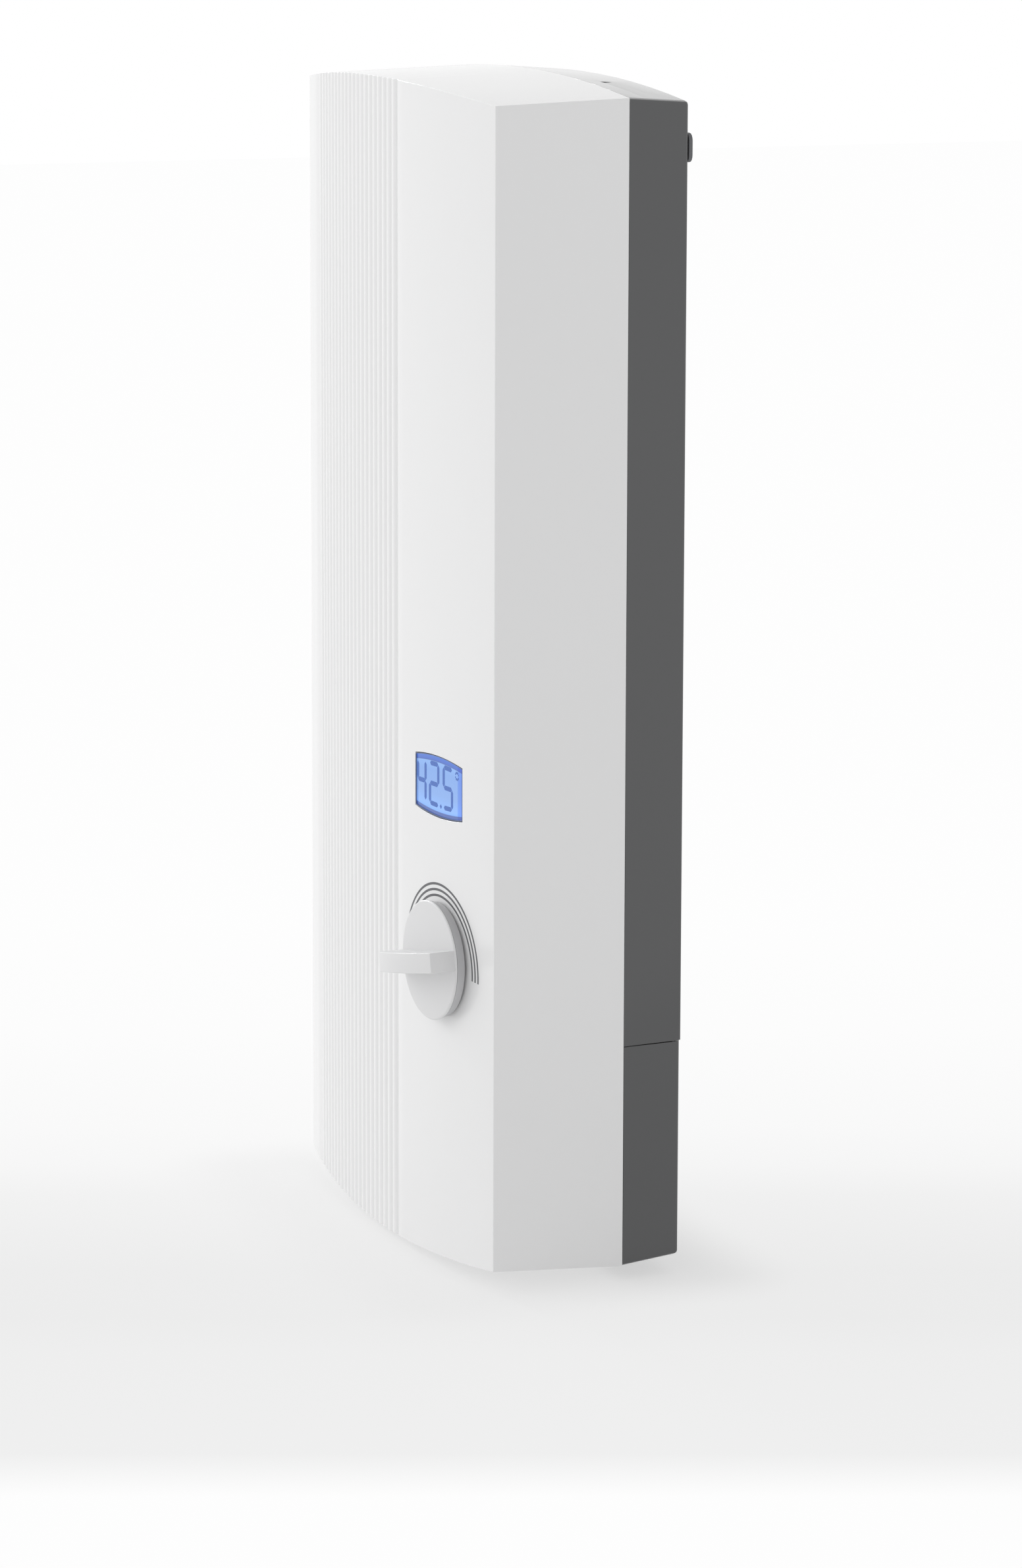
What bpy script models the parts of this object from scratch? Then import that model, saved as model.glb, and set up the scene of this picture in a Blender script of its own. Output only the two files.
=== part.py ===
"""A tankless water heater for a wall: casing, water path, heater block, electrics and controls.

Metres. +X is to the right of someone who faces the heater, -Y is out of the wall and +Z is up.
The origin is at the middle of the wall bracket's rear face, so the wall is the plane Y = 0.
A place is given as its x, its distance out of the wall, and its z.
"""

import math

import bmesh
import bpy
from mathutils import Matrix, Vector

PART_COLLECTION = "tankless_water_heater"
CUTTER_COLLECTION = "cutters"

# Clearances
FIT_GAP = 0.0003
CUT_OVERRUN = 0.002
ROOT_DEPTH = 0.001

# Casing: a bowed front cover on a shallower, tapered back
WIDTH = 0.225
HEIGHT = 0.478
TOP_ABOVE_BRACKET = 0.026
COVER_DEPTH = 0.0549
BACK_DEPTH = 0.0263
FRONT_BULGE = 0.00985
END_ARCH = 0.0059
COVER_SIDE_DRAFT = 0.00166
COVER_END_DRAFT = 0.00223
BACK_SIDE_TAPER = 0.00344
BACK_END_TAPER = 0.00193
CASING_WALL = 0.0025
EDGE_RADIUS = 0.0015
SEAM_GAP = 0.0005
WALL_GAP = 0.0019
PANEL_STEP = 0.0006
PANEL_HEIGHT = 0.096
PANEL_JOINT_GAP = 0.0004

# Flutes in the front
FLUTE_PITCH = 0.005594
FLUTE_RIGHT_MARGIN = 0.0903
FLUTE_LEFT_MARGIN = 0.0218
FLUTE_DEPTH = 0.0005
FLUTE_RUN_OUT = 0.006

# Top hooks of the cover, and the screw under it
COVER_TAB_SPREAD = 0.120
COVER_TAB_WIDTH = 0.012
COVER_TAB_THICKNESS = 0.0042
COVER_TAB_DROP = 0.0032
COVER_TAB_BEHIND = 0.0062
COVER_TAB_AHEAD = 0.0178
COVER_TAB_ROOT = 0.002
SCREW_AHEAD_OF_SEAM = 0.0084
COVER_SCREW_RADIUS = 0.0017
COVER_SCREW_HEAD_RADIUS = 0.0036
COVER_SCREW_HEAD = 0.0012
COUNTERBORE_DEPTH = 0.0017
COVER_SCREW_TIP = 0.002
SQUARE_NUT_WIDTH = 0.007
SQUARE_NUT_HEIGHT = 0.003
TONGUE_WIDTH = 0.024
TONGUE_THICKNESS = 0.003
TONGUE_CLEARANCE = 0.0016
TONGUE_ROOT = 0.018

# Controls on the cover
KNOB_INSET = 0.0449
KNOB_ABOVE_BOTTOM = 0.1274
KNOB_RADIUS = 0.0242
KNOB_LIFT = 0.0008
KNOB_HEIGHT = 0.0045
KNOB_ROUNDING = 0.0009
KNOB_BAR_THICKNESS = 0.0081
KNOB_BAR_END = 0.0113
KNOB_BAR_CROWN = 0.0032
KNOB_BAR_TILT = 10
KNOB_HUB_RADIUS = 0.006
KNOB_HUB_DEPTH = 0.0025
KNOB_SOCKET = 0.0032
SHAFT_RADIUS = 0.003
SHAFT_DEPTH = 0.012
POTENTIOMETER_WIDTH = 0.018
POTENTIOMETER_DEPTH = 0.009
BUSHING_RADIUS = 0.0046
BUSHING_HEIGHT = 0.002
DISPLAY_ABOVE_KNOB = 0.0696
DISPLAY_LEFT_OF_KNOB = 0.00325
DISPLAY_WIDTH = 0.0427
DISPLAY_HEIGHT = 0.02165
DISPLAY_ARCH = 0.0017
DISPLAY_RIM = 0.001
DISPLAY_SINK = 0.0004
DISPLAY_BARREL = 0.0028
WINDOW_SINK = 0.0005
WINDOW_THICKNESS = 0.0012
MODULE_BORDER = 0.001
MODULE_DEPTH = 0.0102
CONTROL_BOARD_THICKNESS = 0.0016
CONTROL_BOARD_SETBACK = 0.0143
CONTROL_BOARD_WIDTH = 0.054
CONTROL_BOARD_BELOW = 0.020
CONTROL_BOARD_ABOVE_DISPLAY = 0.0244
BOARD_POST_RADIUS = 0.003
BOARD_POST_INSET = 0.0045

# Wall bracket and pads
BRACKET_HEIGHT = 0.0115
BRACKET_THICKNESS = 0.0016
BRACKET_END_INSET = 0.004
BRACKET_CORNER = 0.003
BRACKET_HOLE_SPREAD = 0.170
BRACKET_HOLE_RADIUS = 0.0023
DRIVER_HOLE_RADIUS = 0.005
HOOK_SPREAD = 0.080
HOOK_WIDTH = 0.016
HOOK_THICKNESS = 0.002
HOOK_RISE = 0.007
PAD_SPREAD = 0.160
PAD_RADIUS = 0.007
PAD_ABOVE_BOTTOM = 0.014

# Heater block: two moulded halves round three channels
BLOCK_WIDTH = 0.090
BLOCK_HALF_DEPTH = 0.025
BLOCK_SIDE_GAP = 0.0145
BLOCK_STANDOFF = 0.0033
BLOCK_DROP = 0.119
BLOCK_RISE = 0.092
BLOCK_FOOT_RADIUS = 0.005
BLOCK_FOOT_INSET = 0.016
CHANNEL_COUNT = 3
CHANNEL_RADIUS = 0.0075
CHANNEL_MARGIN = 0.020
CHANNEL_PITCH = 0.025
CHANNEL_FLOOR = 0.010
CHANNEL_ROOF = 0.012
PASSAGE_RADIUS = 0.005
COLD_PORT_DROP = 0.025
BLOCK_SCREW_RADIUS = 0.002
BLOCK_SCREW_HEAD_RADIUS = 0.004
BLOCK_SCREW_HEAD = 0.003
BLOCK_SCREW_BITE = 0.017
BLOCK_SCREW_INSET = 0.0055
COIL_RADIUS = 0.0052
STUD_RADIUS = 0.0023
STUD_RISE = 0.008
STUD_INSIDE = 0.006
STUD_NUT_RADIUS = 0.005
STUD_NUT_HEIGHT = 0.0055

# Cut-outs on the heater block
PRESSURE_CUTOUT_ABOVE_BLOCK_BOTTOM = 0.035
PRESSURE_CUTOUT_RADIUS = 0.015
PRESSURE_CUTOUT_HEIGHT = 0.0114
COLLAR_RADIUS = 0.008
COLLAR_HEIGHT = 0.004
BUTTON_POCKET = 0.008
BUTTON_RADIUS = 0.005
BUTTON_TRAVEL = 0.0025
BUTTON_PROUD = 0.004
THERMAL_CUTOUT_BELOW_BLOCK_TOP = 0.050
THERMAL_CUTOUT_RADIUS = 0.009
THERMAL_CUTOUT_HEIGHT = 0.0064

# Water connections
CONNECTION_RISE = 0.057
CONNECTION_SPREAD = 0.100
CONNECTION_HOLE_RADIUS = 0.021
TAIL_RADIUS = 0.011
TAIL_CLEARANCE = 0.003
TAIL_LENGTH = 0.012
NUT_RADIUS = 0.0173
NUT_LENGTH = 0.0138
NUT_CLEARANCE = 0.0002
NUT_BORE_GAP = 0.00035
GASKET_THICKNESS = 0.0018
GASKET_BORE_RADIUS = 0.006
GASKET_SIDE_GAP = 0.0002
VALVE_RADIUS = 0.015
VALVE_LENGTH = 0.031
CHAMBER_RADIUS = 0.0088
BALL_RADIUS = 0.0083
BALL_PORT_RADIUS = 0.005
STEM_RADIUS = 0.004
SPINDLE_HEAD_RADIUS = 0.008
SPINDLE_HEAD_HEIGHT = 0.0046
SPINDLE_SLOT = 0.002
NECK_RADIUS = 0.011
NECK_RISE = 0.024
WATERWAY_RADIUS = 0.006
STRAINER_LENGTH = 0.009
STRAINER_WALL = 0.001
STRAINER_SINK = 0.001
OUTLET_RADIUS = 0.013
OUTLET_LENGTH = 0.0237
OUTLET_BORE_RADIUS = 0.0075
OUTLET_FRONT_WALL = 0.0057
OUTLET_NECK_RADIUS = 0.009
PROBE_RADIUS = 0.002
PROBE_DEPTH = 0.010
PROBE_HEAD_RADIUS = 0.006
PROBE_HEAD_LENGTH = 0.008
CRADLE_WIDTH = 0.016
CRADLE_THICKNESS = 0.005
CRADLE_DEPTH = 0.035

# Flow sensor
SENSOR_RADIUS = 0.014
SENSOR_LENGTH = 0.0457
SENSOR_BORE_RADIUS = 0.0093
SENSOR_ROOF = 0.006
BEARING_BAR = 0.003
BEARING_RING_WALL = 0.0016
BEARING_HEIGHT = 0.004
BEARING_BOSS_RADIUS = 0.003
ROTOR_HUB_RADIUS = 0.0025
ROTOR_PIN_RADIUS = 0.0012
ROTOR_PIN_LENGTH = 0.0012
ROTOR_VANE_RADIUS = 0.0085
ROTOR_VANE_THICKNESS = 0.0011
ROTOR_VANE_MARGIN = 0.005

# Pipes
PIPE_RADIUS = 0.005
PIPE_WALL = 0.001
PIPE_BEND = 0.010
PIPE_SEAT = 0.004
COLD_RUN_RISE = 0.016
COLD_RISER_GAP = 0.011

# Electrics on the back
POWER_BOARD_SIDE_GAP = 0.0105
POWER_BOARD_BLOCK_GAP = 0.022
POWER_BOARD_TOP_DROP = 0.002
POWER_BOARD_BOTTOM_RISE = 0.024
POWER_BOARD_STANDOFF = 0.0113
POWER_BOARD_THICKNESS = 0.0016
POWER_POST_RADIUS = 0.0035
POWER_POST_INSET = 0.006
TRIAC_COUNT = 3
TRIAC_WIDTH = 0.016
TRIAC_HEIGHT = 0.020
TRIAC_DEPTH = 0.005
TRIAC_PITCH = 0.030
TRIAC_INSET = 0.015
RELAY_WIDTH = 0.030
RELAY_HEIGHT = 0.026
RELAY_DEPTH = 0.020
RELAY_INSET = 0.012
MAINS_BLOCK_WIDTH = 0.066
MAINS_BLOCK_HEIGHT = 0.024
MAINS_BLOCK_DEPTH = 0.0243
MAINS_BLOCK_RISE = 0.016
MAINS_SCREW_COUNT = 4
MAINS_SCREW_RADIUS = 0.003
MAINS_SCREW_DEPTH = 0.006
MAINS_SCREW_PROUD = 0.0007
GROMMET_RISE = 0.020
GROMMET_BORE_RADIUS = 0.007
GROMMET_NECK_RADIUS = 0.0087
GROMMET_FLANGE_RADIUS = 0.012
GROMMET_INNER_FLANGE = 0.0023
LEAD_RADIUS = 0.00175
LEAD_PITCH = 0.006
LEAD_SWEEP = 0.014

# How finely curves are drawn
ROUND_SIDES = 16
SMALL_SIDES = 12
NUT_SIDES = 6
OPENING_SIDES = 24
KNOB_SIDES = 48
FLUTE_FACETS = 3
PLAIN_COLUMNS_LEFT = 2
PLAIN_COLUMNS_RIGHT = 7
BACK_COLUMNS = 12
BAR_COLUMNS = 8
BEND_STEPS = 4
LEAD_STEPS = 5

# Places that the sizes above give
TOP = TOP_ABOVE_BRACKET
BOTTOM = TOP - HEIGHT
MIDDLE = (TOP + BOTTOM) / 2
SEAM_OUT = WALL_GAP + BACK_DEPTH
CORNER_OUT = SEAM_OUT + COVER_DEPTH
FRONT_OUT = CORNER_OUT + FRONT_BULGE
FRONT_HALF_WIDTH = WIDTH / 2 - COVER_SIDE_DRAFT
FRONT_CROWN = HEIGHT / 2 - COVER_END_DRAFT
REAR_HALF_WIDTH = WIDTH / 2 - BACK_SIDE_TAPER
REAR_CROWN = HEIGHT / 2 - BACK_END_TAPER
PANEL_INSIDE = WALL_GAP + CASING_WALL
LOWER_REAR = WALL_GAP + PANEL_STEP
LOWER_INSIDE = LOWER_REAR + CASING_WALL
PANEL_JOINT = BOTTOM + PANEL_HEIGHT

CONNECTION_Z = BOTTOM + CONNECTION_RISE
INLET_X = CONNECTION_SPREAD / 2
OUTLET_X = -CONNECTION_SPREAD / 2
NECK_TOP = CONNECTION_Z + NECK_RISE
TAIL_REAR = LOWER_INSIDE + TAIL_CLEARANCE
TAIL_FRONT = TAIL_REAR + TAIL_LENGTH

BLOCK_LEFT = BLOCK_SIDE_GAP - WIDTH / 2
BLOCK_RIGHT = BLOCK_LEFT + BLOCK_WIDTH
BLOCK_TOP = TOP - BLOCK_DROP
BLOCK_BOTTOM = CONNECTION_Z + BLOCK_RISE
BLOCK_REAR = PANEL_INSIDE + BLOCK_STANDOFF + FIT_GAP
PARTING_OUT = BLOCK_REAR + BLOCK_HALF_DEPTH + FIT_GAP / 2
BLOCK_FRONT = PARTING_OUT + FIT_GAP / 2 + BLOCK_HALF_DEPTH
CHANNEL_TOP = BLOCK_TOP - CHANNEL_ROOF
CHANNEL_BOTTOM = BLOCK_BOTTOM + CHANNEL_FLOOR
CHANNEL_X = [BLOCK_LEFT + CHANNEL_MARGIN + CHANNEL_PITCH * i for i in range(CHANNEL_COUNT)]
COLD_PORT_Z = BLOCK_TOP - COLD_PORT_DROP
STUD_TOP = BLOCK_TOP + STUD_RISE
STUD_BOTTOM = CHANNEL_TOP - STUD_INSIDE

SENSOR_BOTTOM = NECK_TOP + FIT_GAP
SENSOR_TOP = SENSOR_BOTTOM + SENSOR_LENGTH
SENSOR_BAR_BOTTOM = SENSOR_TOP - SENSOR_ROOF - BEARING_BAR - ROOT_DEPTH
BEARING_BOTTOM = SENSOR_BOTTOM + FIT_GAP
BEARING_TOP = BEARING_BOTTOM + BEARING_HEIGHT

BOARD_LEFT = BLOCK_RIGHT + POWER_BOARD_BLOCK_GAP
BOARD_RIGHT = WIDTH / 2 - POWER_BOARD_SIDE_GAP
BOARD_TOP = BLOCK_TOP - POWER_BOARD_TOP_DROP
BOARD_BOTTOM = BLOCK_BOTTOM + POWER_BOARD_BOTTOM_RISE
BOARD_REAR = PANEL_INSIDE + POWER_BOARD_STANDOFF + FIT_GAP
BOARD_FRONT = BOARD_REAR + POWER_BOARD_THICKNESS
MAINS_LEFT = BOARD_RIGHT - MAINS_BLOCK_WIDTH
MAINS_BOTTOM = BOARD_TOP + MAINS_BLOCK_RISE
MAINS_TOP = MAINS_BOTTOM + MAINS_BLOCK_HEIGHT
MAINS_REAR = PANEL_INSIDE + FIT_GAP
MAINS_FRONT = MAINS_REAR + MAINS_BLOCK_DEPTH
GROMMET_X = BOARD_RIGHT - MAINS_BLOCK_WIDTH / 2
GROMMET_Z = MAINS_TOP + GROMMET_RISE

SCREW_OUT = SEAM_OUT + SCREW_AHEAD_OF_SEAM
SCREW_FACE = BOTTOM + COVER_END_DRAFT * SCREW_AHEAD_OF_SEAM / COVER_DEPTH
TONGUE_BOTTOM = SCREW_FACE + CASING_WALL + TONGUE_CLEARANCE
TONGUE_TOP = TONGUE_BOTTOM + TONGUE_THICKNESS
SQUARE_NUT_BOTTOM = TONGUE_TOP + FIT_GAP
SQUARE_NUT_TOP = SQUARE_NUT_BOTTOM + SQUARE_NUT_HEIGHT

FLUTE_EDGE = WIDTH / 2 - FLUTE_RIGHT_MARGIN
KNOB_ARC = WIDTH / 2 - KNOB_INSET
KNOB_Z = BOTTOM + KNOB_ABOVE_BOTTOM
DISPLAY_X = -DISPLAY_LEFT_OF_KNOB
FRAME_FRONT = -DISPLAY_SINK
FRAME_REAR = FRAME_FRONT - DISPLAY_BARREL
WINDOW_FRONT = FRAME_FRONT - WINDOW_SINK
CONTROL_BOARD_FRONT = -CONTROL_BOARD_SETBACK
MODULE_REAR = CONTROL_BOARD_FRONT + FIT_GAP
MODULE_FRONT = MODULE_REAR + MODULE_DEPTH
POTENTIOMETER_FRONT = MODULE_REAR + POTENTIOMETER_DEPTH

# Colour, roughness and metallic of each kind of material
FINISHES = {
    "white_gloss": ((0.83, 0.83, 0.83), 0.22, 0),
    "white_satin": ((0.78, 0.78, 0.78), 0.38, 0),
    "dark_grey": ((0.13, 0.135, 0.14), 0.5, 0),
    "rim_grey": ((0.42, 0.44, 0.46), 0.35, 0),
    "lit_glass": ((0.45, 0.68, 0.88), 0.1, 0),
    "display_grey": ((0.3, 0.33, 0.36), 0.5, 0),
    "board_green": ((0.03, 0.2, 0.09), 0.5, 0),
    "natural_nylon": ((0.55, 0.53, 0.45), 0.45, 0),
    "black_plastic": ((0.02, 0.02, 0.02), 0.5, 0),
    "blue_plastic": ((0.03, 0.14, 0.42), 0.45, 0),
    "red_plastic": ((0.5, 0.02, 0.02), 0.4, 0),
    "brass": ((0.69, 0.49, 0.2), 0.32, 1),
    "copper": ((0.72, 0.33, 0.2), 0.3, 1),
    "zinc_steel": ((0.58, 0.58, 0.57), 0.35, 1),
    "rubber": ((0.025, 0.025, 0.025), 0.85, 0),
    "brown_lead": ((0.15, 0.06, 0.03), 0.5, 0),
}


def start_scene():
    for obj in list(bpy.data.objects):
        bpy.data.objects.remove(obj, do_unlink=True)
    for name in (PART_COLLECTION, CUTTER_COLLECTION):
        bpy.context.scene.collection.children.link(bpy.data.collections.new(name))


def at(x, out, z):
    """The point at this x and z, this far out of the wall."""
    return Vector((x, -out, z))


def circle_radius(half_chord, rise):
    """Radius of the circle whose chord has this half length and this rise."""
    return (half_chord ** 2 + rise ** 2) / (rise + rise)


def fall(distance, radius):
    """How far a circle falls away from its crown at this distance from it."""
    return radius - math.sqrt(radius ** 2 - distance ** 2)


def paint(obj, finish):
    colour, roughness, metallic = FINISHES[finish]
    material = bpy.data.materials.new(obj.name)
    material.use_nodes = True
    shader = material.node_tree.nodes["Principled BSDF"]
    shader.inputs["Base Color"].default_value = (*colour, 1)
    shader.inputs["Roughness"].default_value = roughness
    shader.inputs["Metallic"].default_value = metallic
    obj.data.materials.append(material)


def add_object(name, mesh, finish, parent):
    """Links a new object with this mesh: a piece if it has a finish, otherwise a helper."""
    obj = bpy.data.objects.new(name, mesh)
    obj.parent = parent
    if finish:
        bpy.data.collections[PART_COLLECTION].objects.link(obj)
        paint(obj, finish)
    else:
        bpy.data.collections[CUTTER_COLLECTION].objects.link(obj)
        obj.hide_render = True
        obj.display_type = "WIRE"
    return obj


def mesh_from(bm, name):
    mesh = bpy.data.meshes.new(name)
    bm.to_mesh(mesh)
    bm.free()
    return mesh


def block(name, x, out, z, finish=None, parent=None):
    """A box between two values of x, of the distance out of the wall, and of z."""
    bm = bmesh.new()
    bmesh.ops.create_cube(bm, size=1)
    size = Vector((x[1] - x[0], out[1] - out[0], z[1] - z[0]))
    bmesh.ops.scale(bm, vec=size, verts=bm.verts)
    obj = add_object(name, mesh_from(bm, name), finish, parent)
    obj.location = at(sum(x) / 2, sum(out) / 2, sum(z) / 2)
    return obj


def aim(obj, base, direction):
    """Puts an object's origin at base and turns its +Z to this direction."""
    obj.location = base
    obj.rotation_mode = "QUATERNION"
    obj.rotation_quaternion = direction.to_track_quat("Z", "Y")


def rod(name, radius, start, end, finish=None, parent=None, sides=ROUND_SIDES):
    """A round or many-sided bar from start to end, with its origin at its middle."""
    bm = bmesh.new()
    length = (end - start).length
    bmesh.ops.create_cone(
        bm, cap_ends=True, segments=sides, radius1=radius, radius2=radius, depth=length
    )
    mesh = mesh_from(bm, name)
    mesh.shade_smooth()
    mesh.set_sharp_from_angle(angle=math.radians(50))
    obj = add_object(name, mesh, finish, parent)
    aim(obj, (start + end) / 2, end - start)
    return obj


def turned(name, profile, base, direction, finish=None, parent=None, sides=ROUND_SIDES, ring=False):
    """A shape turned about an axis. The profile's points are (radius, distance along the axis
    from base), and they run from the base up the outer side. A ring's profile is closed."""
    bm = bmesh.new()
    points = [bm.verts.new((radius, 0, height)) for radius, height in reversed(profile)]
    for first, second in zip(points, points[1:]):
        bm.edges.new((first, second))
    if ring:
        bm.edges.new((points[-1], points[0]))
    obj = add_object(name, mesh_from(bm, name), finish, parent)
    screw = obj.modifiers.new("turn", "SCREW")
    screw.steps = sides
    screw.render_steps = sides
    screw.use_merge_vertices = True
    screw.merge_threshold = 0.00001
    aim(obj, base, direction)
    return obj


def fixed_mesh(obj, finish):
    """A curve object's mesh as a new object in the same place, with its caps welded."""
    bpy.context.view_layer.update()
    graph = bpy.context.evaluated_depsgraph_get()
    mesh = bpy.data.meshes.new_from_object(obj.evaluated_get(graph))
    bm = bmesh.new()
    bm.from_mesh(mesh)
    bmesh.ops.remove_doubles(bm, verts=bm.verts, dist=0.00001)
    bmesh.ops.recalc_face_normals(bm, faces=bm.faces)
    bm.to_mesh(mesh)
    bm.free()
    name = obj.name
    parent = obj.parent
    place = obj.matrix_basis.copy()
    bpy.data.objects.remove(obj, do_unlink=True)
    fixed = add_object(name, mesh, finish, parent)
    fixed.matrix_basis = place
    return fixed


def plate(name, outlines, out, centre, finish=None, parent=None):
    """A flat piece between two distances out of the wall. Its outlines are lists of (x, z)
    about the centre; the second and later ones are holes."""
    curve = bpy.data.curves.new(name, "CURVE")
    curve.dimensions = "2D"
    curve.fill_mode = "BOTH"
    curve.extrude = (out[1] - out[0]) / 2
    for outline in outlines:
        spline = curve.splines.new("POLY")
        spline.points.add(len(outline) - 1)
        spline.use_cyclic_u = True
        for point, (x, z) in zip(spline.points, outline):
            point.co = (x, z, 0, 1)
    obj = bpy.data.objects.new(name, curve)
    bpy.context.scene.collection.objects.link(obj)
    obj.parent = parent
    obj.location = at(centre[0], sum(out) / 2, centre[1])
    obj.rotation_euler = (math.radians(90), 0, 0)
    return fixed_mesh(obj, finish)


def tube(name, path, radius, finish, wall=None):
    """A round tube along a path. With a wall it is a pipe that is open at both ends."""
    curve = bpy.data.curves.new(name, "CURVE")
    curve.dimensions = "3D"
    curve.bevel_depth = radius
    curve.bevel_resolution = 3 if wall else 2
    curve.use_fill_caps = not wall
    spline = curve.splines.new("POLY")
    spline.points.add(len(path) - 1)
    for point, place in zip(spline.points, path):
        point.co = (*place, 1)
    obj = bpy.data.objects.new(name, curve)
    bpy.context.scene.collection.objects.link(obj)
    piece = fixed_mesh(obj, finish)
    if wall:
        thicken(piece, wall)
    piece.data.shade_smooth()
    return piece


def bent_path(corners, bend):
    """The corners of a bent pipe, each turned with the same bend radius."""
    path = [corners[0]]
    for before, corner, after in zip(corners, corners[1:], corners[2:]):
        into = (before - corner).normalized()
        away = (after - corner).normalized()
        middle = corner + (into + away) * bend
        for step in range(BEND_STEPS + 1):
            turn = math.radians(90) * step / BEND_STEPS
            path.append(middle - away * bend * math.cos(turn) - into * bend * math.sin(turn))
    path.append(corners[-1])
    return path


def smooth_path(points):
    """A smooth curve that follows a route's points and ends at its two ends."""
    first, last = points[0], points[-1]
    guides = [first, first, *points, last, last]
    path = [first]
    for p0, p1, p2, p3 in zip(guides, guides[1:], guides[2:], guides[3:]):
        for step in range(1, LEAD_STEPS + 1):
            t = step / LEAD_STEPS
            shares = (
                (1 - t) ** 3 / 6,
                (3 * t ** 3 - 6 * t ** 2 + 4) / 6,
                (1 + 3 * t + 3 * t ** 2 - 3 * t ** 3) / 6,
                t ** 3 / 6,
            )
            path.append(p0 * shares[0] + p1 * shares[1] + p2 * shares[2] + p3 * shares[3])
    return path


def thicken(obj, wall):
    solidify = obj.modifiers.new("wall", "SOLIDIFY")
    solidify.thickness = wall
    solidify.offset = -1
    solidify.use_even_offset = True
    return solidify


def combine(obj, other, operation):
    """Adds a Boolean of another object, which becomes a helper."""
    boolean = obj.modifiers.new(other.name, "BOOLEAN")
    boolean.operation = operation
    boolean.solver = "EXACT"
    boolean.object = other
    return obj


def cut(obj, *cutters):
    for cutter in cutters:
        combine(obj, cutter, "DIFFERENCE")
    return obj


def join(obj, *others):
    for other in others:
        combine(obj, other, "UNION")
    return obj


def empty(name, location, parent=None):
    obj = bpy.data.objects.new(name, None)
    bpy.data.collections[PART_COLLECTION].objects.link(obj)
    obj.location = location
    obj.parent = parent
    return obj


def swing_with(obj, hinge):
    """Carries a piece or helper that is placed in the world on the cover's hinge."""
    obj.parent = hinge
    obj.matrix_parent_inverse = Matrix.Translation(hinge.location).inverted()
    return obj


def both_sides(spread):
    """The two places of a pair that stands this far apart."""
    return (("left", -spread / 2), ("right", spread / 2))


def flute_columns():
    """The front's columns, as (arc position, depth below the plain surface), left to right."""
    radius = circle_radius(FRONT_HALF_WIDTH, FRONT_BULGE)
    half_arc = radius * math.asin(FRONT_HALF_WIDTH / radius)
    count = round((half_arc + FLUTE_EDGE - FLUTE_LEFT_MARGIN) / FLUTE_PITCH)
    start = FLUTE_EDGE - FLUTE_PITCH * count
    columns = [
        (-half_arc + (start + half_arc) * i / PLAIN_COLUMNS_LEFT, 0)
        for i in range(PLAIN_COLUMNS_LEFT)
    ]
    for i in range(count * FLUTE_FACETS):
        swell = math.sin(math.pi * (i % FLUTE_FACETS) / FLUTE_FACETS)
        columns.append((start + FLUTE_PITCH * i / FLUTE_FACETS, FLUTE_DEPTH * (1 - swell)))
    for i in range(PLAIN_COLUMNS_RIGHT + 1):
        place = FLUTE_EDGE + (half_arc - FLUTE_EDGE) * i / PLAIN_COLUMNS_RIGHT
        columns.append((place, FLUTE_DEPTH if i == 0 else 0))
    return columns


def cover_shell(name):
    """The bowed front as a grid, its border drawn back to the seam, and a wall inside both."""
    radius = circle_radius(FRONT_HALF_WIDTH, FRONT_BULGE)
    arch = circle_radius(FRONT_HALF_WIDTH, END_ARCH)
    columns = flute_columns()
    rows = 3
    bm = bmesh.new()
    bmesh.ops.create_grid(bm, x_segments=len(columns) - 1, y_segments=rows, size=1)
    for vert in bm.verts:
        column = round((vert.co.x + 1) / 2 * (len(columns) - 1))
        row = round((vert.co.y + 1) / 2 * rows)
        arc, groove = columns[column]
        x = radius * math.sin(arc / radius)
        edge = FRONT_CROWN - fall(x, arch)
        inner = row in (1, rows - 1)
        reach = edge - FLUTE_RUN_OUT if inner else edge
        side = 1 if row > 1 else -1
        depth = groove if inner else 0
        vert.co = at(x, FRONT_OUT - fall(x, radius) - depth, MIDDLE + side * reach)
    weights = bm.edges.layers.float.new("bevel_weight_edge")
    border = [edge for edge in bm.edges if edge.is_boundary]
    for edge in border:
        edge[weights] = 1
    made = bmesh.ops.extrude_edge_only(bm, edges=border)["geom"]
    corner = FRONT_HALF_WIDTH - ROOT_DEPTH
    for vert in (item for item in made if isinstance(item, bmesh.types.BMVert)):
        at_corner = abs(vert.co.x) > corner and len(vert.link_edges) == 3
        vert.co.x *= past_seam(WIDTH / 2 / FRONT_HALF_WIDTH, COVER_DEPTH)
        vert.co.z = MIDDLE + (vert.co.z - MIDDLE) * past_seam(HEIGHT / 2 / FRONT_CROWN, COVER_DEPTH)
        vert.co.y = ROOT_DEPTH - SEAM_OUT - SEAM_GAP
        if at_corner and abs(vert.co.z - MIDDLE) > HEIGHT / 2 - END_ARCH - ROOT_DEPTH:
            for edge in vert.link_edges:
                if not edge.is_boundary:
                    edge[weights] = 1
    for edge in bm.edges:
        if edge.is_boundary:
            edge[weights] = 0
    bmesh.ops.recalc_face_normals(bm, faces=bm.faces)
    if sum((face.normal.y for face in bm.faces)) > 0:
        bmesh.ops.reverse_faces(bm, faces=bm.faces)
    obj = add_object(name, mesh_from(bm, name), "white_gloss", None)
    thicken(obj, CASING_WALL)
    soften(obj)
    return cut(obj, seam_trim(name, (0, SEAM_OUT + SEAM_GAP)))


def past_seam(ratio, depth):
    """A wall's spread at the seam, carried on a little past it, where the wall is trimmed."""
    return 1 + (ratio - 1) * (depth + ROOT_DEPTH) / depth


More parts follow.
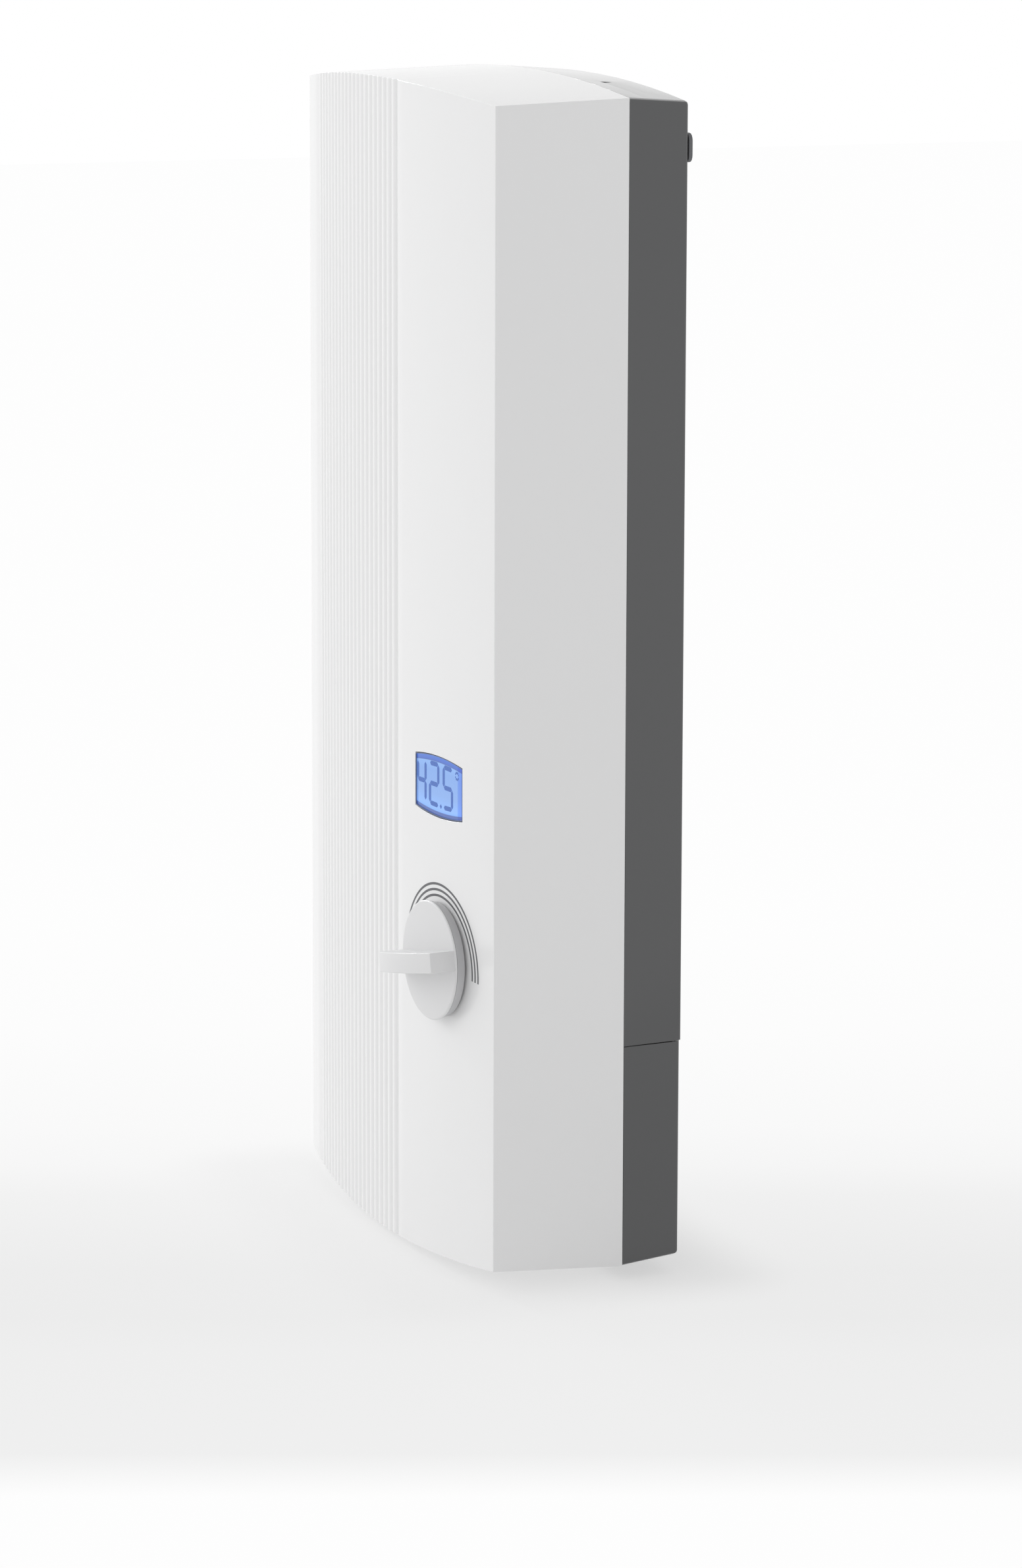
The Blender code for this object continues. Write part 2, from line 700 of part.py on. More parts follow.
def seam_trim(name, out):
    """A block that trims a shell's rim flat at the seam."""
    return block(f"{name}_seam_trim", (-WIDTH, WIDTH), out, (MIDDLE - HEIGHT, MIDDLE + HEIGHT))


def soften(obj):
    bevel = obj.modifiers.new("edges", "BEVEL")
    bevel.limit_method = "WEIGHT"
    bevel.width = EDGE_RADIUS
    bevel.segments = 2


def back_tray(name, rear_out, joint, side):
    """One half of the back: its rear wall as a grid, drawn forward to the seam on three sides."""
    arch = circle_radius(REAR_HALF_WIDTH, END_ARCH)
    bm = bmesh.new()
    bmesh.ops.create_grid(bm, x_segments=BACK_COLUMNS, y_segments=1, size=1)
    for vert in bm.verts:
        x = vert.co.x * REAR_HALF_WIDTH
        z = joint if vert.co.y < 0 else MIDDLE + side * (REAR_CROWN - fall(x, arch))
        vert.co = at(x, rear_out, z)
    weights = bm.edges.layers.float.new("bevel_weight_edge")
    on_joint = ROOT_DEPTH / 2
    border = [
        edge
        for edge in bm.edges
        if edge.is_boundary and max(abs(vert.co.z - joint) for vert in edge.verts) > on_joint
    ]
    for edge in border:
        edge[weights] = 1
    made = bmesh.ops.extrude_edge_only(bm, edges=border)["geom"]
    for vert in (item for item in made if isinstance(item, bmesh.types.BMVert)):
        away = abs(vert.co.z - joint) > on_joint
        at_corner = away and abs(vert.co.x) > REAR_HALF_WIDTH - ROOT_DEPTH
        vert.co.x *= past_seam(WIDTH / 2 / REAR_HALF_WIDTH, BACK_DEPTH)
        vert.co.y = -SEAM_OUT - ROOT_DEPTH
        if away:
            vert.co.z = MIDDLE + (vert.co.z - MIDDLE) * past_seam(HEIGHT / 2 / REAR_CROWN, BACK_DEPTH)
        if at_corner:
            for edge in vert.link_edges:
                if not edge.is_boundary:
                    edge[weights] = 1
    for edge in bm.edges:
        if edge.is_boundary:
            edge[weights] = 0
    bmesh.ops.recalc_face_normals(bm, faces=bm.faces)
    rear = [face for face in bm.faces if abs(face.normal.y) > math.sqrt(1 / 2)]
    if sum((face.normal.y for face in rear)) < 0:
        bmesh.ops.reverse_faces(bm, faces=bm.faces)
    obj = add_object(name, mesh_from(bm, name), "dark_grey", None)
    thicken(obj, CASING_WALL)
    soften(obj)
    return cut(obj, seam_trim(name, (SEAM_OUT, CORNER_OUT)))


def arched_outline(half_width, half_height, rise):
    """A rectangle whose top and bottom bow outwards."""
    across = [half_width * (2 * i / BAR_COLUMNS - 1) for i in range(BAR_COLUMNS + 1)]
    edge = [(x, half_height + rise * (1 - (x / half_width) ** 2)) for x in across]
    return [(x, -z) for x, z in edge] + edge[::-1]


def rounded_outline(half_width, half_height, corner):
    outline = []
    for quarter, (side_x, side_z) in enumerate(((1, 1), (-1, 1), (-1, -1), (1, -1))):
        for step in range(BEND_STEPS + 1):
            turn = math.radians(90) * (quarter + step / BEND_STEPS)
            outline.append(
                (
                    side_x * (half_width - corner) + corner * math.cos(turn),
                    side_z * (half_height - corner) + corner * math.sin(turn),
                )
            )
    return outline


def make_cover(hinge, controls):
    """The front cover with its two top tabs, four board posts, window, knob hole and screw hole."""
    cover = swing_with(cover_shell("cover"), hinge)
    arch = circle_radius(FRONT_HALF_WIDTH, END_ARCH)
    tab_top = TOP - fall((COVER_TAB_SPREAD + COVER_TAB_WIDTH) / 2, arch) - COVER_TAB_DROP
    tab_bottom = tab_top - COVER_TAB_THICKNESS
    for side, x in both_sides(COVER_TAB_SPREAD):
        across = (x - COVER_TAB_WIDTH / 2, x + COVER_TAB_WIDTH / 2)
        ahead = SEAM_OUT + COVER_TAB_AHEAD
        behind = SEAM_OUT - COVER_TAB_BEHIND
        tab = block(f"cover_tab_{side}", across, (behind, ahead), (tab_bottom, tab_top))
        inset = ROOT_DEPTH / 2
        root = block(
            f"cover_tab_root_{side}",
            (across[0] + inset, across[1] - inset),
            (SEAM_OUT + COVER_TAB_BEHIND, ahead - inset),
            (tab_bottom + inset, tab_top + COVER_TAB_ROOT),
        )
        join(cover, swing_with(tab, hinge), swing_with(root, hinge))
    for name, x, z in control_post_places():
        post = rod(
            f"control_post_{name}",
            BOARD_POST_RADIUS,
            at(x, -CASING_WALL / 2, z),
            at(x, CONTROL_BOARD_FRONT + FIT_GAP, z),
            parent=controls,
            sides=SMALL_SIDES,
        )
        join(cover, post)
    window = plate(
        "window_opening",
        [arched_outline(DISPLAY_WIDTH / 2, DISPLAY_HEIGHT / 2, DISPLAY_ARCH)],
        (-CASING_WALL - CUT_OVERRUN, CUT_OVERRUN),
        (DISPLAY_X, DISPLAY_ABOVE_KNOB),
        parent=controls,
    )
    knob_hole = rod(
        "knob_hole",
        KNOB_HUB_RADIUS + FIT_GAP + FIT_GAP,
        at(0, -CASING_WALL - CUT_OVERRUN, 0),
        at(0, CUT_OVERRUN, 0),
        parent=controls,
    )
    head_hole = rod(
        "cover_screw_counterbore",
        COVER_SCREW_HEAD_RADIUS + FIT_GAP,
        at(0, SCREW_OUT, SCREW_FACE - CUT_OVERRUN),
        at(0, SCREW_OUT, SCREW_FACE + COUNTERBORE_DEPTH),
    )
    shank_hole = rod(
        "cover_screw_hole",
        COVER_SCREW_RADIUS + FIT_GAP,
        at(0, SCREW_OUT, SCREW_FACE - CUT_OVERRUN),
        at(0, SCREW_OUT, SCREW_FACE + CASING_WALL + CUT_OVERRUN),
    )
    cut(cover, window, knob_hole, swing_with(head_hole, hinge), swing_with(shank_hole, hinge))


def control_post_places():
    half = CONTROL_BOARD_WIDTH / 2
    top = DISPLAY_ABOVE_KNOB + CONTROL_BOARD_ABOVE_DISPLAY
    for side, x in (("left", BOARD_POST_INSET - half), ("right", half - BOARD_POST_INSET)):
        yield f"{side}_low", x, BOARD_POST_INSET - CONTROL_BOARD_BELOW
        yield f"{side}_high", x, top - BOARD_POST_INSET


def make_cover_screw(hinge):
    """The captive screw under the cover, and the square nut that it turns in."""
    head_top = SCREW_FACE + COUNTERBORE_DEPTH - FIT_GAP
    tip = SQUARE_NUT_TOP + COVER_SCREW_TIP
    screw = turned(
        "cover_screw",
        [
            (0, 0),
            (COVER_SCREW_HEAD_RADIUS, 0),
            (COVER_SCREW_HEAD_RADIUS, COVER_SCREW_HEAD),
            (COVER_SCREW_RADIUS, COVER_SCREW_HEAD),
            (COVER_SCREW_RADIUS, tip - head_top + COVER_SCREW_HEAD),
            (0, tip - head_top + COVER_SCREW_HEAD),
        ],
        at(0, SCREW_OUT, head_top - COVER_SCREW_HEAD),
        Vector((0, 0, 1)),
        "zinc_steel",
        sides=SMALL_SIDES,
    )
    half = SQUARE_NUT_WIDTH / 2
    nut = block(
        "cover_screw_nut",
        (-half, half),
        (SCREW_OUT - half, SCREW_OUT + half),
        (SQUARE_NUT_BOTTOM, SQUARE_NUT_TOP),
        "zinc_steel",
    )
    bore = rod(
        "cover_screw_nut_bore",
        COVER_SCREW_RADIUS + FIT_GAP,
        at(0, SCREW_OUT, SQUARE_NUT_BOTTOM - CUT_OVERRUN),
        at(0, SCREW_OUT, SQUARE_NUT_TOP + CUT_OVERRUN),
    )
    swing_with(screw, hinge)
    cut(swing_with(nut, hinge), swing_with(bore, hinge))


def make_knob(controls):
    """The temperature knob: a disc, a straight grip bar across it, and a hub round the shaft."""
    face = KNOB_HEIGHT
    knob = turned(
        "temperature_knob",
        [
            (0, -KNOB_HUB_DEPTH),
            (KNOB_HUB_RADIUS, -KNOB_HUB_DEPTH),
            (KNOB_HUB_RADIUS, KNOB_LIFT),
            (KNOB_RADIUS, KNOB_LIFT),
            (KNOB_RADIUS, face - KNOB_ROUNDING),
            (KNOB_RADIUS - KNOB_ROUNDING, face),
            (0, face),
        ],
        at(0, 0, 0),
        Vector((0, -1, 0)),
        "white_satin",
        controls,
        sides=KNOB_SIDES,
    )
    reach = KNOB_RADIUS - KNOB_ROUNDING / 2
    across = [reach * (2 * i / BAR_COLUMNS - 1) for i in range(BAR_COLUMNS + 1)]
    top = face + KNOB_BAR_END
    crown = [(x, top + KNOB_BAR_CROWN * (1 - (x / reach) ** 2)) for x in across]
    half = KNOB_BAR_THICKNESS / 2
    bar = plate(
        "knob_bar",
        [[(-reach, face - ROOT_DEPTH), (reach, face - ROOT_DEPTH)] + crown[::-1]],
        (-half, half),
        (0, 0),
        parent=controls,
    )
    tilt = Matrix.Rotation(math.radians(-KNOB_BAR_TILT), 4, "Y")
    bar.matrix_basis = tilt @ Matrix.Rotation(math.radians(180), 4, "X")
    socket = rod(
        "knob_socket",
        SHAFT_RADIUS + FIT_GAP,
        at(0, -KNOB_HUB_DEPTH - CUT_OVERRUN, 0),
        at(0, KNOB_SOCKET, 0),
        parent=controls,
    )
    cut(join(knob, bar), socket)
    shaft_end = at(0, KNOB_SOCKET - FIT_GAP, 0)
    rod("knob_shaft", SHAFT_RADIUS, at(0, -SHAFT_DEPTH, 0), shaft_end, "zinc_steel", controls)


def make_controls(controls):
    """Display, control board and potentiometer, in the frame of the knob's axis."""
    centre = (DISPLAY_X, DISPLAY_ABOVE_KNOB)
    half_width = DISPLAY_WIDTH / 2 - FIT_GAP
    half_height = DISPLAY_HEIGHT / 2 - FIT_GAP
    outer = arched_outline(half_width, half_height, DISPLAY_ARCH)
    inner = arched_outline(half_width - DISPLAY_RIM, half_height - DISPLAY_RIM, DISPLAY_ARCH)
    inset = DISPLAY_RIM + FIT_GAP
    pane = arched_outline(half_width - inset, half_height - inset, DISPLAY_ARCH)
    plate("display_frame", [outer, inner], (FRAME_REAR, FRAME_FRONT), centre, "rim_grey", controls)
    between = (WINDOW_FRONT - WINDOW_THICKNESS, WINDOW_FRONT)
    plate("display_window", [pane], between, centre, "lit_glass", controls)
    half_width = DISPLAY_WIDTH / 2 + MODULE_BORDER
    half_height = DISPLAY_HEIGHT / 2 + DISPLAY_ARCH + MODULE_BORDER
    block(
        "display_module",
        (DISPLAY_X - half_width, DISPLAY_X + half_width),
        (MODULE_REAR, MODULE_FRONT),
        (DISPLAY_ABOVE_KNOB - half_height, DISPLAY_ABOVE_KNOB + half_height),
        "display_grey",
        controls,
    )
    half = CONTROL_BOARD_WIDTH / 2
    block(
        "control_board",
        (-half, half),
        (CONTROL_BOARD_FRONT - CONTROL_BOARD_THICKNESS, CONTROL_BOARD_FRONT),
        (-CONTROL_BOARD_BELOW, DISPLAY_ABOVE_KNOB + CONTROL_BOARD_ABOVE_DISPLAY),
        "board_green",
        controls,
    )
    half = POTENTIOMETER_WIDTH / 2
    body = block(
        "potentiometer",
        (-half, half),
        (MODULE_REAR, POTENTIOMETER_FRONT),
        (-half, half),
        "blue_plastic",
        controls,
    )
    bushing = rod(
        "potentiometer_bushing",
        BUSHING_RADIUS,
        at(0, POTENTIOMETER_FRONT - ROOT_DEPTH, 0),
        at(0, POTENTIOMETER_FRONT + BUSHING_HEIGHT, 0),
        parent=controls,
    )
    bore = rod(
        "potentiometer_bore",
        SHAFT_RADIUS + FIT_GAP,
        at(0, -SHAFT_DEPTH - FIT_GAP, 0),
        at(0, CUT_OVERRUN, 0),
        parent=controls,
    )
    cut(join(body, bushing), bore)


def make_wall_bracket():
    """The strip that is screwed to the wall, with two hooks that the back hangs on."""
    half_width = WIDTH / 2 - BRACKET_END_INSET
    bracket = plate(
        "wall_bracket",
        [rounded_outline(half_width, BRACKET_HEIGHT / 2, BRACKET_CORNER)],
        (0, BRACKET_THICKNESS),
        (0, 0),
        "dark_grey",
    )
    inner = PANEL_INSIDE + FIT_GAP
    for side, x in both_sides(HOOK_SPREAD):
        across = (x - HOOK_WIDTH / 2, x + HOOK_WIDTH / 2)
        outer = inner + HOOK_THICKNESS
        tongue = block(f"hook_tongue_{side}", across, (ROOT_DEPTH, outer), (0, HOOK_THICKNESS))
        lip = block(f"hook_lip_{side}", across, (inner, outer), (ROOT_DEPTH, HOOK_RISE))
        join(bracket, tongue, lip)
    for side, x in both_sides(BRACKET_HOLE_SPREAD):
        hole = rod(
            f"bracket_hole_{side}",
            BRACKET_HOLE_RADIUS,
            at(x, -CUT_OVERRUN, 0),
            at(x, BRACKET_THICKNESS + CUT_OVERRUN, 0),
            sides=SMALL_SIDES,
        )
        cut(bracket, hole)


def make_back_panel():
    """The upper back: feet for the heater block, posts for the power board, slots and holes."""
    panel = back_tray("back_panel", WALL_GAP, PANEL_JOINT + PANEL_JOINT_GAP / 2, 1)
    root = WALL_GAP + CASING_WALL / 2
    inset = BLOCK_FOOT_INSET
    for end, z in (("low", BLOCK_BOTTOM + inset), ("high", BLOCK_TOP - inset)):
        for side, x in (("left", BLOCK_LEFT + inset), ("right", BLOCK_RIGHT - inset)):
            foot = rod(
                f"block_foot_{side}_{end}",
                BLOCK_FOOT_RADIUS,
                at(x, root, z),
                at(x, BLOCK_REAR - FIT_GAP, z),
                sides=SMALL_SIDES,
            )
            join(panel, foot)
    inset = POWER_POST_INSET
    for end, z in (("low", BOARD_BOTTOM + inset), ("high", BOARD_TOP - inset)):
        for side, x in (("left", BOARD_LEFT + inset), ("right", BOARD_RIGHT - inset)):
            post = rod(
                f"power_post_{side}_{end}",
                POWER_POST_RADIUS,
                at(x, root, z),
                at(x, BOARD_REAR - FIT_GAP, z),
                sides=SMALL_SIDES,
            )
            join(panel, post)
    through = (WALL_GAP - CUT_OVERRUN / 2, PANEL_INSIDE + CUT_OVERRUN / 2)
    for side, x in both_sides(HOOK_SPREAD):
        half = HOOK_WIDTH / 2 + FIT_GAP
        slot_height = (HOOK_THICKNESS - HOOK_RISE, HOOK_THICKNESS + FIT_GAP)
        slot = block(f"hook_slot_{side}", (x - half, x + half), through, slot_height)
        cut(panel, slot)
    for side, x in both_sides(BRACKET_HOLE_SPREAD):
        start = at(x, through[0], 0)
        cut(panel, rod(f"driver_hole_{side}", DRIVER_HOLE_RADIUS, start, at(x, through[1], 0)))
    entry = rod(
        "cable_hole",
        GROMMET_NECK_RADIUS + FIT_GAP,
        at(GROMMET_X, through[0], GROMMET_Z),
        at(GROMMET_X, through[1], GROMMET_Z),
    )
    cut(panel, entry)


def make_lower_back_panel():
    """The lower back: pipe openings, cradles for the two fittings, and the cover screw's tongue."""
    panel = back_tray("lower_back_panel", LOWER_REAR, PANEL_JOINT - PANEL_JOINT_GAP / 2, -1)
    half = TONGUE_WIDTH / 2
    front = SCREW_OUT + SQUARE_NUT_WIDTH / 2 + ROOT_DEPTH
    rear = SEAM_OUT - TONGUE_ROOT
    tongue = block("cover_tongue", (-half, half), (rear, front), (TONGUE_BOTTOM, TONGUE_TOP))
    web = block(
        "cover_tongue_web",
        (-half, half),
        (rear, SEAM_OUT - CUT_OVERRUN),
        (BOTTOM + BACK_END_TAPER + FIT_GAP, TONGUE_BOTTOM + ROOT_DEPTH),
    )
    join(panel, tongue, web)
    for name, x, radius in (("cold", INLET_X, VALVE_RADIUS), ("hot", OUTLET_X, OUTLET_RADIUS)):
        across = (x - CRADLE_WIDTH / 2, x + CRADLE_WIDTH / 2)
        shelf_top = CONNECTION_Z - NUT_RADIUS - FIT_GAP - FIT_GAP
        shelf = (shelf_top - CRADLE_THICKNESS, shelf_top)
        opening = rod(
            f"{name}_opening",
            CONNECTION_HOLE_RADIUS,
            at(x, LOWER_REAR - CUT_OVERRUN / 2, CONNECTION_Z),
            at(x, LOWER_INSIDE + CUT_OVERRUN / 2, CONNECTION_Z),
            sides=OPENING_SIDES,
        )
        cut(panel, opening)
        cradle_front = LOWER_REAR + CRADLE_DEPTH
        root = LOWER_REAR + CASING_WALL / 2
        floor = block(f"{name}_cradle", across, (root, cradle_front), shelf)
        inset = ROOT_DEPTH / 2
        rest = block(
            f"{name}_cradle_rest",
            (across[0] + inset, across[1] - inset),
            (TAIL_FRONT + ROOT_DEPTH, cradle_front - inset),
            (shelf_top - ROOT_DEPTH, CONNECTION_Z - radius - FIT_GAP),
        )
        join(panel, floor, rest)
    slot_half = COVER_SCREW_RADIUS + FIT_GAP
    slot = block(
        "tongue_slot",
        (-slot_half, slot_half),
        (SCREW_OUT - slot_half, front + CUT_OVERRUN),
        (TONGUE_BOTTOM - CUT_OVERRUN, TONGUE_TOP + CUT_OVERRUN),
    )
    cut(panel, slot)
    for side, x in both_sides(PAD_SPREAD):
        z = BOTTOM + PAD_ABOVE_BOTTOM
        seat = at(x, LOWER_REAR - FIT_GAP, z)
        rod(f"spacer_pad_{side}", PAD_RADIUS, at(x, 0, z), seat, "rubber", sides=SMALL_SIDES)


def channel_cutters(name):
    """The water channels, their cross passages and the two ports, for one half of the block."""
    bottom = CHANNEL_BOTTOM + CHANNEL_RADIUS
    top = CHANNEL_TOP - CHANNEL_RADIUS
    for i, x in enumerate(CHANNEL_X):
        low = at(x, PARTING_OUT, CHANNEL_BOTTOM)
        yield rod(f"{name}_channel_{i}", CHANNEL_RADIUS, low, at(x, PARTING_OUT, CHANNEL_TOP))
        hole_top = at(x, PARTING_OUT, BLOCK_TOP + CUT_OVERRUN)
        hole_bottom = at(x, PARTING_OUT, CHANNEL_TOP - ROOT_DEPTH)
        bore = STUD_RADIUS + FIT_GAP
        yield rod(f"{name}_stud_hole_{i}", bore, hole_bottom, hole_top, sides=SMALL_SIDES)
    crossings = ((CHANNEL_X[0], CHANNEL_X[1], top), (CHANNEL_X[1], CHANNEL_X[2], bottom))
    for i, (left, right, z) in enumerate(crossings):
        start = at(left, PARTING_OUT, z)
        end = at(right, PARTING_OUT, z)
        yield rod(f"{name}_passage_{i}", PASSAGE_RADIUS, start, end, sides=SMALL_SIDES)
    bore = PIPE_RADIUS + FIT_GAP
    inside = at(CHANNEL_X[2], PARTING_OUT, COLD_PORT_Z)
    yield rod(f"{name}_cold_port", bore, inside, at(BLOCK_RIGHT + CUT_OVERRUN, PARTING_OUT, COLD_PORT_Z))
    under = BLOCK_BOTTOM - CUT_OVERRUN
    yield rod(
        f"{name}_hot_port",
        bore,
        at(CHANNEL_X[0], PARTING_OUT, under),
        at(CHANNEL_X[0], PARTING_OUT, CHANNEL_BOTTOM + ROOT_DEPTH),
    )


def block_screw_places():
    inset = BLOCK_SCREW_INSET
    for end, z in (("low", BLOCK_BOTTOM + inset), ("high", BLOCK_TOP - inset)):
        for side, x in (("left", BLOCK_LEFT + inset), ("right", BLOCK_RIGHT - inset)):
            yield f"{side}_{end}", x, z


def make_heater_block():
    """Two halves that meet at the channels' plane, and the four screws that hold them."""
    halves = (
        ("heater_block_rear", (BLOCK_REAR, PARTING_OUT - FIT_GAP / 2), "natural_nylon"),
        ("heater_block_front", (PARTING_OUT + FIT_GAP / 2, BLOCK_FRONT), "natural_nylon"),
    )
    bite = PARTING_OUT - BLOCK_SCREW_BITE
    for name, out, finish in halves:
        half = block(name, (BLOCK_LEFT, BLOCK_RIGHT), out, (BLOCK_BOTTOM, BLOCK_TOP), finish)
        cut(half, *channel_cutters(name))
        for place, x, z in block_screw_places():
            start = at(x, bite - FIT_GAP, z)
            end = at(x, BLOCK_FRONT + CUT_OVERRUN, z)
            bore = BLOCK_SCREW_RADIUS + FIT_GAP
            cut(half, rod(f"{name}_hole_{place}", bore, start, end, sides=SMALL_SIDES))
    head = BLOCK_FRONT + FIT_GAP
    for i, (place, x, z) in enumerate(block_screw_places()):
        turned(
            f"block_screw_{i + 1}",
            [
                (0, 0),
                (BLOCK_SCREW_RADIUS, 0),
                (BLOCK_SCREW_RADIUS, head - bite),
                (BLOCK_SCREW_HEAD_RADIUS, head - bite),
                (BLOCK_SCREW_HEAD_RADIUS, head - bite + BLOCK_SCREW_HEAD),
                (0, head - bite + BLOCK_SCREW_HEAD),
            ],
            at(x, bite, z),
            Vector((0, -1, 0)),
            "zinc_steel",
            sides=SMALL_SIDES,
        )


def make_heating():
    """A heating coil in each channel, hung from the terminal that comes through the roof."""
    for i, x in enumerate(CHANNEL_X):
        low = at(x, PARTING_OUT, CHANNEL_BOTTOM + FIT_GAP)
        high = at(x, PARTING_OUT, STUD_BOTTOM - FIT_GAP)
        rod(f"heating_coil_{i + 1}", COIL_RADIUS, low, high, "zinc_steel", sides=SMALL_SIDES)
        nut = BLOCK_TOP + FIT_GAP - STUD_BOTTOM
        turned(
            f"phase_terminal_{i + 1}",
            [
                (0, 0),
                (STUD_RADIUS, 0),
                (STUD_RADIUS, nut),
                (STUD_NUT_RADIUS, nut),
                (STUD_NUT_RADIUS, nut + STUD_NUT_HEIGHT),
                (STUD_RADIUS, nut + STUD_NUT_HEIGHT),
                (STUD_RADIUS, STUD_TOP - STUD_BOTTOM),
                (0, STUD_TOP - STUD_BOTTOM),
            ],
            at(x, PARTING_OUT, STUD_BOTTOM),
            Vector((0, 0, 1)),
            "brass",
            sides=SMALL_SIDES,
        )


def make_cutouts():
    """The pressure cut-out with its reset button, and the thermal cut-out, on the block's front."""
    x = CHANNEL_X[1]
    z = BLOCK_BOTTOM + PRESSURE_CUTOUT_ABOVE_BLOCK_BOTTOM
    base = BLOCK_FRONT + FIT_GAP
    collar = PRESSURE_CUTOUT_HEIGHT + COLLAR_HEIGHT
    bore = BUTTON_RADIUS + FIT_GAP
    turned(
        "pressure_cutout",
        [
            (0, 0),
            (PRESSURE_CUTOUT_RADIUS, 0),
            (PRESSURE_CUTOUT_RADIUS, PRESSURE_CUTOUT_HEIGHT),
            (COLLAR_RADIUS, PRESSURE_CUTOUT_HEIGHT),
            (COLLAR_RADIUS, collar),
            (bore, collar),
            (bore, collar - BUTTON_POCKET),
            (0, collar - BUTTON_POCKET),
        ],
        at(x, base, z),
        Vector((0, -1, 0)),
        "black_plastic",
    )
    inner = base + collar - BUTTON_POCKET + BUTTON_TRAVEL + FIT_GAP
    button_front = at(x, base + collar + BUTTON_PROUD, z)
    rod("reset_button", BUTTON_RADIUS, at(x, inner, z), button_front, "red_plastic")
    z = BLOCK_TOP - THERMAL_CUTOUT_BELOW_BLOCK_TOP
    rod(
        "thermal_cutout",
        THERMAL_CUTOUT_RADIUS,
        at(x, base, z),
        at(x, base + THERMAL_CUTOUT_HEIGHT, z),
        "black_plastic",
    )


def make_union(name, x):
    """The union nut and the flat gasket that seal one connection to the wall's pipe."""
    rear = LOWER_INSIDE + NUT_CLEARANCE
    front = rear + NUT_LENGTH
    nut = rod(
        f"{name}_union_nut",
        NUT_RADIUS,
        at(x, rear, CONNECTION_Z),
        at(x, front, CONNECTION_Z),
        "brass",
        sides=NUT_SIDES,
    )
    bore = rod(
        f"{name}_nut_bore",
        TAIL_RADIUS + NUT_BORE_GAP,
        at(x, rear - CUT_OVERRUN, CONNECTION_Z),
        at(x, front + CUT_OVERRUN, CONNECTION_Z),
    )
    cut(nut, bore)
    outer = TAIL_RADIUS - GASKET_SIDE_GAP
    turned(
        f"{name}_gasket",
        [
            (GASKET_BORE_RADIUS, 0),
            (outer, 0),
            (outer, GASKET_THICKNESS),
            (GASKET_BORE_RADIUS, GASKET_THICKNESS),
        ],
        at(x, TAIL_REAR - FIT_GAP - GASKET_THICKNESS, CONNECTION_Z),
        Vector((0, -1, 0)),
        "rubber",
        ring=True,
    )


def make_inlet():
    """The cold inlet: valve body, the ball and spindle that shut it, and the strainer."""
    x = INLET_X
    z = CONNECTION_Z
    front = TAIL_FRONT + VALVE_LENGTH
    chamber_front = PARTING_OUT + BALL_RADIUS + FIT_GAP + FIT_GAP
    body = rod("inlet_valve_body", VALVE_RADIUS, at(x, TAIL_FRONT, z), at(x, front, z), "brass")
    tail = rod("inlet_tail", TAIL_RADIUS, at(x, TAIL_REAR, z), at(x, TAIL_FRONT + ROOT_DEPTH, z))
    neck = rod("inlet_neck", NECK_RADIUS, at(x, PARTING_OUT, z), at(x, PARTING_OUT, NECK_TOP))
    chamber_rear = at(x, TAIL_REAR - CUT_OVERRUN, z)
    chamber = rod("inlet_chamber", CHAMBER_RADIUS, chamber_rear, at(x, chamber_front, z))
    riser = rod(
        "inlet_riser",
        WATERWAY_RADIUS,
        at(x, PARTING_OUT, z),
        at(x, PARTING_OUT, NECK_TOP + CUT_OVERRUN),
        sides=SMALL_SIDES,
    )
    centre = at(x, PARTING_OUT, z)
    stem_hole = rod("stem_hole", STEM_RADIUS + FIT_GAP, centre, at(x, front + CUT_OVERRUN, z))
    cut(join(body, tail, neck), chamber, riser, stem_hole)

    bm = bmesh.new()
    bmesh.ops.create_uvsphere(bm, u_segments=ROUND_SIDES, v_segments=SMALL_SIDES, radius=BALL_RADIUS)
    spindle = add_object("shutoff_spindle", mesh_from(bm, "shutoff_spindle"), "zinc_steel", None)
    spindle.location = at(x, PARTING_OUT, z)
    head = front + FIT_GAP
    head_front = head + SPINDLE_HEAD_HEIGHT
    stem = rod("spindle_stem", STEM_RADIUS, centre, at(x, head + ROOT_DEPTH, z), sides=SMALL_SIDES)
    cap = rod("spindle_cap", SPINDLE_HEAD_RADIUS, at(x, head, z), at(x, head_front, z))
    half = SPINDLE_SLOT / 2
    slot = block(
        "spindle_slot",
        (x - SPINDLE_HEAD_RADIUS - CUT_OVERRUN, x + SPINDLE_HEAD_RADIUS + CUT_OVERRUN),
        (head_front - SPINDLE_SLOT, head_front + CUT_OVERRUN),
        (z - half, z + half),
    )
    rear_port = rod(
        "ball_rear_port",
        BALL_PORT_RADIUS,
        at(x, PARTING_OUT - BALL_RADIUS - CUT_OVERRUN, z),
        at(x, PARTING_OUT, z),
        sides=SMALL_SIDES,
    )
    top_port = rod(
        "ball_top_port",
        BALL_PORT_RADIUS,
        at(x, PARTING_OUT, z),
        at(x, PARTING_OUT, z + BALL_RADIUS + CUT_OVERRUN),
        sides=SMALL_SIDES,
    )
    cut(join(spindle, stem, cap), slot, rear_port, top_port)

    outer = CHAMBER_RADIUS - FIT_GAP
    inner = outer - STRAINER_WALL
    turned(
        "inlet_strainer",
        [
            (0, STRAINER_LENGTH - STRAINER_WALL),
            (inner, STRAINER_LENGTH - STRAINER_WALL),
            (inner, 0),
            (outer, 0),
            (outer, STRAINER_LENGTH),
            (0, STRAINER_LENGTH),
        ],
        at(x, TAIL_REAR + STRAINER_SINK, z),
        Vector((0, -1, 0)),
        "zinc_steel",
    )


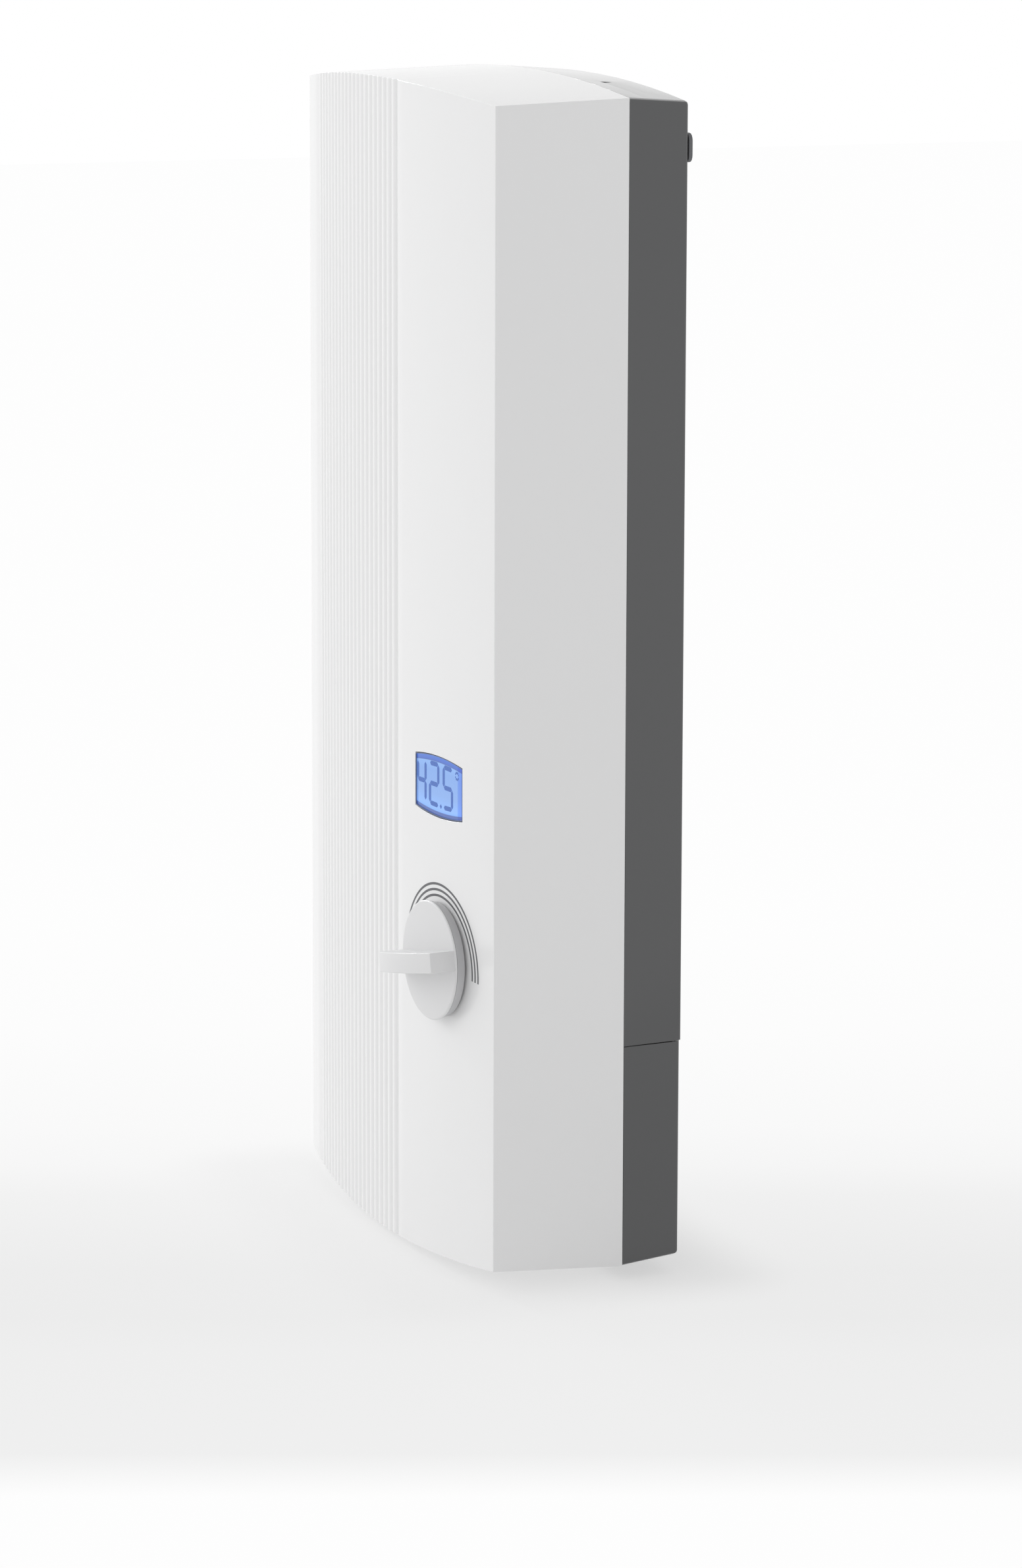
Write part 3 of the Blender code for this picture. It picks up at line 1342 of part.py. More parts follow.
def make_outlet():
    """The hot outlet fitting and the temperature sensor screwed into its front."""
    x = OUTLET_X
    z = CONNECTION_Z
    front = TAIL_FRONT + OUTLET_LENGTH
    body = rod("outlet_fitting", OUTLET_RADIUS, at(x, TAIL_FRONT, z), at(x, front, z), "brass")
    tail = rod("outlet_tail", TAIL_RADIUS, at(x, TAIL_REAR, z), at(x, TAIL_FRONT + ROOT_DEPTH, z))
    neck = rod("outlet_neck", OUTLET_NECK_RADIUS, at(x, PARTING_OUT, z), at(x, PARTING_OUT, NECK_TOP))
    bore_end = at(x, front - OUTLET_FRONT_WALL, z)
    bore = rod("outlet_bore", OUTLET_BORE_RADIUS, at(x, TAIL_REAR - CUT_OVERRUN, z), bore_end)
    riser = rod(
        "outlet_riser",
        PIPE_RADIUS + FIT_GAP,
        at(x, PARTING_OUT, z),
        at(x, PARTING_OUT, NECK_TOP + CUT_OVERRUN),
    )
    probe_hole = rod(
        "probe_hole",
        PROBE_RADIUS + FIT_GAP,
        at(x, front - OUTLET_FRONT_WALL - ROOT_DEPTH, z),
        at(x, front + CUT_OVERRUN, z),
        sides=SMALL_SIDES,
    )
    cut(join(body, tail, neck), bore, riser, probe_hole)
    shoulder = PROBE_DEPTH + FIT_GAP
    turned(
        "outlet_temperature_sensor",
        [
            (0, 0),
            (PROBE_RADIUS, 0),
            (PROBE_RADIUS, shoulder),
            (PROBE_HEAD_RADIUS, shoulder),
            (PROBE_HEAD_RADIUS, shoulder + PROBE_HEAD_LENGTH),
            (0, shoulder + PROBE_HEAD_LENGTH),
        ],
        at(x, front - PROBE_DEPTH, z),
        Vector((0, -1, 0)),
        "black_plastic",
        sides=SMALL_SIDES,
    )


def make_flow_sensor():
    """The flow sensor's body, the bearing in its foot, and the turbine rotor between them."""
    x = INLET_X
    up = Vector((0, 0, 1))
    roof = SENSOR_LENGTH - SENSOR_ROOF
    pipe_bore = PIPE_RADIUS + FIT_GAP
    body = turned(
        "flow_sensor_body",
        [
            (SENSOR_BORE_RADIUS, 0),
            (SENSOR_RADIUS, 0),
            (SENSOR_RADIUS, SENSOR_LENGTH),
            (pipe_bore, SENSOR_LENGTH),
            (pipe_bore, roof),
            (SENSOR_BORE_RADIUS, roof),
        ],
        at(x, PARTING_OUT, SENSOR_BOTTOM),
        up,
        "black_plastic",
        ring=True,
    )
    reach = SENSOR_BORE_RADIUS + ROOT_DEPTH
    half = BEARING_BAR / 2
    bar = block(
        "sensor_top_bar",
        (x - reach, x + reach),
        (PARTING_OUT - half, PARTING_OUT + half),
        (SENSOR_BAR_BOTTOM, SENSOR_BAR_BOTTOM + BEARING_BAR),
    )
    pin_hole = ROTOR_PIN_RADIUS + FIT_GAP
    pocket = ROTOR_PIN_LENGTH + FIT_GAP
    top_boss = rod(
        "sensor_top_boss",
        BEARING_BOSS_RADIUS,
        at(x, PARTING_OUT, SENSOR_BAR_BOTTOM),
        at(x, PARTING_OUT, SENSOR_BAR_BOTTOM + BEARING_BAR),
        sides=SMALL_SIDES,
    )
    top_pocket = rod(
        "sensor_top_pocket",
        pin_hole,
        at(x, PARTING_OUT, SENSOR_BAR_BOTTOM - CUT_OVERRUN),
        at(x, PARTING_OUT, SENSOR_BAR_BOTTOM + pocket),
        sides=SMALL_SIDES,
    )
    cut(join(body, bar, top_boss), top_pocket)

    ring_outer = SENSOR_BORE_RADIUS - FIT_GAP
    ring_inner = ring_outer - BEARING_RING_WALL
    bearing = turned(
        "rotor_bearing",
        [(ring_inner, 0), (ring_outer, 0), (ring_outer, BEARING_HEIGHT), (ring_inner, BEARING_HEIGHT)],
        at(x, PARTING_OUT, BEARING_BOTTOM),
        up,
        "natural_nylon",
        ring=True,
    )
    reach = ring_inner + BEARING_RING_WALL / 2
    spoke = block(
        "bearing_spoke",
        (x - reach, x + reach),
        (PARTING_OUT - half, PARTING_OUT + half),
        (BEARING_BOTTOM + ROOT_DEPTH / 2, BEARING_TOP - ROOT_DEPTH / 2),
    )
    boss = rod(
        "bearing_boss",
        BEARING_BOSS_RADIUS,
        at(x, PARTING_OUT, BEARING_BOTTOM),
        at(x, PARTING_OUT, BEARING_TOP),
        sides=SMALL_SIDES,
    )
    low_pocket = rod(
        "bearing_pocket",
        pin_hole,
        at(x, PARTING_OUT, BEARING_TOP - pocket),
        at(x, PARTING_OUT, BEARING_TOP + CUT_OVERRUN),
        sides=SMALL_SIDES,
    )
    cut(join(bearing, spoke, boss), low_pocket)

    low = BEARING_TOP + FIT_GAP
    high = SENSOR_BAR_BOTTOM - FIT_GAP
    rotor = rod(
        "turbine_rotor",
        ROTOR_HUB_RADIUS,
        at(x, PARTING_OUT, low),
        at(x, PARTING_OUT, high),
        "blue_plastic",
        sides=SMALL_SIDES,
    )
    pin = rod(
        "rotor_pin",
        ROTOR_PIN_RADIUS,
        at(x, PARTING_OUT, low - ROTOR_PIN_LENGTH),
        at(x, PARTING_OUT, high + ROTOR_PIN_LENGTH),
        sides=SMALL_SIDES,
    )
    join(rotor, pin)
    thin = ROTOR_VANE_THICKNESS / 2
    wide = ROTOR_VANE_RADIUS
    vane_z = (low + ROTOR_VANE_MARGIN, high - ROTOR_VANE_MARGIN)
    for name, half_x, half_out in (("across", wide, thin), ("outward", thin, wide)):
        across = (x - half_x, x + half_x)
        out = (PARTING_OUT - half_out, PARTING_OUT + half_out)
        vane = block(f"rotor_vane_{name}", across, out, vane_z)
        join(rotor, vane)


def make_pipes():
    """The cold pipe from the flow sensor to the block's side, and the hot pipe down to the outlet."""
    run = SENSOR_TOP + COLD_RUN_RISE
    riser_x = BLOCK_RIGHT + COLD_RISER_GAP
    cold = [
        at(INLET_X, PARTING_OUT, SENSOR_TOP - PIPE_SEAT),
        at(INLET_X, PARTING_OUT, run),
        at(riser_x, PARTING_OUT, run),
        at(riser_x, PARTING_OUT, COLD_PORT_Z),
        at(BLOCK_RIGHT - PIPE_SEAT, PARTING_OUT, COLD_PORT_Z),
    ]
    middle = (BLOCK_BOTTOM + NECK_TOP) / 2
    hot = [
        at(CHANNEL_X[0], PARTING_OUT, BLOCK_BOTTOM + PIPE_SEAT),
        at(CHANNEL_X[0], PARTING_OUT, middle),
        at(OUTLET_X, PARTING_OUT, middle),
        at(OUTLET_X, PARTING_OUT, NECK_TOP - PIPE_SEAT),
    ]
    tube("cold_pipe", bent_path(cold, PIPE_BEND), PIPE_RADIUS, "copper", PIPE_WALL)
    tube("hot_pipe", bent_path(hot, PIPE_BEND), PIPE_RADIUS, "copper", PIPE_WALL)


def make_power_board():
    """The power board on its posts, with the three switches and the safety relay on it."""
    block(
        "power_board",
        (BOARD_LEFT, BOARD_RIGHT),
        (BOARD_REAR, BOARD_FRONT),
        (BOARD_BOTTOM, BOARD_TOP),
        "board_green",
    )
    seat = BOARD_FRONT + FIT_GAP
    x = BOARD_LEFT + TRIAC_INSET
    for i in range(TRIAC_COUNT):
        top = BOARD_TOP - TRIAC_INSET - TRIAC_PITCH * i
        block(
            f"triac_{i + 1}",
            (x, x + TRIAC_WIDTH),
            (seat, seat + TRIAC_DEPTH),
            (top - TRIAC_HEIGHT, top),
            "black_plastic",
        )
    right = BOARD_RIGHT - RELAY_INSET
    bottom = BOARD_BOTTOM + RELAY_INSET
    block(
        "safety_relay",
        (right - RELAY_WIDTH, right),
        (seat, seat + RELAY_DEPTH),
        (bottom, bottom + RELAY_HEIGHT),
        "blue_plastic",
    )


def make_mains():
    """The mains terminal block with its clamp screws, the cable grommet and the phase leads."""
    body = block(
        "mains_terminal_block",
        (MAINS_LEFT, BOARD_RIGHT),
        (MAINS_REAR, MAINS_FRONT),
        (MAINS_BOTTOM, MAINS_TOP),
        "natural_nylon",
    )
    z = (MAINS_BOTTOM + MAINS_TOP) / 2
    for i in range(MAINS_SCREW_COUNT):
        x = MAINS_LEFT + MAINS_BLOCK_WIDTH * (2 * i + 1) / (2 * MAINS_SCREW_COUNT)
        floor = MAINS_FRONT - MAINS_SCREW_DEPTH
        hole = rod(
            f"clamp_hole_{i}",
            MAINS_SCREW_RADIUS + FIT_GAP,
            at(x, floor, z),
            at(x, MAINS_FRONT + CUT_OVERRUN, z),
            sides=SMALL_SIDES,
        )
        cut(body, hole)
        rod(
            f"terminal_screw_{i + 1}",
            MAINS_SCREW_RADIUS,
            at(x, floor + FIT_GAP, z),
            at(x, MAINS_FRONT + MAINS_SCREW_PROUD, z),
            "zinc_steel",
            sides=SMALL_SIDES,
        )
    rear = FIT_GAP
    turned(
        "cable_grommet",
        [
            (GROMMET_BORE_RADIUS, 0),
            (GROMMET_FLANGE_RADIUS, 0),
            (GROMMET_FLANGE_RADIUS, WALL_GAP - rear - FIT_GAP),
            (GROMMET_NECK_RADIUS, WALL_GAP - rear - FIT_GAP),
            (GROMMET_NECK_RADIUS, MAINS_REAR - rear),
            (GROMMET_FLANGE_RADIUS, MAINS_REAR - rear),
            (GROMMET_FLANGE_RADIUS, MAINS_REAR - rear + GROMMET_INNER_FLANGE),
            (GROMMET_BORE_RADIUS, MAINS_REAR - rear + GROMMET_INNER_FLANGE),
        ],
        at(GROMMET_X, rear, GROMMET_Z),
        Vector((0, -1, 0)),
        "rubber",
        ring=True,
    )
    out = (MAINS_REAR + MAINS_FRONT) / 2
    for i, x in enumerate(reversed(CHANNEL_X)):
        level = MAINS_BOTTOM + LEAD_PITCH * (i + 1)
        route = [
            at(MAINS_LEFT - FIT_GAP, out, level),
            at(MAINS_LEFT - LEAD_SWEEP, out, level),
            at(x + LEAD_SWEEP, PARTING_OUT, level),
            at(x, PARTING_OUT, level),
            at(x, PARTING_OUT, STUD_TOP + LEAD_RADIUS + LEAD_RADIUS),
            at(x, PARTING_OUT, STUD_TOP + FIT_GAP),
        ]
        tube(f"phase_lead_{i + 1}", smooth_path(route), LEAD_RADIUS, "brown_lead")


def build():
    start_scene()
    hinge = empty("cover_hinge", at(0, SEAM_OUT + SEAM_GAP / 2, TOP))
    radius = circle_radius(FRONT_HALF_WIDTH, FRONT_BULGE)
    turn = KNOB_ARC / radius
    face = at(radius * math.sin(turn), FRONT_OUT - radius * (1 - math.cos(turn)), KNOB_Z)
    controls = empty("control_frame", face - hinge.location, hinge)
    controls.rotation_euler = (0, 0, turn)
    make_cover(hinge, controls)
    make_cover_screw(hinge)
    make_knob(controls)
    make_controls(controls)
    make_wall_bracket()
    make_back_panel()
    make_lower_back_panel()
    make_heater_block()
    make_heating()
    make_cutouts()
    make_union("cold", INLET_X)
    make_union("hot", OUTLET_X)
    make_inlet()
    make_outlet()
    make_flow_sensor()
    make_pipes()
    make_power_board()
    make_mains()


build()
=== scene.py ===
import math

import bmesh
import bpy
from mathutils import Matrix, Vector


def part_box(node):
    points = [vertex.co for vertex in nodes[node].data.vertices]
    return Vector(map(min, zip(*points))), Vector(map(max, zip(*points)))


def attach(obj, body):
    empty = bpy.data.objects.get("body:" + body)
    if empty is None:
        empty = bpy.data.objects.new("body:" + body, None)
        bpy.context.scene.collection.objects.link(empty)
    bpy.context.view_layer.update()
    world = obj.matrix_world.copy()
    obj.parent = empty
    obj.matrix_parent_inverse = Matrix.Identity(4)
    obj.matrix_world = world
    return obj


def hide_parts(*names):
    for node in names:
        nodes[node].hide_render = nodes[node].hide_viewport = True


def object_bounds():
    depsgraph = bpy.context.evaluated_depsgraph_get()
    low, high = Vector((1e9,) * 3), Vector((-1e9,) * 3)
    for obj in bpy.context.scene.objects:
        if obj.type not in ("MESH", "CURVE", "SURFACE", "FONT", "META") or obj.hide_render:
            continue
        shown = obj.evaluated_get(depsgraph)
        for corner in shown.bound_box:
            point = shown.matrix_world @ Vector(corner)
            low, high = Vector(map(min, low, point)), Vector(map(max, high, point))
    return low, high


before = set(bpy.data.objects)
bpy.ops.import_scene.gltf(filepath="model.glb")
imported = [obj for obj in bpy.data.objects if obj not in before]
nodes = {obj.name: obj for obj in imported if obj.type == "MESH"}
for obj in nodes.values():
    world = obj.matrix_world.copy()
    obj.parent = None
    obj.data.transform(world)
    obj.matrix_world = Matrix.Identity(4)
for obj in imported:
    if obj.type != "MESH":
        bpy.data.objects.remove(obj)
cad_low, cad_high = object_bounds()


# The studio: the heater stands on its lower edge on a pale floor, a little right of its
# front, with soft light from the front, the left and above. None of it is part of the heater.
CAMERA_PLACE = Vector((2.13760, -0.84682, 0.14999))
CAMERA_AZIMUTH = 69.178
CAMERA_PITCH = -10.367
CAMERA_ROLL = 0.153
CAMERA_LENS = 129.02
FLOOR_SIZE = 12.0
FLOOR_GAP = 0.0002
# The floor's tone for camera and reflection rays is painted, as emission graded along the view: its grey band is
# a painted soft shadow about the heater's foot, and it is white further off. Near the heater more of the lit
# floor and its real shadow show through. Diffuse rays see part of the emission as well, a painted glow that
# lights the heater from below.
FLOOR_SPAN = (-0.60, 0.40)
PAINTED_FLOOR_TONES = (
    (0, 1), (0.25, 0.988), (0.44, 0.960), (0.51, 0.935), (0.56, 0.895), (0.68, 0.850), (0.75, 0.845),
    (0.80, 0.862), (0.93, 0.872), (0.98, 1),
)
SHADE_REACH = 0.050
SHADE_LEFT = (0.66, 0.94)
FLOOR_GLOW = 0.4
FLOOR_COLOUR = (0.94, 0.94, 0.94, 1)
SKY_LEVEL = 0.79
SKY_FALL = 0.38
SKY_LEAN = 0.05
KEY_DIRECTION = Vector((-0.40, -0.76, 0.50))
KEY_STRENGTH = 0.74
KEY_WIDTH = 55
TOP_STRENGTH = 0.06
TOP_WIDTH = 70
RIM_STRENGTH = 0.85
RIM_WIDTH = 24
EDGE_STRENGTH = 0.62
EDGE_WIDTH = 9


def set_inputs(node, inputs):
    """Gives a node's inputs their values, or links them to other nodes' outputs."""
    for name, value in inputs.items():
        if isinstance(value, bpy.types.NodeSocket):
            node.id_data.links.new(value, node.inputs[name])
        else:
            node.inputs[name].default_value = value
    return node


def add_node(tree, kind, inputs=(), **settings):
    """A node of a tree with its settings, and with its inputs set or linked."""
    node = tree.nodes.new(kind)
    for name, value in settings.items():
        setattr(node, name, value)
    return set_inputs(node, dict(inputs))


def value_node(tree, operation, *inputs):
    """A Math node of a node tree, whose inputs are numbers or other nodes' outputs."""
    return add_node(tree, "ShaderNodeMath", enumerate(inputs), operation=operation).outputs[0]


def clear_ray_mask(tree):
    """1 for rays that should meet plain white: camera, glossy and transmission rays."""
    path = tree.nodes.new("ShaderNodeLightPath").outputs
    either = value_node(tree, "MAXIMUM", path["Is Camera Ray"], path["Is Glossy Ray"])
    return value_node(tree, "MAXIMUM", either, path["Is Transmission Ray"])


def ramp_node(tree, factor, stops):
    """A colour ramp through (place, colour) stops."""
    node = add_node(tree, "ShaderNodeValToRGB", {"Fac": factor})
    elements = node.color_ramp.elements
    while len(elements) < len(stops):
        elements.new(0.5)
    for element, (place, colour) in zip(elements, stops):
        element.position = place
        element.color = (*colour, 1)
    return node.outputs["Color"]


def make_world():
    world = bpy.data.worlds.new("studio")
    bpy.context.scene.world = world
    world.use_nodes = True
    tree = world.node_tree
    heading = tree.nodes.new("ShaderNodeTexCoord").outputs["Generated"]
    parts = add_node(tree, "ShaderNodeSeparateXYZ", {0: heading}).outputs
    overhead = value_node(tree, "MULTIPLY_ADD", value_node(tree, "MAXIMUM", parts["Z"], 0), -SKY_FALL, 1)
    sideways = value_node(tree, "MULTIPLY_ADD", parts["X"], -SKY_LEAN, overhead)
    strength = value_node(tree, "MULTIPLY", sideways, SKY_LEVEL)
    light = set_inputs(tree.nodes["Background"], {"Color": (1, 1, 1, 1), "Strength": strength})
    white = add_node(tree, "ShaderNodeBackground", {"Color": (1, 1, 1, 1)})
    mixed = {0: clear_ray_mask(tree), 1: light.outputs[0], 2: white.outputs[0]}
    mix = add_node(tree, "ShaderNodeMixShader", mixed)
    set_inputs(tree.nodes["World Output"], {"Surface": mix.outputs[0]})


def make_floor_material():
    material = bpy.data.materials.new("studio_floor")
    material.use_nodes = True
    tree = material.node_tree
    tree.nodes.remove(tree.nodes["Principled BSDF"])
    paint = add_node(tree, "ShaderNodeBsdfDiffuse", {"Color": FLOOR_COLOUR})
    place = tree.nodes.new("ShaderNodeTexCoord").outputs["Object"]
    toward = Vector((CAMERA_PLACE.x, CAMERA_PLACE.y - (cad_low.y + cad_high.y) / 2, 0)).normalized()
    along = add_node(tree, "ShaderNodeVectorMath", {0: place, 1: toward}, operation="DOT_PRODUCT")
    span = {"Value": along.outputs["Value"], "From Min": FLOOR_SPAN[0], "From Max": FLOOR_SPAN[1]}
    span = add_node(tree, "ShaderNodeMapRange", span)
    tones = [(stop, (level, level, level)) for stop, level in PAINTED_FLOOR_TONES]
    tone = ramp_node(tree, span.outputs["Result"], tones)
    # Painted floor light: emission in the ramp's tones, whose grey is painted shadow.
    white = add_node(tree, "ShaderNodeEmission", {"Color": tone})
    parts = add_node(tree, "ShaderNodeSeparateXYZ", {0: place}).outputs
    half = (cad_high - cad_low) / 2
    square = 0
    for axis, reach in (("X", half.x), ("Y", half.y)):
        off = value_node(tree, "SUBTRACT", value_node(tree, "ABSOLUTE", parts[axis]), reach)
        off = value_node(tree, "MAXIMUM", off, 0)
        square = value_node(tree, "MULTIPLY_ADD", off, off, square)
    shade = {"Value": value_node(tree, "SQRT", square), "From Max": SHADE_REACH}
    shade["To Min"], shade["To Max"] = SHADE_LEFT
    away = add_node(tree, "ShaderNodeMapRange", shade, interpolation_type="SMOOTHSTEP")
    # Diffuse rays see FLOOR_GLOW of the emission: a painted glow from the floor.
    glow = value_node(tree, "MAXIMUM", clear_ray_mask(tree), FLOOR_GLOW)
    share = value_node(tree, "MULTIPLY", away.outputs["Result"], glow)
    mix = add_node(tree, "ShaderNodeMixShader", {0: share, 1: paint.outputs[0], 2: white.outputs[0]})
    set_inputs(tree.nodes["Material Output"], {"Surface": mix.outputs[0]})
    return material


def make_sun(name, direction, strength, width, shines=True):
    """A wide sun lamp from a direction. One that doesn't shine leaves no reflection."""
    sun = bpy.data.lights.new(name, "SUN")
    sun.energy = strength
    sun.angle = math.radians(width)
    lamp = bpy.data.objects.new(name, sun)
    lamp.visible_glossy = shines
    lamp.rotation_mode = "QUATERNION"
    lamp.rotation_quaternion = direction.to_track_quat("Z", "Y")
    bpy.context.scene.collection.objects.link(lamp)


def make_studio():
    scene = bpy.context.scene
    scene.view_settings.view_transform = "Standard"
    camera = bpy.data.objects.new("camera", bpy.data.cameras.new("camera"))
    camera.data.lens = CAMERA_LENS
    camera.data.sensor_width = 36
    turn = Matrix.Rotation(math.radians(CAMERA_AZIMUTH), 4, "Z")
    tilt = Matrix.Rotation(math.radians(90 + CAMERA_PITCH), 4, "X")
    roll = Matrix.Rotation(math.radians(CAMERA_ROLL), 4, "Z")
    camera.matrix_world = Matrix.Translation(CAMERA_PLACE) @ turn @ tilt @ roll
    scene.collection.objects.link(camera)
    scene.camera = camera
    bm = bmesh.new()
    bmesh.ops.create_grid(bm, x_segments=1, y_segments=1, size=FLOOR_SIZE / 2)
    mesh = bpy.data.meshes.new("floor")
    bm.to_mesh(mesh)
    bm.free()
    floor = bpy.data.objects.new("floor", mesh)
    floor.location = (0, (cad_low.y + cad_high.y) / 2, cad_low.z - FLOOR_GAP)
    mesh.materials.append(make_floor_material())
    scene.collection.objects.link(floor)
    make_world()
    make_sun("key_light", KEY_DIRECTION, KEY_STRENGTH, KEY_WIDTH)
    make_sun("top_light", Vector((0, 0, 1)), TOP_STRENGTH, TOP_WIDTH)
    make_sun("rim_light", Vector((-0.03, 1, 0.04)), RIM_STRENGTH, RIM_WIDTH, False)
    make_sun("edge_light", Vector((-0.92, -0.18, 0.34)), EDGE_STRENGTH, EDGE_WIDTH)


make_studio()


# The front cover: one gloss white ABS moulding, bowed across its width and arched at both
# ends, with upright flutes left of its middle. It hooks on at the top, and one screw holds
# its lower edge.
WALL = 0.0025
SIDE_ROUNDING = 0.0032
END_ROUNDING = 0.45
WINDOW_ROUNDING = 0.24
LIP_ROUNDING = 0.34
FLUTE_RUNOUT = 0.0015
FRONT_HALF_WIDTH = 0.11084
FRONT_BULGE = 0.00985
FRONT_CROWN = 0.23677
END_ARCH = 0.0059
COVER_REAR = 0.0283
FLUTE_PITCH = 0.005594
FLUTE_COUNT = 20
FLUTE_RIGHT = 0.0222
FLUTE_DEPTH = 0.0010
# Painted light on the flutes: the grooves are painted darker as shade, and the rib crowns lighter as a
# highlight.
PAINTED_GROOVE_SHADE = 0.080
GROOVE_SPREAD = 0.6
PAINTED_RIB_HIGHLIGHT = 0.8
FLUTE_FACETS = 8
WINDOW_ARC = 0.06435
WINDOW_WIDTH = 0.0427
WINDOW_HEIGHT = 0.02165
WINDOW_ARCH = 0.0017
WINDOW_Z = -0.255
KNOB_ARC = 0.0676
KNOB_Z = -0.3246
KNOB_HOLE = 0.0066
COVER_COLOUR = (0.85, 0.85, 0.852)

cover_low, cover_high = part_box("cover")
MIDDLE_Z = (cover_low.z + cover_high.z) / 2
HALF_HEIGHT = (cover_high.z - cover_low.z) / 2
HALF_WIDTH = (cover_high.x - cover_low.x) / 2
FRONT_OUT = -cover_low.y


def circle_radius(half_chord, rise):
    """Radius of the circle whose chord has this half length and this rise."""
    return (half_chord ** 2 + rise ** 2) / (2 * rise)


def fall(distance, radius):
    """How far a circle falls away from its crown at this distance from it."""
    return radius - math.sqrt(radius ** 2 - distance ** 2)


BOW_RADIUS = circle_radius(FRONT_HALF_WIDTH, FRONT_BULGE)
ARCH_RADIUS = circle_radius(FRONT_HALF_WIDTH, END_ARCH)
HALF_ARC = BOW_RADIUS * math.asin(FRONT_HALF_WIDTH / BOW_RADIUS)
FLUTE_LEFT = FLUTE_RIGHT - FLUTE_PITCH * FLUTE_COUNT


def on_front(arc, z, above=0):
    """The point of the bowed front at this arc length from its middle, and above it."""
    angle = arc / BOW_RADIUS
    reach = BOW_RADIUS + above
    return Vector((reach * math.sin(angle), BOW_RADIUS - FRONT_OUT - reach * math.cos(angle), z))


def join_meshes(name, parts):
    """One object from several meshes or bmeshes that lie where they belong."""
    bm = bmesh.new()
    for part in parts:
        mesh = part
        if isinstance(part, bmesh.types.BMesh):
            mesh = bpy.data.meshes.new(name)
            part.to_mesh(mesh)
            part.free()
        bm.from_mesh(mesh)
        bpy.data.meshes.remove(mesh)
    mesh = bpy.data.meshes.new(name)
    bm.to_mesh(mesh)
    bm.free()
    piece = bpy.data.objects.new(name, mesh)
    bpy.context.scene.collection.objects.link(piece)
    return piece


def freeze(piece):
    """Turns a piece's evaluated form into its plain mesh and takes its modifiers away."""
    bpy.context.view_layer.update()
    graph = bpy.context.evaluated_depsgraph_get()
    mesh = bpy.data.meshes.new_from_object(piece.evaluated_get(graph))
    old = piece.data
    piece.modifiers.clear()
    piece.data = mesh
    bpy.data.meshes.remove(old)
    return piece


def finish_piece(piece, material, body, slot=None, stands_for=(), smooth=35):
    """Shades a piece, gives it its material and ties it to its body."""
    piece.data.materials.clear()
    piece.data.materials.append(material)
    piece.data.shade_smooth()
    piece.data.set_sharp_from_angle(angle=math.radians(smooth))
    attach(piece, body)
    if stands_for:
        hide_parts(*stands_for)
    return piece


ROUGHNESS_SWING = 0.4


def moulded_skin_group():
    """Slow shade changes and a fine grain, in the object's own coordinates."""
    group = bpy.data.node_groups.new("moulded_skin", "ShaderNodeTree")
    inputs = (
        ("Colour", "Color"), ("Mottle", "Float"), ("Mottle Scale", "Float"), ("Roughness", "Float"),
        ("Grain Scale", "Float"), ("Grain Stretch", "Vector"), ("Grain", "Float"),
    )
    outputs = (("Colour", "Color"), ("Roughness", "Float"), ("Height", "Float"))
    for way, sockets in (("INPUT", inputs), ("OUTPUT", outputs)):
        for name, kind in sockets:
            group.interface.new_socket(name, in_out=way, socket_type=f"NodeSocket{kind}")
    given = group.nodes.new("NodeGroupInput").outputs
    place = group.nodes.new("ShaderNodeTexCoord").outputs["Object"]
    slow = {"Vector": place, "Scale": given["Mottle Scale"], "Detail": 3}
    slow = add_node(group, "ShaderNodeTexNoise", slow).outputs["Fac"]
    drawn = {0: place, 1: given["Grain Stretch"]}
    drawn = add_node(group, "ShaderNodeVectorMath", drawn, operation="MULTIPLY")
    fine = {"Vector": drawn.outputs[0], "Scale": given["Grain Scale"], "Detail": 2}
    fine = add_node(group, "ShaderNodeTexNoise", fine).outputs["Fac"]
    centred = value_node(group, "SUBTRACT", slow, 0.5)
    swing = value_node(group, "MULTIPLY_ADD", centred, given["Mottle"], 1)
    tint = add_node(group, "ShaderNodeVectorMath", {0: given["Colour"], "Scale": swing}, operation="SCALE")
    worn = value_node(group, "MULTIPLY_ADD", centred, ROUGHNESS_SWING, 1)
    add_node(group, "NodeGroupOutput", {
        "Colour": tint.outputs[0],
        "Roughness": value_node(group, "MULTIPLY", worn, given["Roughness"]),
        "Height": value_node(group, "MULTIPLY", fine, given["Grain"]),
    })
    return group


MOULDED_SKIN = moulded_skin_group()
MOTTLE_SCALE = 11
GRAIN_HEIGHT = 0.00002


def moulded(name, colour, roughness, mottle=0.03, grain=0.3, scale=900, stretch=(1, 1, 1), **sockets):
    """A moulded, drawn or plated surface. Further sockets of its shader are set by their names."""
    material = bpy.data.materials.new(name)
    material.use_nodes = True
    tree = material.node_tree
    skin = add_node(tree, "ShaderNodeGroup", node_tree=MOULDED_SKIN)
    set_inputs(skin, {
        "Colour": (*colour, 1), "Mottle": mottle, "Mottle Scale": MOTTLE_SCALE, "Roughness": roughness,
        "Grain Scale": scale, "Grain Stretch": stretch, "Grain": grain,
    })
    bump = add_node(tree, "ShaderNodeBump", {"Distance": GRAIN_HEIGHT, "Height": skin.outputs["Height"]})
    shader = set_inputs(tree.nodes["Principled BSDF"], {
        "Base Color": skin.outputs["Colour"],
        "Roughness": skin.outputs["Roughness"],
        "Normal": bump.outputs["Normal"],
    })
    set_inputs(shader, {socket.replace("_", " "): value for socket, value in sockets.items()})
    return material


def spaced(start, end, count):
    """Places from start up to, but not at, end."""
    return [start + (end - start) * i / count for i in range(count)]


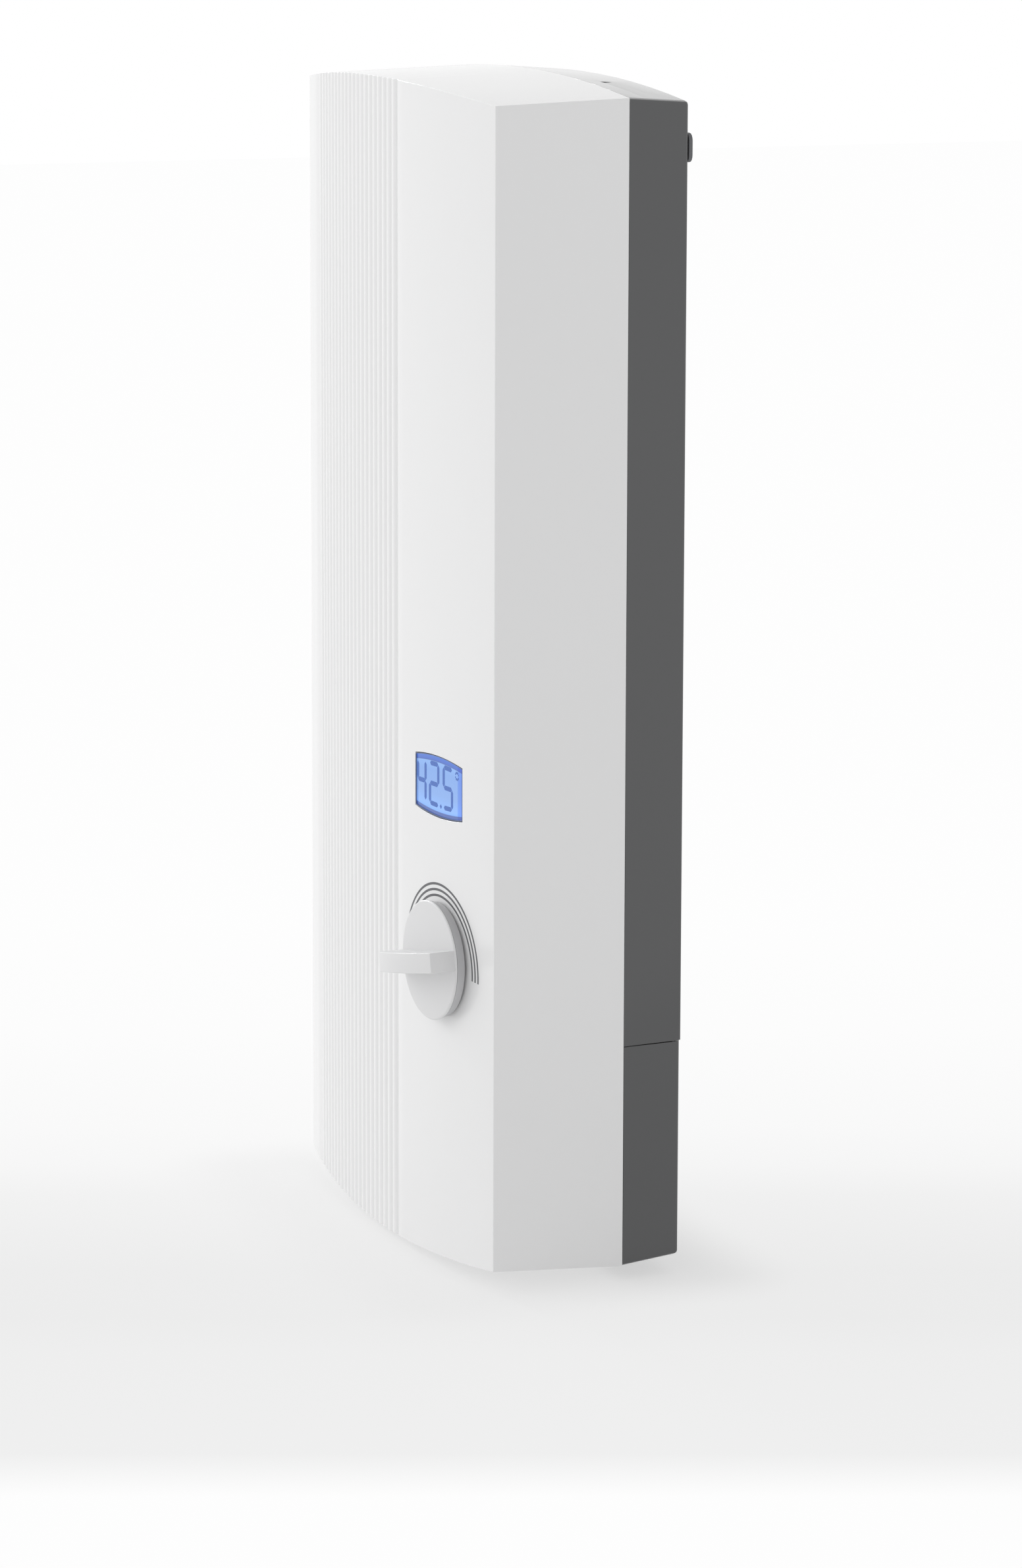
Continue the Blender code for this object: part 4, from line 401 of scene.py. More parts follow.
def cover_cage():
    """The cover's outer skin: a grid over the front with its openings, drawn back to the seam."""
    hole = KNOB_HOLE * math.sqrt(math.pi) / 2
    window = (WINDOW_ARC - WINDOW_WIDTH / 2, WINDOW_ARC + WINDOW_WIDTH / 2)
    columns = spaced(-HALF_ARC, FLUTE_LEFT, 5)
    columns += spaced(FLUTE_LEFT, FLUTE_RIGHT, FLUTE_COUNT * FLUTE_FACETS)
    columns += spaced(FLUTE_RIGHT, window[0], 5)
    columns += spaced(window[0], KNOB_ARC - hole, 5)
    columns += spaced(KNOB_ARC - hole, KNOB_ARC + hole, 4)
    columns += spaced(KNOB_ARC + hole, window[1], 4)
    columns += spaced(window[1], HALF_ARC, 7) + [HALF_ARC]
    low, high = MIDDLE_Z - FRONT_CROWN, MIDDLE_Z + FRONT_CROWN
    rows = spaced(low, KNOB_Z - hole, 4) + spaced(KNOB_Z - hole, KNOB_Z + hole, 4)
    rows += spaced(KNOB_Z + hole, WINDOW_Z - WINDOW_HEIGHT / 2, 2)
    rows += [WINDOW_Z - WINDOW_HEIGHT / 2]
    rows += spaced(WINDOW_Z + WINDOW_HEIGHT / 2, high, 8) + [high]
    bm = bmesh.new()
    bmesh.ops.create_grid(bm, x_segments=len(columns) - 1, y_segments=len(rows) - 1, size=1)
    in_hole = []
    for vert in bm.verts:
        arc = columns[round((vert.co.x + 1) / 2 * (len(columns) - 1))]
        row = round((vert.co.y + 1) / 2 * (len(rows) - 1))
        z = rows[row]
        place = on_front(arc, z)
        across = (arc - WINDOW_ARC) / (WINDOW_WIDTH / 2)
        if row in (0, len(rows) - 1):
            z -= math.copysign(fall(place.x, ARCH_RADIUS), z - MIDDLE_Z)
        elif abs(abs(z - WINDOW_Z) - WINDOW_HEIGHT / 2) < WALL / 2 and abs(across) < 1:
            z += math.copysign(WINDOW_ARCH * (1 - across ** 2), z - WINDOW_Z)
        off = Vector((arc - KNOB_ARC, z - KNOB_Z))
        if max(abs(off.x), abs(off.y)) < hole * 1.01:
            in_hole.append(vert)
            if off.length > hole / 2:
                off *= KNOB_HOLE / off.length
                arc = KNOB_ARC + off.x
                z = KNOB_Z + off.y
        vert.co = on_front(arc, z)
    gone = [face for face in bm.faces if all(vert in in_hole for vert in face.verts)]
    for face in bm.faces:
        middle = face.calc_center_median()
        arc = BOW_RADIUS * math.asin(middle.x / BOW_RADIUS)
        if window[0] < arc < window[1] and abs(middle.z - WINDOW_Z) < WINDOW_HEIGHT / 2 - WALL:
            gone.append(face)
    rim = {edge for face in gone for edge in face.edges}
    bmesh.ops.delete(bm, geom=gone, context="FACES")
    weights = bm.edges.layers.float.new("bevel_weight_edge")
    border = []
    for edge in bm.edges:
        if edge.is_boundary and edge not in rim:
            run = edge.verts[0].co - edge.verts[1].co
            edge[weights] = 1 if abs(run.z) > abs(run.x) else END_ROUNDING
            border.append(edge)
        elif edge.is_boundary and (edge.verts[0].co.z + edge.verts[1].co.z) / 2 > KNOB_Z + KNOB_HOLE * 2:
            edge[weights] = WINDOW_ROUNDING
    made = bmesh.ops.extrude_edge_only(bm, edges=border)["geom"]
    corner_x = FRONT_HALF_WIDTH * 0.999
    corner_z = FRONT_CROWN - END_ARCH * 1.01
    for vert in (item for item in made if isinstance(item, bmesh.types.BMVert)):
        off_z = vert.co.z - MIDDLE_Z
        at_corner = abs(vert.co.x) > corner_x and abs(off_z) > corner_z
        vert.co = (
            vert.co.x * HALF_WIDTH / FRONT_HALF_WIDTH,
            -COVER_REAR,
            MIDDLE_Z + off_z * HALF_HEIGHT / FRONT_CROWN,
        )
        for edge in vert.link_edges:
            if edge.is_boundary:
                edge[weights] = LIP_ROUNDING
            elif at_corner and len(edge.link_faces) == 2 and abs(edge.verts[0].co.y - edge.verts[1].co.y) > WALL:
                edge[weights] = END_ROUNDING
    bmesh.ops.recalc_face_normals(bm, faces=bm.faces)
    if sum(face.normal.y * face.calc_area() for face in bm.faces) > 0:
        bmesh.ops.reverse_faces(bm, faces=bm.faces)
    return bm


def geometry_tree(name, *inputs):
    """A Geometry Nodes tree and its inputs: numbers by their names, others as (name, kind)."""
    tree = bpy.data.node_groups.new(name, "GeometryNodeTree")
    kinds = [(item, "Float") if isinstance(item, str) else item for item in inputs]
    for title, kind in (("Geometry", "Geometry"), *kinds, ("Material", "Material")):
        tree.interface.new_socket(title, in_out="INPUT", socket_type=f"NodeSocket{kind}")
    tree.interface.new_socket("Geometry", in_out="OUTPUT", socket_type="NodeSocketGeometry")
    return tree, tree.nodes.new("NodeGroupInput").outputs


def realized(tree, instances):
    return add_node(tree, "GeometryNodeRealizeInstances", {"Geometry": instances}).outputs["Geometry"]


def end_tree(tree, size, geometry):
    """Ends a tree in Realize Instances and Set Material."""
    painted = {"Geometry": realized(tree, geometry), "Material": size["Material"]}
    painted = add_node(tree, "GeometryNodeSetMaterial", painted)
    add_node(tree, "NodeGroupOutput", {"Geometry": painted.outputs["Geometry"]})
    return tree


def grow(piece, tree, **values):
    """Adds a tree to a piece as a modifier, with the values of its named inputs."""
    modifier = piece.modifiers.new(tree.name, "NODES")
    modifier.node_group = tree
    for item in tree.interface.items_tree:
        key = item.name.lower().replace(" ", "_")
        if item.in_out == "INPUT" and key in values:
            modifier[item.identifier] = values[key]
    return modifier


def flute_tree():
    """Sinks grooves between round ribs into a bowed front, and lets them run out over its edge."""
    tree, size = geometry_tree(
        "flutes", "Bow Radius", "Front Out", "First Groove", "Pitch", "Count", "Depth", "Runout", "Lift"
    )
    place = tree.nodes.new("GeometryNodeInputPosition").outputs[0]
    parts = add_node(tree, "ShaderNodeSeparateXYZ", {0: place}).outputs
    turn = value_node(tree, "ARCSINE", value_node(tree, "DIVIDE", parts["X"], size["Bow Radius"]))
    arc = value_node(tree, "MULTIPLY", turn, size["Bow Radius"])
    from_first = value_node(tree, "SUBTRACT", arc, size["First Groove"])
    pitches = value_node(tree, "DIVIDE", from_first, size["Pitch"])
    last = value_node(tree, "SUBTRACT", size["Count"], pitches)
    reached = value_node(tree, "MINIMUM", pitches, last)
    inside = value_node(tree, "GREATER_THAN", reached, -0.01)
    phase = value_node(tree, "MULTIPLY", pitches, math.pi)
    wave = value_node(tree, "ABSOLUTE", value_node(tree, "SINE", phase))
    groove = value_node(tree, "MULTIPLY", value_node(tree, "SUBTRACT", 1, wave), size["Depth"])
    crown = value_node(tree, "SUBTRACT", size["Front Out"], size["Bow Radius"])
    bow = value_node(tree, "MULTIPLY_ADD", value_node(tree, "COSINE", turn), size["Bow Radius"], crown)
    sunk = value_node(tree, "ADD", parts["Y"], bow)
    left = value_node(tree, "SUBTRACT", 1, value_node(tree, "DIVIDE", sunk, size["Runout"]))
    share = value_node(tree, "MAXIMUM", value_node(tree, "MINIMUM", left, 1), 0)
    depth = value_node(tree, "MULTIPLY", value_node(tree, "MULTIPLY", groove, share), inside)
    # The kept groove tone is painted light: shade deep in the grooves, less a painted highlight on the rib
    # crowns.
    painted_shade_share = value_node(tree, "POWER", value_node(tree, "DIVIDE", depth, size["Depth"]), GROOVE_SPREAD)
    painted_highlight_share = value_node(tree, "MULTIPLY", value_node(tree, "MULTIPLY", share, inside), size["Lift"])
    tone = value_node(tree, "SUBTRACT", painted_shade_share, painted_highlight_share)
    kept = {"Geometry": size["Geometry"], "Name": "groove", "Value": tone}
    kept = add_node(tree, "GeometryNodeStoreNamedAttribute", kept)
    offset = add_node(tree, "ShaderNodeCombineXYZ", {"Y": depth})
    moved = {"Geometry": kept.outputs["Geometry"], "Offset": offset.outputs[0]}
    moved = add_node(tree, "GeometryNodeSetPosition", moved)
    return end_tree(tree, size, moved.outputs["Geometry"])


def paint_groove_shade_and_rib_highlight(material):
    """Paints shade into a material's colour in the grooves and a highlight on the ribs, from the groove tone
    that the flutes keep.
    """
    tree = material.node_tree
    base = tree.nodes["Principled BSDF"].inputs["Base Color"]
    plain = base.links[0].from_socket
    groove = add_node(tree, "ShaderNodeAttribute", attribute_name="groove").outputs["Fac"]
    left = value_node(tree, "MULTIPLY_ADD", groove, -PAINTED_GROOVE_SHADE, 1)
    shade = add_node(tree, "ShaderNodeVectorMath", {0: plain, "Scale": left}, operation="SCALE")
    tree.links.new(shade.outputs[0], base)


def add_modifier(piece, name, kind, **settings):
    modifier = piece.modifiers.new(name, kind)
    for setting, value in settings.items():
        setattr(modifier, setting, value)


def make_cover():
    white = moulded(
        "cover_white", COVER_COLOUR, 0.34, mottle=0.012, grain=0.05, Coat_Weight=0.7, Coat_Roughness=0.10
    )
    # Paints the groove shade and the rib highlight into the cover's colour.
    paint_groove_shade_and_rib_highlight(white)
    cover = join_meshes("front_cover", [cover_cage()])
    add_modifier(cover, "wall", "SOLIDIFY", thickness=WALL, offset=-1, use_even_offset=True)
    add_modifier(cover, "edges", "BEVEL", limit_method="WEIGHT", width=SIDE_ROUNDING, segments=4)
    grow(
        cover, flute_tree(), material=white, bow_radius=BOW_RADIUS, front_out=FRONT_OUT,
        first_groove=FLUTE_LEFT, pitch=FLUTE_PITCH, count=float(FLUTE_COUNT), depth=FLUTE_DEPTH,
        runout=FLUTE_RUNOUT, lift=PAINTED_RIB_HIGHLIGHT,
    )
    cover.data.shade_smooth()
    add_modifier(cover, "level", "WEIGHTED_NORMAL")
    return finish_piece(freeze(cover), white, "cover", "cover_white", ["cover"])


front_cover = make_cover()


# Inside the cover: four posts that carry the control board, two hooks on deep roots that hang
# the cover on the back's top wall, and low ribs that stiffen the front. All one moulding with it.
POST_RADIUS = 0.003
POST_TOP_RADIUS = 0.0026
POST_SPREAD = 0.0225
POST_HEIGHTS = (-0.0155, 0.0895)
POST_ROOT = 0.0015
BOARD_FACE = 0.0140
HOOK_SPREAD = 0.060
HOOK_WIDTH = 0.012
HOOK_THICKNESS = 0.0042
HOOK_TOP = 0.02074
HOOK_OUT = (0.0220, 0.0460)
HOOK_ROOT = 0.0344
HOOK_RISE = 0.002
STIFFENER_LEVELS = (-0.045, -0.105, -0.165, -0.395)
STIFFENER_HALF_WIDTH = 0.100
STIFFENER_HEIGHT = 0.0022
STIFFENER_WIDTH = 0.0012

CONTROL_FRAME = Matrix.Translation(on_front(KNOB_ARC, KNOB_Z))
CONTROL_FRAME @= Matrix.Rotation(KNOB_ARC / BOW_RADIUS, 4, "Z")
OUTWARD = Vector((0, -1, 0))
UPWARD = Vector((0, 0, 1))


def at(x, out, z):
    """The point at this x and z, this far out of the wall."""
    return Vector((x, -out, z))


def soften(bm, width, segments=2, angle=30):
    """Rounds every edge of a bmesh that is sharper than the angle."""
    limit = math.radians(angle)
    sharp = [edge for edge in bm.edges if len(edge.link_faces) == 2 and edge.calc_face_angle(0) > limit]
    bmesh.ops.bevel(
        bm, geom=sharp, offset=width, segments=segments, affect="EDGES", profile=0.5, clamp_overlap=True
    )
    return bm


def slab(low, high, width=0.0004, segments=2):
    """A block between two corners, with rounded edges."""
    bm = bmesh.new()
    bmesh.ops.create_cube(bm, size=1)
    size = Vector([abs(a - b) for a, b in zip(low, high)])
    bmesh.ops.scale(bm, vec=size, verts=bm.verts)
    bmesh.ops.translate(bm, vec=(low + high) / 2, verts=bm.verts)
    return soften(bm, width, segments) if width else bm


def placed(bm, matrix):
    bmesh.ops.transform(bm, matrix=matrix, verts=bm.verts)
    return bm


def facing(base, direction):
    """The matrix that stands a Z axis at a base, along a direction."""
    return Matrix.Translation(base) @ direction.to_track_quat("Z", "Y").to_matrix().to_4x4()


def turned(profile, base, direction, sides=40, width=0.0003, warp=None, closed=False):
    """A shape turned about an axis. The profile's points are (radius, distance along the axis)
    from the base; a closed profile is a ring. Warp changes a point's radius and distance by angle."""
    bm = bmesh.new()
    rings = []
    for radius, height in profile:
        if radius == 0:
            rings.append([bm.verts.new((0, 0, height))])
            continue
        ring = []
        for i in range(sides):
            angle = math.tau * i / sides
            reach, along = warp(radius, height, angle) if warp else (radius, height)
            ring.append(bm.verts.new((reach * math.cos(angle), reach * math.sin(angle), along)))
        rings.append(ring)
    pairs = list(zip(rings, rings[1:]))
    if closed:
        pairs.append((rings[-1], rings[0]))
    for low, high in pairs:
        for i in range(sides if len(low) + len(high) > 2 else 0):
            j = (i + 1) % sides
            if len(low) == 1:
                bm.faces.new((low[0], high[i], high[j]))
            elif len(high) == 1:
                bm.faces.new((low[i], low[j], high[0]))
            else:
                bm.faces.new((low[i], low[j], high[j], high[i]))
    bmesh.ops.recalc_face_normals(bm, faces=bm.faces)
    if width:
        soften(bm, width)
    return placed(bm, facing(base, direction))


def wrap_on_bow(tree, geometry, bow_radius, front_out):
    """Lays flat geometry on the bowed front: X is the arc from its middle, Y is up, Z is above it."""
    place = tree.nodes.new("GeometryNodeInputPosition").outputs[0]
    parts = add_node(tree, "ShaderNodeSeparateXYZ", {0: place}).outputs
    turn = value_node(tree, "DIVIDE", parts["X"], bow_radius)
    reach = value_node(tree, "ADD", parts["Z"], bow_radius)
    centre = value_node(tree, "SUBTRACT", bow_radius, front_out)
    back = value_node(tree, "MULTIPLY", reach, value_node(tree, "COSINE", turn))
    bent = add_node(tree, "ShaderNodeCombineXYZ", {
        "X": value_node(tree, "MULTIPLY", reach, value_node(tree, "SINE", turn)),
        "Y": value_node(tree, "SUBTRACT", centre, back),
        "Z": parts["Y"],
    })
    moved = {"Geometry": geometry, "Position": bent.outputs[0]}
    return add_node(tree, "GeometryNodeSetPosition", moved).outputs["Geometry"]


def flat_profile(tree, width, height):
    """A rectangle to sweep along a curve."""
    sides = {"Width": width, "Height": height}
    return add_node(tree, "GeometryNodeCurvePrimitiveQuadrilateral", sides).outputs["Curve"]


def sweep(tree, curve, profile, **scale):
    """A profile swept along a curve, closed at its ends, and scaled where a Scale is given."""
    swept = {"Curve": curve, "Profile Curve": profile, "Fill Caps": True, **scale}
    return add_node(tree, "GeometryNodeCurveToMesh", swept).outputs["Mesh"]


def resampled(tree, curve):
    """A curve in even steps, fine enough to bend or to taper."""
    return add_node(tree, "GeometryNodeResampleCurve", {"Curve": curve, "Count": 24}).outputs["Curve"]


def on_points(tree, points, instance, **turns):
    """Instances of a part on points, with their Scale or Rotation where it is given."""
    spread = {"Points": points, "Instance": instance, **turns}
    return add_node(tree, "GeometryNodeInstanceOnPoints", spread).outputs["Instances"]


def stiffener_tree():
    """Low ribs across the inside of a bowed wall, one on each point of the input."""
    tree, size = geometry_tree(
        "stiffeners", "Bow Radius", "Front Out", "Half Width", "Rib Width", "Rib Height", "Wall"
    )
    ends = {}
    for socket, sign in (("Start", -1), ("End", 1)):
        reach = value_node(tree, "MULTIPLY", size["Half Width"], sign)
        ends[socket] = add_node(tree, "ShaderNodeCombineXYZ", {"X": reach}).outputs[0]
    line = add_node(tree, "GeometryNodeCurvePrimitiveLine", ends).outputs["Curve"]
    rib = sweep(tree, resampled(tree, line), flat_profile(tree, size["Rib Width"], size["Rib Height"]))
    ribs = realized(tree, on_points(tree, size["Geometry"], rib))
    inside = value_node(tree, "SUBTRACT", size["Front Out"], size["Wall"])
    radius = value_node(tree, "SUBTRACT", size["Bow Radius"], size["Wall"])
    return end_tree(tree, size, wrap_on_bow(tree, ribs, radius, inside))


def points_piece(name, places, edges=()):
    """An object whose mesh is points, with edges between them where a tree needs lines."""
    mesh = bpy.data.meshes.new(name)
    mesh.from_pydata([tuple(place) for place in places], edges, [])
    piece = bpy.data.objects.new(name, mesh)
    bpy.context.scene.collection.objects.link(piece)
    return piece


def finish_parts(name, parts, *finish):
    """Joins parts into one piece and finishes it."""
    return finish_piece(join_meshes(name, parts), *finish)


def make_cover_inside(white):
    parts = []
    post = [(0, -BOARD_FACE), (POST_TOP_RADIUS, -BOARD_FACE), (POST_RADIUS, -POST_ROOT), (0, -POST_ROOT)]
    for x in (-POST_SPREAD, POST_SPREAD):
        for z in POST_HEIGHTS:
            parts.append(placed(turned(post, at(x, 0, z), OUTWARD, 24), CONTROL_FRAME))
    inset = STIFFENER_WIDTH / 2
    bottom = HOOK_TOP - HOOK_THICKNESS
    for x in (-HOOK_SPREAD, HOOK_SPREAD):
        left, right = x - HOOK_WIDTH / 2, x + HOOK_WIDTH / 2
        parts.append(slab(at(left, HOOK_OUT[0], bottom), at(right, HOOK_OUT[1], HOOK_TOP), 0.0006, 3))
        low = at(left + inset, HOOK_ROOT, bottom + inset)
        parts.append(slab(low, at(right - inset, HOOK_OUT[1] - inset, HOOK_TOP + HOOK_RISE), 0.0003))
    finish_parts("cover_fixings", parts, white, "cover", "cover_white", ["cover"])
    level = -STIFFENER_HEIGHT / 2 + STIFFENER_WIDTH / 4
    ribs = points_piece("cover_stiffeners", [(0, z, level) for z in STIFFENER_LEVELS])
    grow(
        ribs, stiffener_tree(), material=white, bow_radius=BOW_RADIUS, front_out=FRONT_OUT, wall=WALL,
        half_width=STIFFENER_HALF_WIDTH, rib_width=STIFFENER_WIDTH, rib_height=STIFFENER_HEIGHT,
    )
    finish_piece(freeze(ribs), white, "cover", "cover_white", ["cover"])


make_cover_inside(front_cover.data.materials[0])


# Three thin grey arcs printed round the knob. They are pad-printed ink on the front's gloss
# face, so they follow its bow and stand hardly proud of it.
ARC_OUTER = 0.03277
ARC_PITCH = 0.00233
ARC_LINES = 3
ARC_LINE_WIDTH = 0.00098
ARC_INK = 0.00003
ARC_LIFT = 0.000025
ARC_CENTRE = (0.06625, -0.32722, ARC_LIFT)
ARC_START = -3
ARC_SWEEP = 186
ARC_STEPS = 96
INK_COLOUR = (0.125, 0.128, 0.135)


def points_at(tree, count, place=(0, 0, 0)):
    """As many points as wanted, all at one place."""
    line = {"Count": count, "Start Location": place, "Offset": (0, 0, 0)}
    return add_node(tree, "GeometryNodeMeshLine", line).outputs["Mesh"]


def printed_arc_tree():
    """Concentric printed arcs, laid on a bowed front."""
    tree, size = geometry_tree(
        "printed_arcs", "Bow Radius", "Front Out", "Outer Radius", "Pitch", "Line Width", "Ink", "Start",
        "Sweep", ("Lines", "Int"), ("Steps", "Int"), ("Centre", "Vector"),
    )
    arc = {"Radius": 1, "Resolution": size["Steps"]}
    arc["Start Angle"], arc["Sweep Angle"] = size["Start"], size["Sweep"]
    arc = add_node(tree, "GeometryNodeCurveArc", arc).outputs["Curve"]
    index = tree.nodes.new("GeometryNodeInputIndex").outputs[0]
    steps_in = value_node(tree, "MULTIPLY", index, size["Pitch"])
    radius = value_node(tree, "SUBTRACT", size["Outer Radius"], steps_in)
    arcs = on_points(tree, points_at(tree, size["Lines"], size["Centre"]), arc, Scale=radius)
    flat = sweep(tree, realized(tree, arcs), flat_profile(tree, size["Line Width"], size["Ink"]))
    return end_tree(tree, size, wrap_on_bow(tree, flat, size["Bow Radius"], size["Front Out"]))


def make_printed_arcs():
    ink = moulded("printed_grey", INK_COLOUR, 0.5, mottle=0.08, grain=0.4, scale=2600)
    arcs = points_piece("printed_arcs", [])
    grow(
        arcs, printed_arc_tree(), material=ink, bow_radius=BOW_RADIUS, front_out=FRONT_OUT,
        outer_radius=ARC_OUTER, pitch=ARC_PITCH, line_width=ARC_LINE_WIDTH, ink=ARC_INK,
        start=math.radians(ARC_START), sweep=math.radians(ARC_SWEEP), lines=ARC_LINES, steps=ARC_STEPS,
        centre=ARC_CENTRE,
    )
    finish_piece(freeze(arcs), ink, "cover")


make_printed_arcs()


# The display: a lit panel, whose glossy face also stands for the clear pane over it, in a thin blue-grey frame
# that fills the window.
# Its digits are seven-segment ones, and a narrow darker band runs along its arched edges.
DISPLAY_X = -0.00325
DISPLAY_Z = 0.0696
FRAME_FRONT = 0.0004
FRAME_REAR = 0.0032
FRAME_GAP = 0.00025
FRAME_BAR = 0.00036
PANE_FRONT = 0.0008
PANE_REAR = 0.0021
DISPLAY_COLUMNS = 28
DIGIT_TOP = 0.845
DIGIT_BOTTOM = 0.185
STROKE = 0.0019
STROKE_RISE = 0.00004
STROKE_GAP = 0.00014
DIGITS = (("4", 0.045, 0.205), ("2", 0.300, 0.475), ("5", 0.590, 0.765))
POINT_U = 0.53
DEGREE = (0.838, 0.900, 0.735, 0.845)
DEGREE_WEIGHT = 0.5
SEGMENTS = {
    "top": ((0, 1), (1, 1)),
    "middle": ((0, 0.5), (1, 0.5)),
    "bottom": ((0, 0), (1, 0)),
    "high_left": ((0, 0.5), (0, 1)),
    "high_right": ((1, 0.5), (1, 1)),
    "low_left": ((0, 0), (0, 0.5)),
    "low_right": ((1, 0), (1, 0.5)),
}
LIT = {
    "4": ("high_left", "high_right", "middle", "low_right"),
    "2": ("top", "high_right", "middle", "low_left", "bottom"),
    "5": ("top", "high_left", "middle", "low_right", "bottom"),
    "degree": ("top", "high_left", "high_right", "low_left", "low_right", "bottom"),
}
RIM_COLOUR = (0.085, 0.120, 0.230)
DIGIT_COLOUR = (0.040, 0.145, 0.540)
BANDS_UP = (
    (0, (0.050, 0.100, 0.350)),
    (0.060, (0.050, 0.100, 0.350)),
    (0.075, (0.190, 0.400, 0.900)),
    (0.12, (0.230, 0.430, 0.870)),
    (0.35, (0.210, 0.370, 0.730)),
    (0.75, (0.190, 0.350, 0.720)),
    (0.900, (0.215, 0.400, 0.780)),
    (0.912, (0.035, 0.090, 0.340)),
    (0.928, (0.040, 0.115, 0.500)),
    (1, (0.060, 0.165, 0.600)),
)
# Across the panel: dimmer at its left edge, plain over the middle, and a bright blue strip near the right edge,
# which is a painted highlight of light refracted at the clear plastic's edge.
BANDS_ACROSS_PAINTED_EDGE_LIGHT = (
    (0, (0.62, 0.66, 0.78)),
    (0.030, (0.70, 0.74, 0.84)),
    (0.055, (1, 1, 1)),
    (0.885, (1, 1, 1)),
    (0.905, (0.52, 0.66, 0.98)),
    (0.985, (0.46, 0.58, 0.95)),
    (1, (0.20, 0.28, 0.60)),
)


def display_edge(across):
    """Half the window's height at a share of its half width."""
    return WINDOW_HEIGHT / 2 + WINDOW_ARCH * (1 - across ** 2)


def on_display(u, v, margin=0.0):
    """The flat place of a point of the window, given as shares of its width and height."""
    across = 2 * u - 1
    half = WINDOW_WIDTH / 2 - margin
    return Vector((across * half, (2 * v - 1) * (display_edge(across) - margin), 0))


DISPLAY_FRAME = CONTROL_FRAME @ Matrix.Translation(at(DISPLAY_X, 0, DISPLAY_Z))
DISPLAY_FRAME @= Matrix.Rotation(math.radians(90), 4, "X")


def set_in_window(bm):
    """Rounds the edges of a slab that lies flat and sets it in the window."""
    bmesh.ops.recalc_face_normals(bm, faces=bm.faces)
    soften(bm, 0.00012, 2, 40)
    return placed(bm, DISPLAY_FRAME)


def frame_ring(margin, front, rear, bar):
    """A frame with the window's arched outline, whose bar is that wide."""
    columns = DISPLAY_COLUMNS
    outline = [(i / columns, 0) for i in range(columns)] + [(1, i / 4) for i in range(4)]
    outline += [(1 - i / columns, 1) for i in range(columns)] + [(0, 1 - i / 4) for i in range(4)]
    bm = bmesh.new()
    spots = {}
    for level, depth in enumerate((front, rear)):
        for k, (u, v) in enumerate(outline):
            for inner in (0, 1):
                flat = on_display(u, v, margin + bar * inner)
                spots[k, inner, level] = bm.verts.new((flat.x, flat.y, -depth))
    corners = ((0, 0), (1, 0), (1, 1), (0, 1))
    for k in range(len(outline)):
        n = (k + 1) % len(outline)
        for i in (0, 2, 3, 1):
            one, other = corners[i], corners[(i + 1) % 4]
            bm.faces.new((spots[(k, *one)], spots[(n, *one)], spots[(n, *other)], spots[(k, *other)]))
    return set_in_window(bm)


def pane_slab(margin, front, rear):
    """A pane with the window's arched outline, with its place in the window as its UV map."""
    columns = DISPLAY_COLUMNS
    rows = [i / 12 for i in range(13)]
    bm = bmesh.new()
    layer = bm.loops.layers.uv.new("UVMap")
    spots = {}
    for i in range(columns + 1):
        for v in rows:
            flat = on_display(i / columns, v, margin)
            spots[i, v] = bm.verts.new((flat.x, flat.y, -front))
    for i in range(columns):
        for low, high in zip(rows, rows[1:]):
            corners = ((i, low), (i + 1, low), (i + 1, high), (i, high))
            face = bm.faces.new([spots[corner] for corner in corners])
            for loop, (u, v) in zip(face.loops, corners):
                loop[layer].uv = (u / columns, v)
    border = [edge for edge in bm.edges if edge.is_boundary]
    made = bmesh.ops.extrude_edge_only(bm, edges=border)["geom"]
    for vert in (item for item in made if isinstance(item, bmesh.types.BMVert)):
        vert.co.z = -rear
    bmesh.ops.holes_fill(bm, edges=[edge for edge in bm.edges if edge.is_boundary], sides=0)
    return set_in_window(bm)


def make_lit_pane_material():
    """A back-lit panel under clear plastic: bands along its top, foot and sides, from its UV map. The bright
    strip near its right side is a painted highlight of light through the plastic's edge.
    """
    material = bpy.data.materials.new("lit_pane")
    material.use_nodes = True
    tree = material.node_tree
    place = add_node(tree, "ShaderNodeUVMap", uv_map="UVMap").outputs[0]
    parts = add_node(tree, "ShaderNodeSeparateXYZ", {0: place}).outputs
    up, across = ramp_node(tree, parts["Y"], BANDS_UP), ramp_node(tree, parts["X"], BANDS_ACROSS_PAINTED_EDGE_LIGHT)
    both = {"Factor": 1, "A": up, "B": across}
    both = add_node(tree, "ShaderNodeMix", both, data_type="RGBA", blend_type="MULTIPLY")
    set_inputs(tree.nodes["Principled BSDF"], {
        "Base Color": (0.02, 0.035, 0.07, 1), "Roughness": 0.12,
        "Emission Color": both.outputs["Result"], "Emission Strength": 1,
    })
    return material


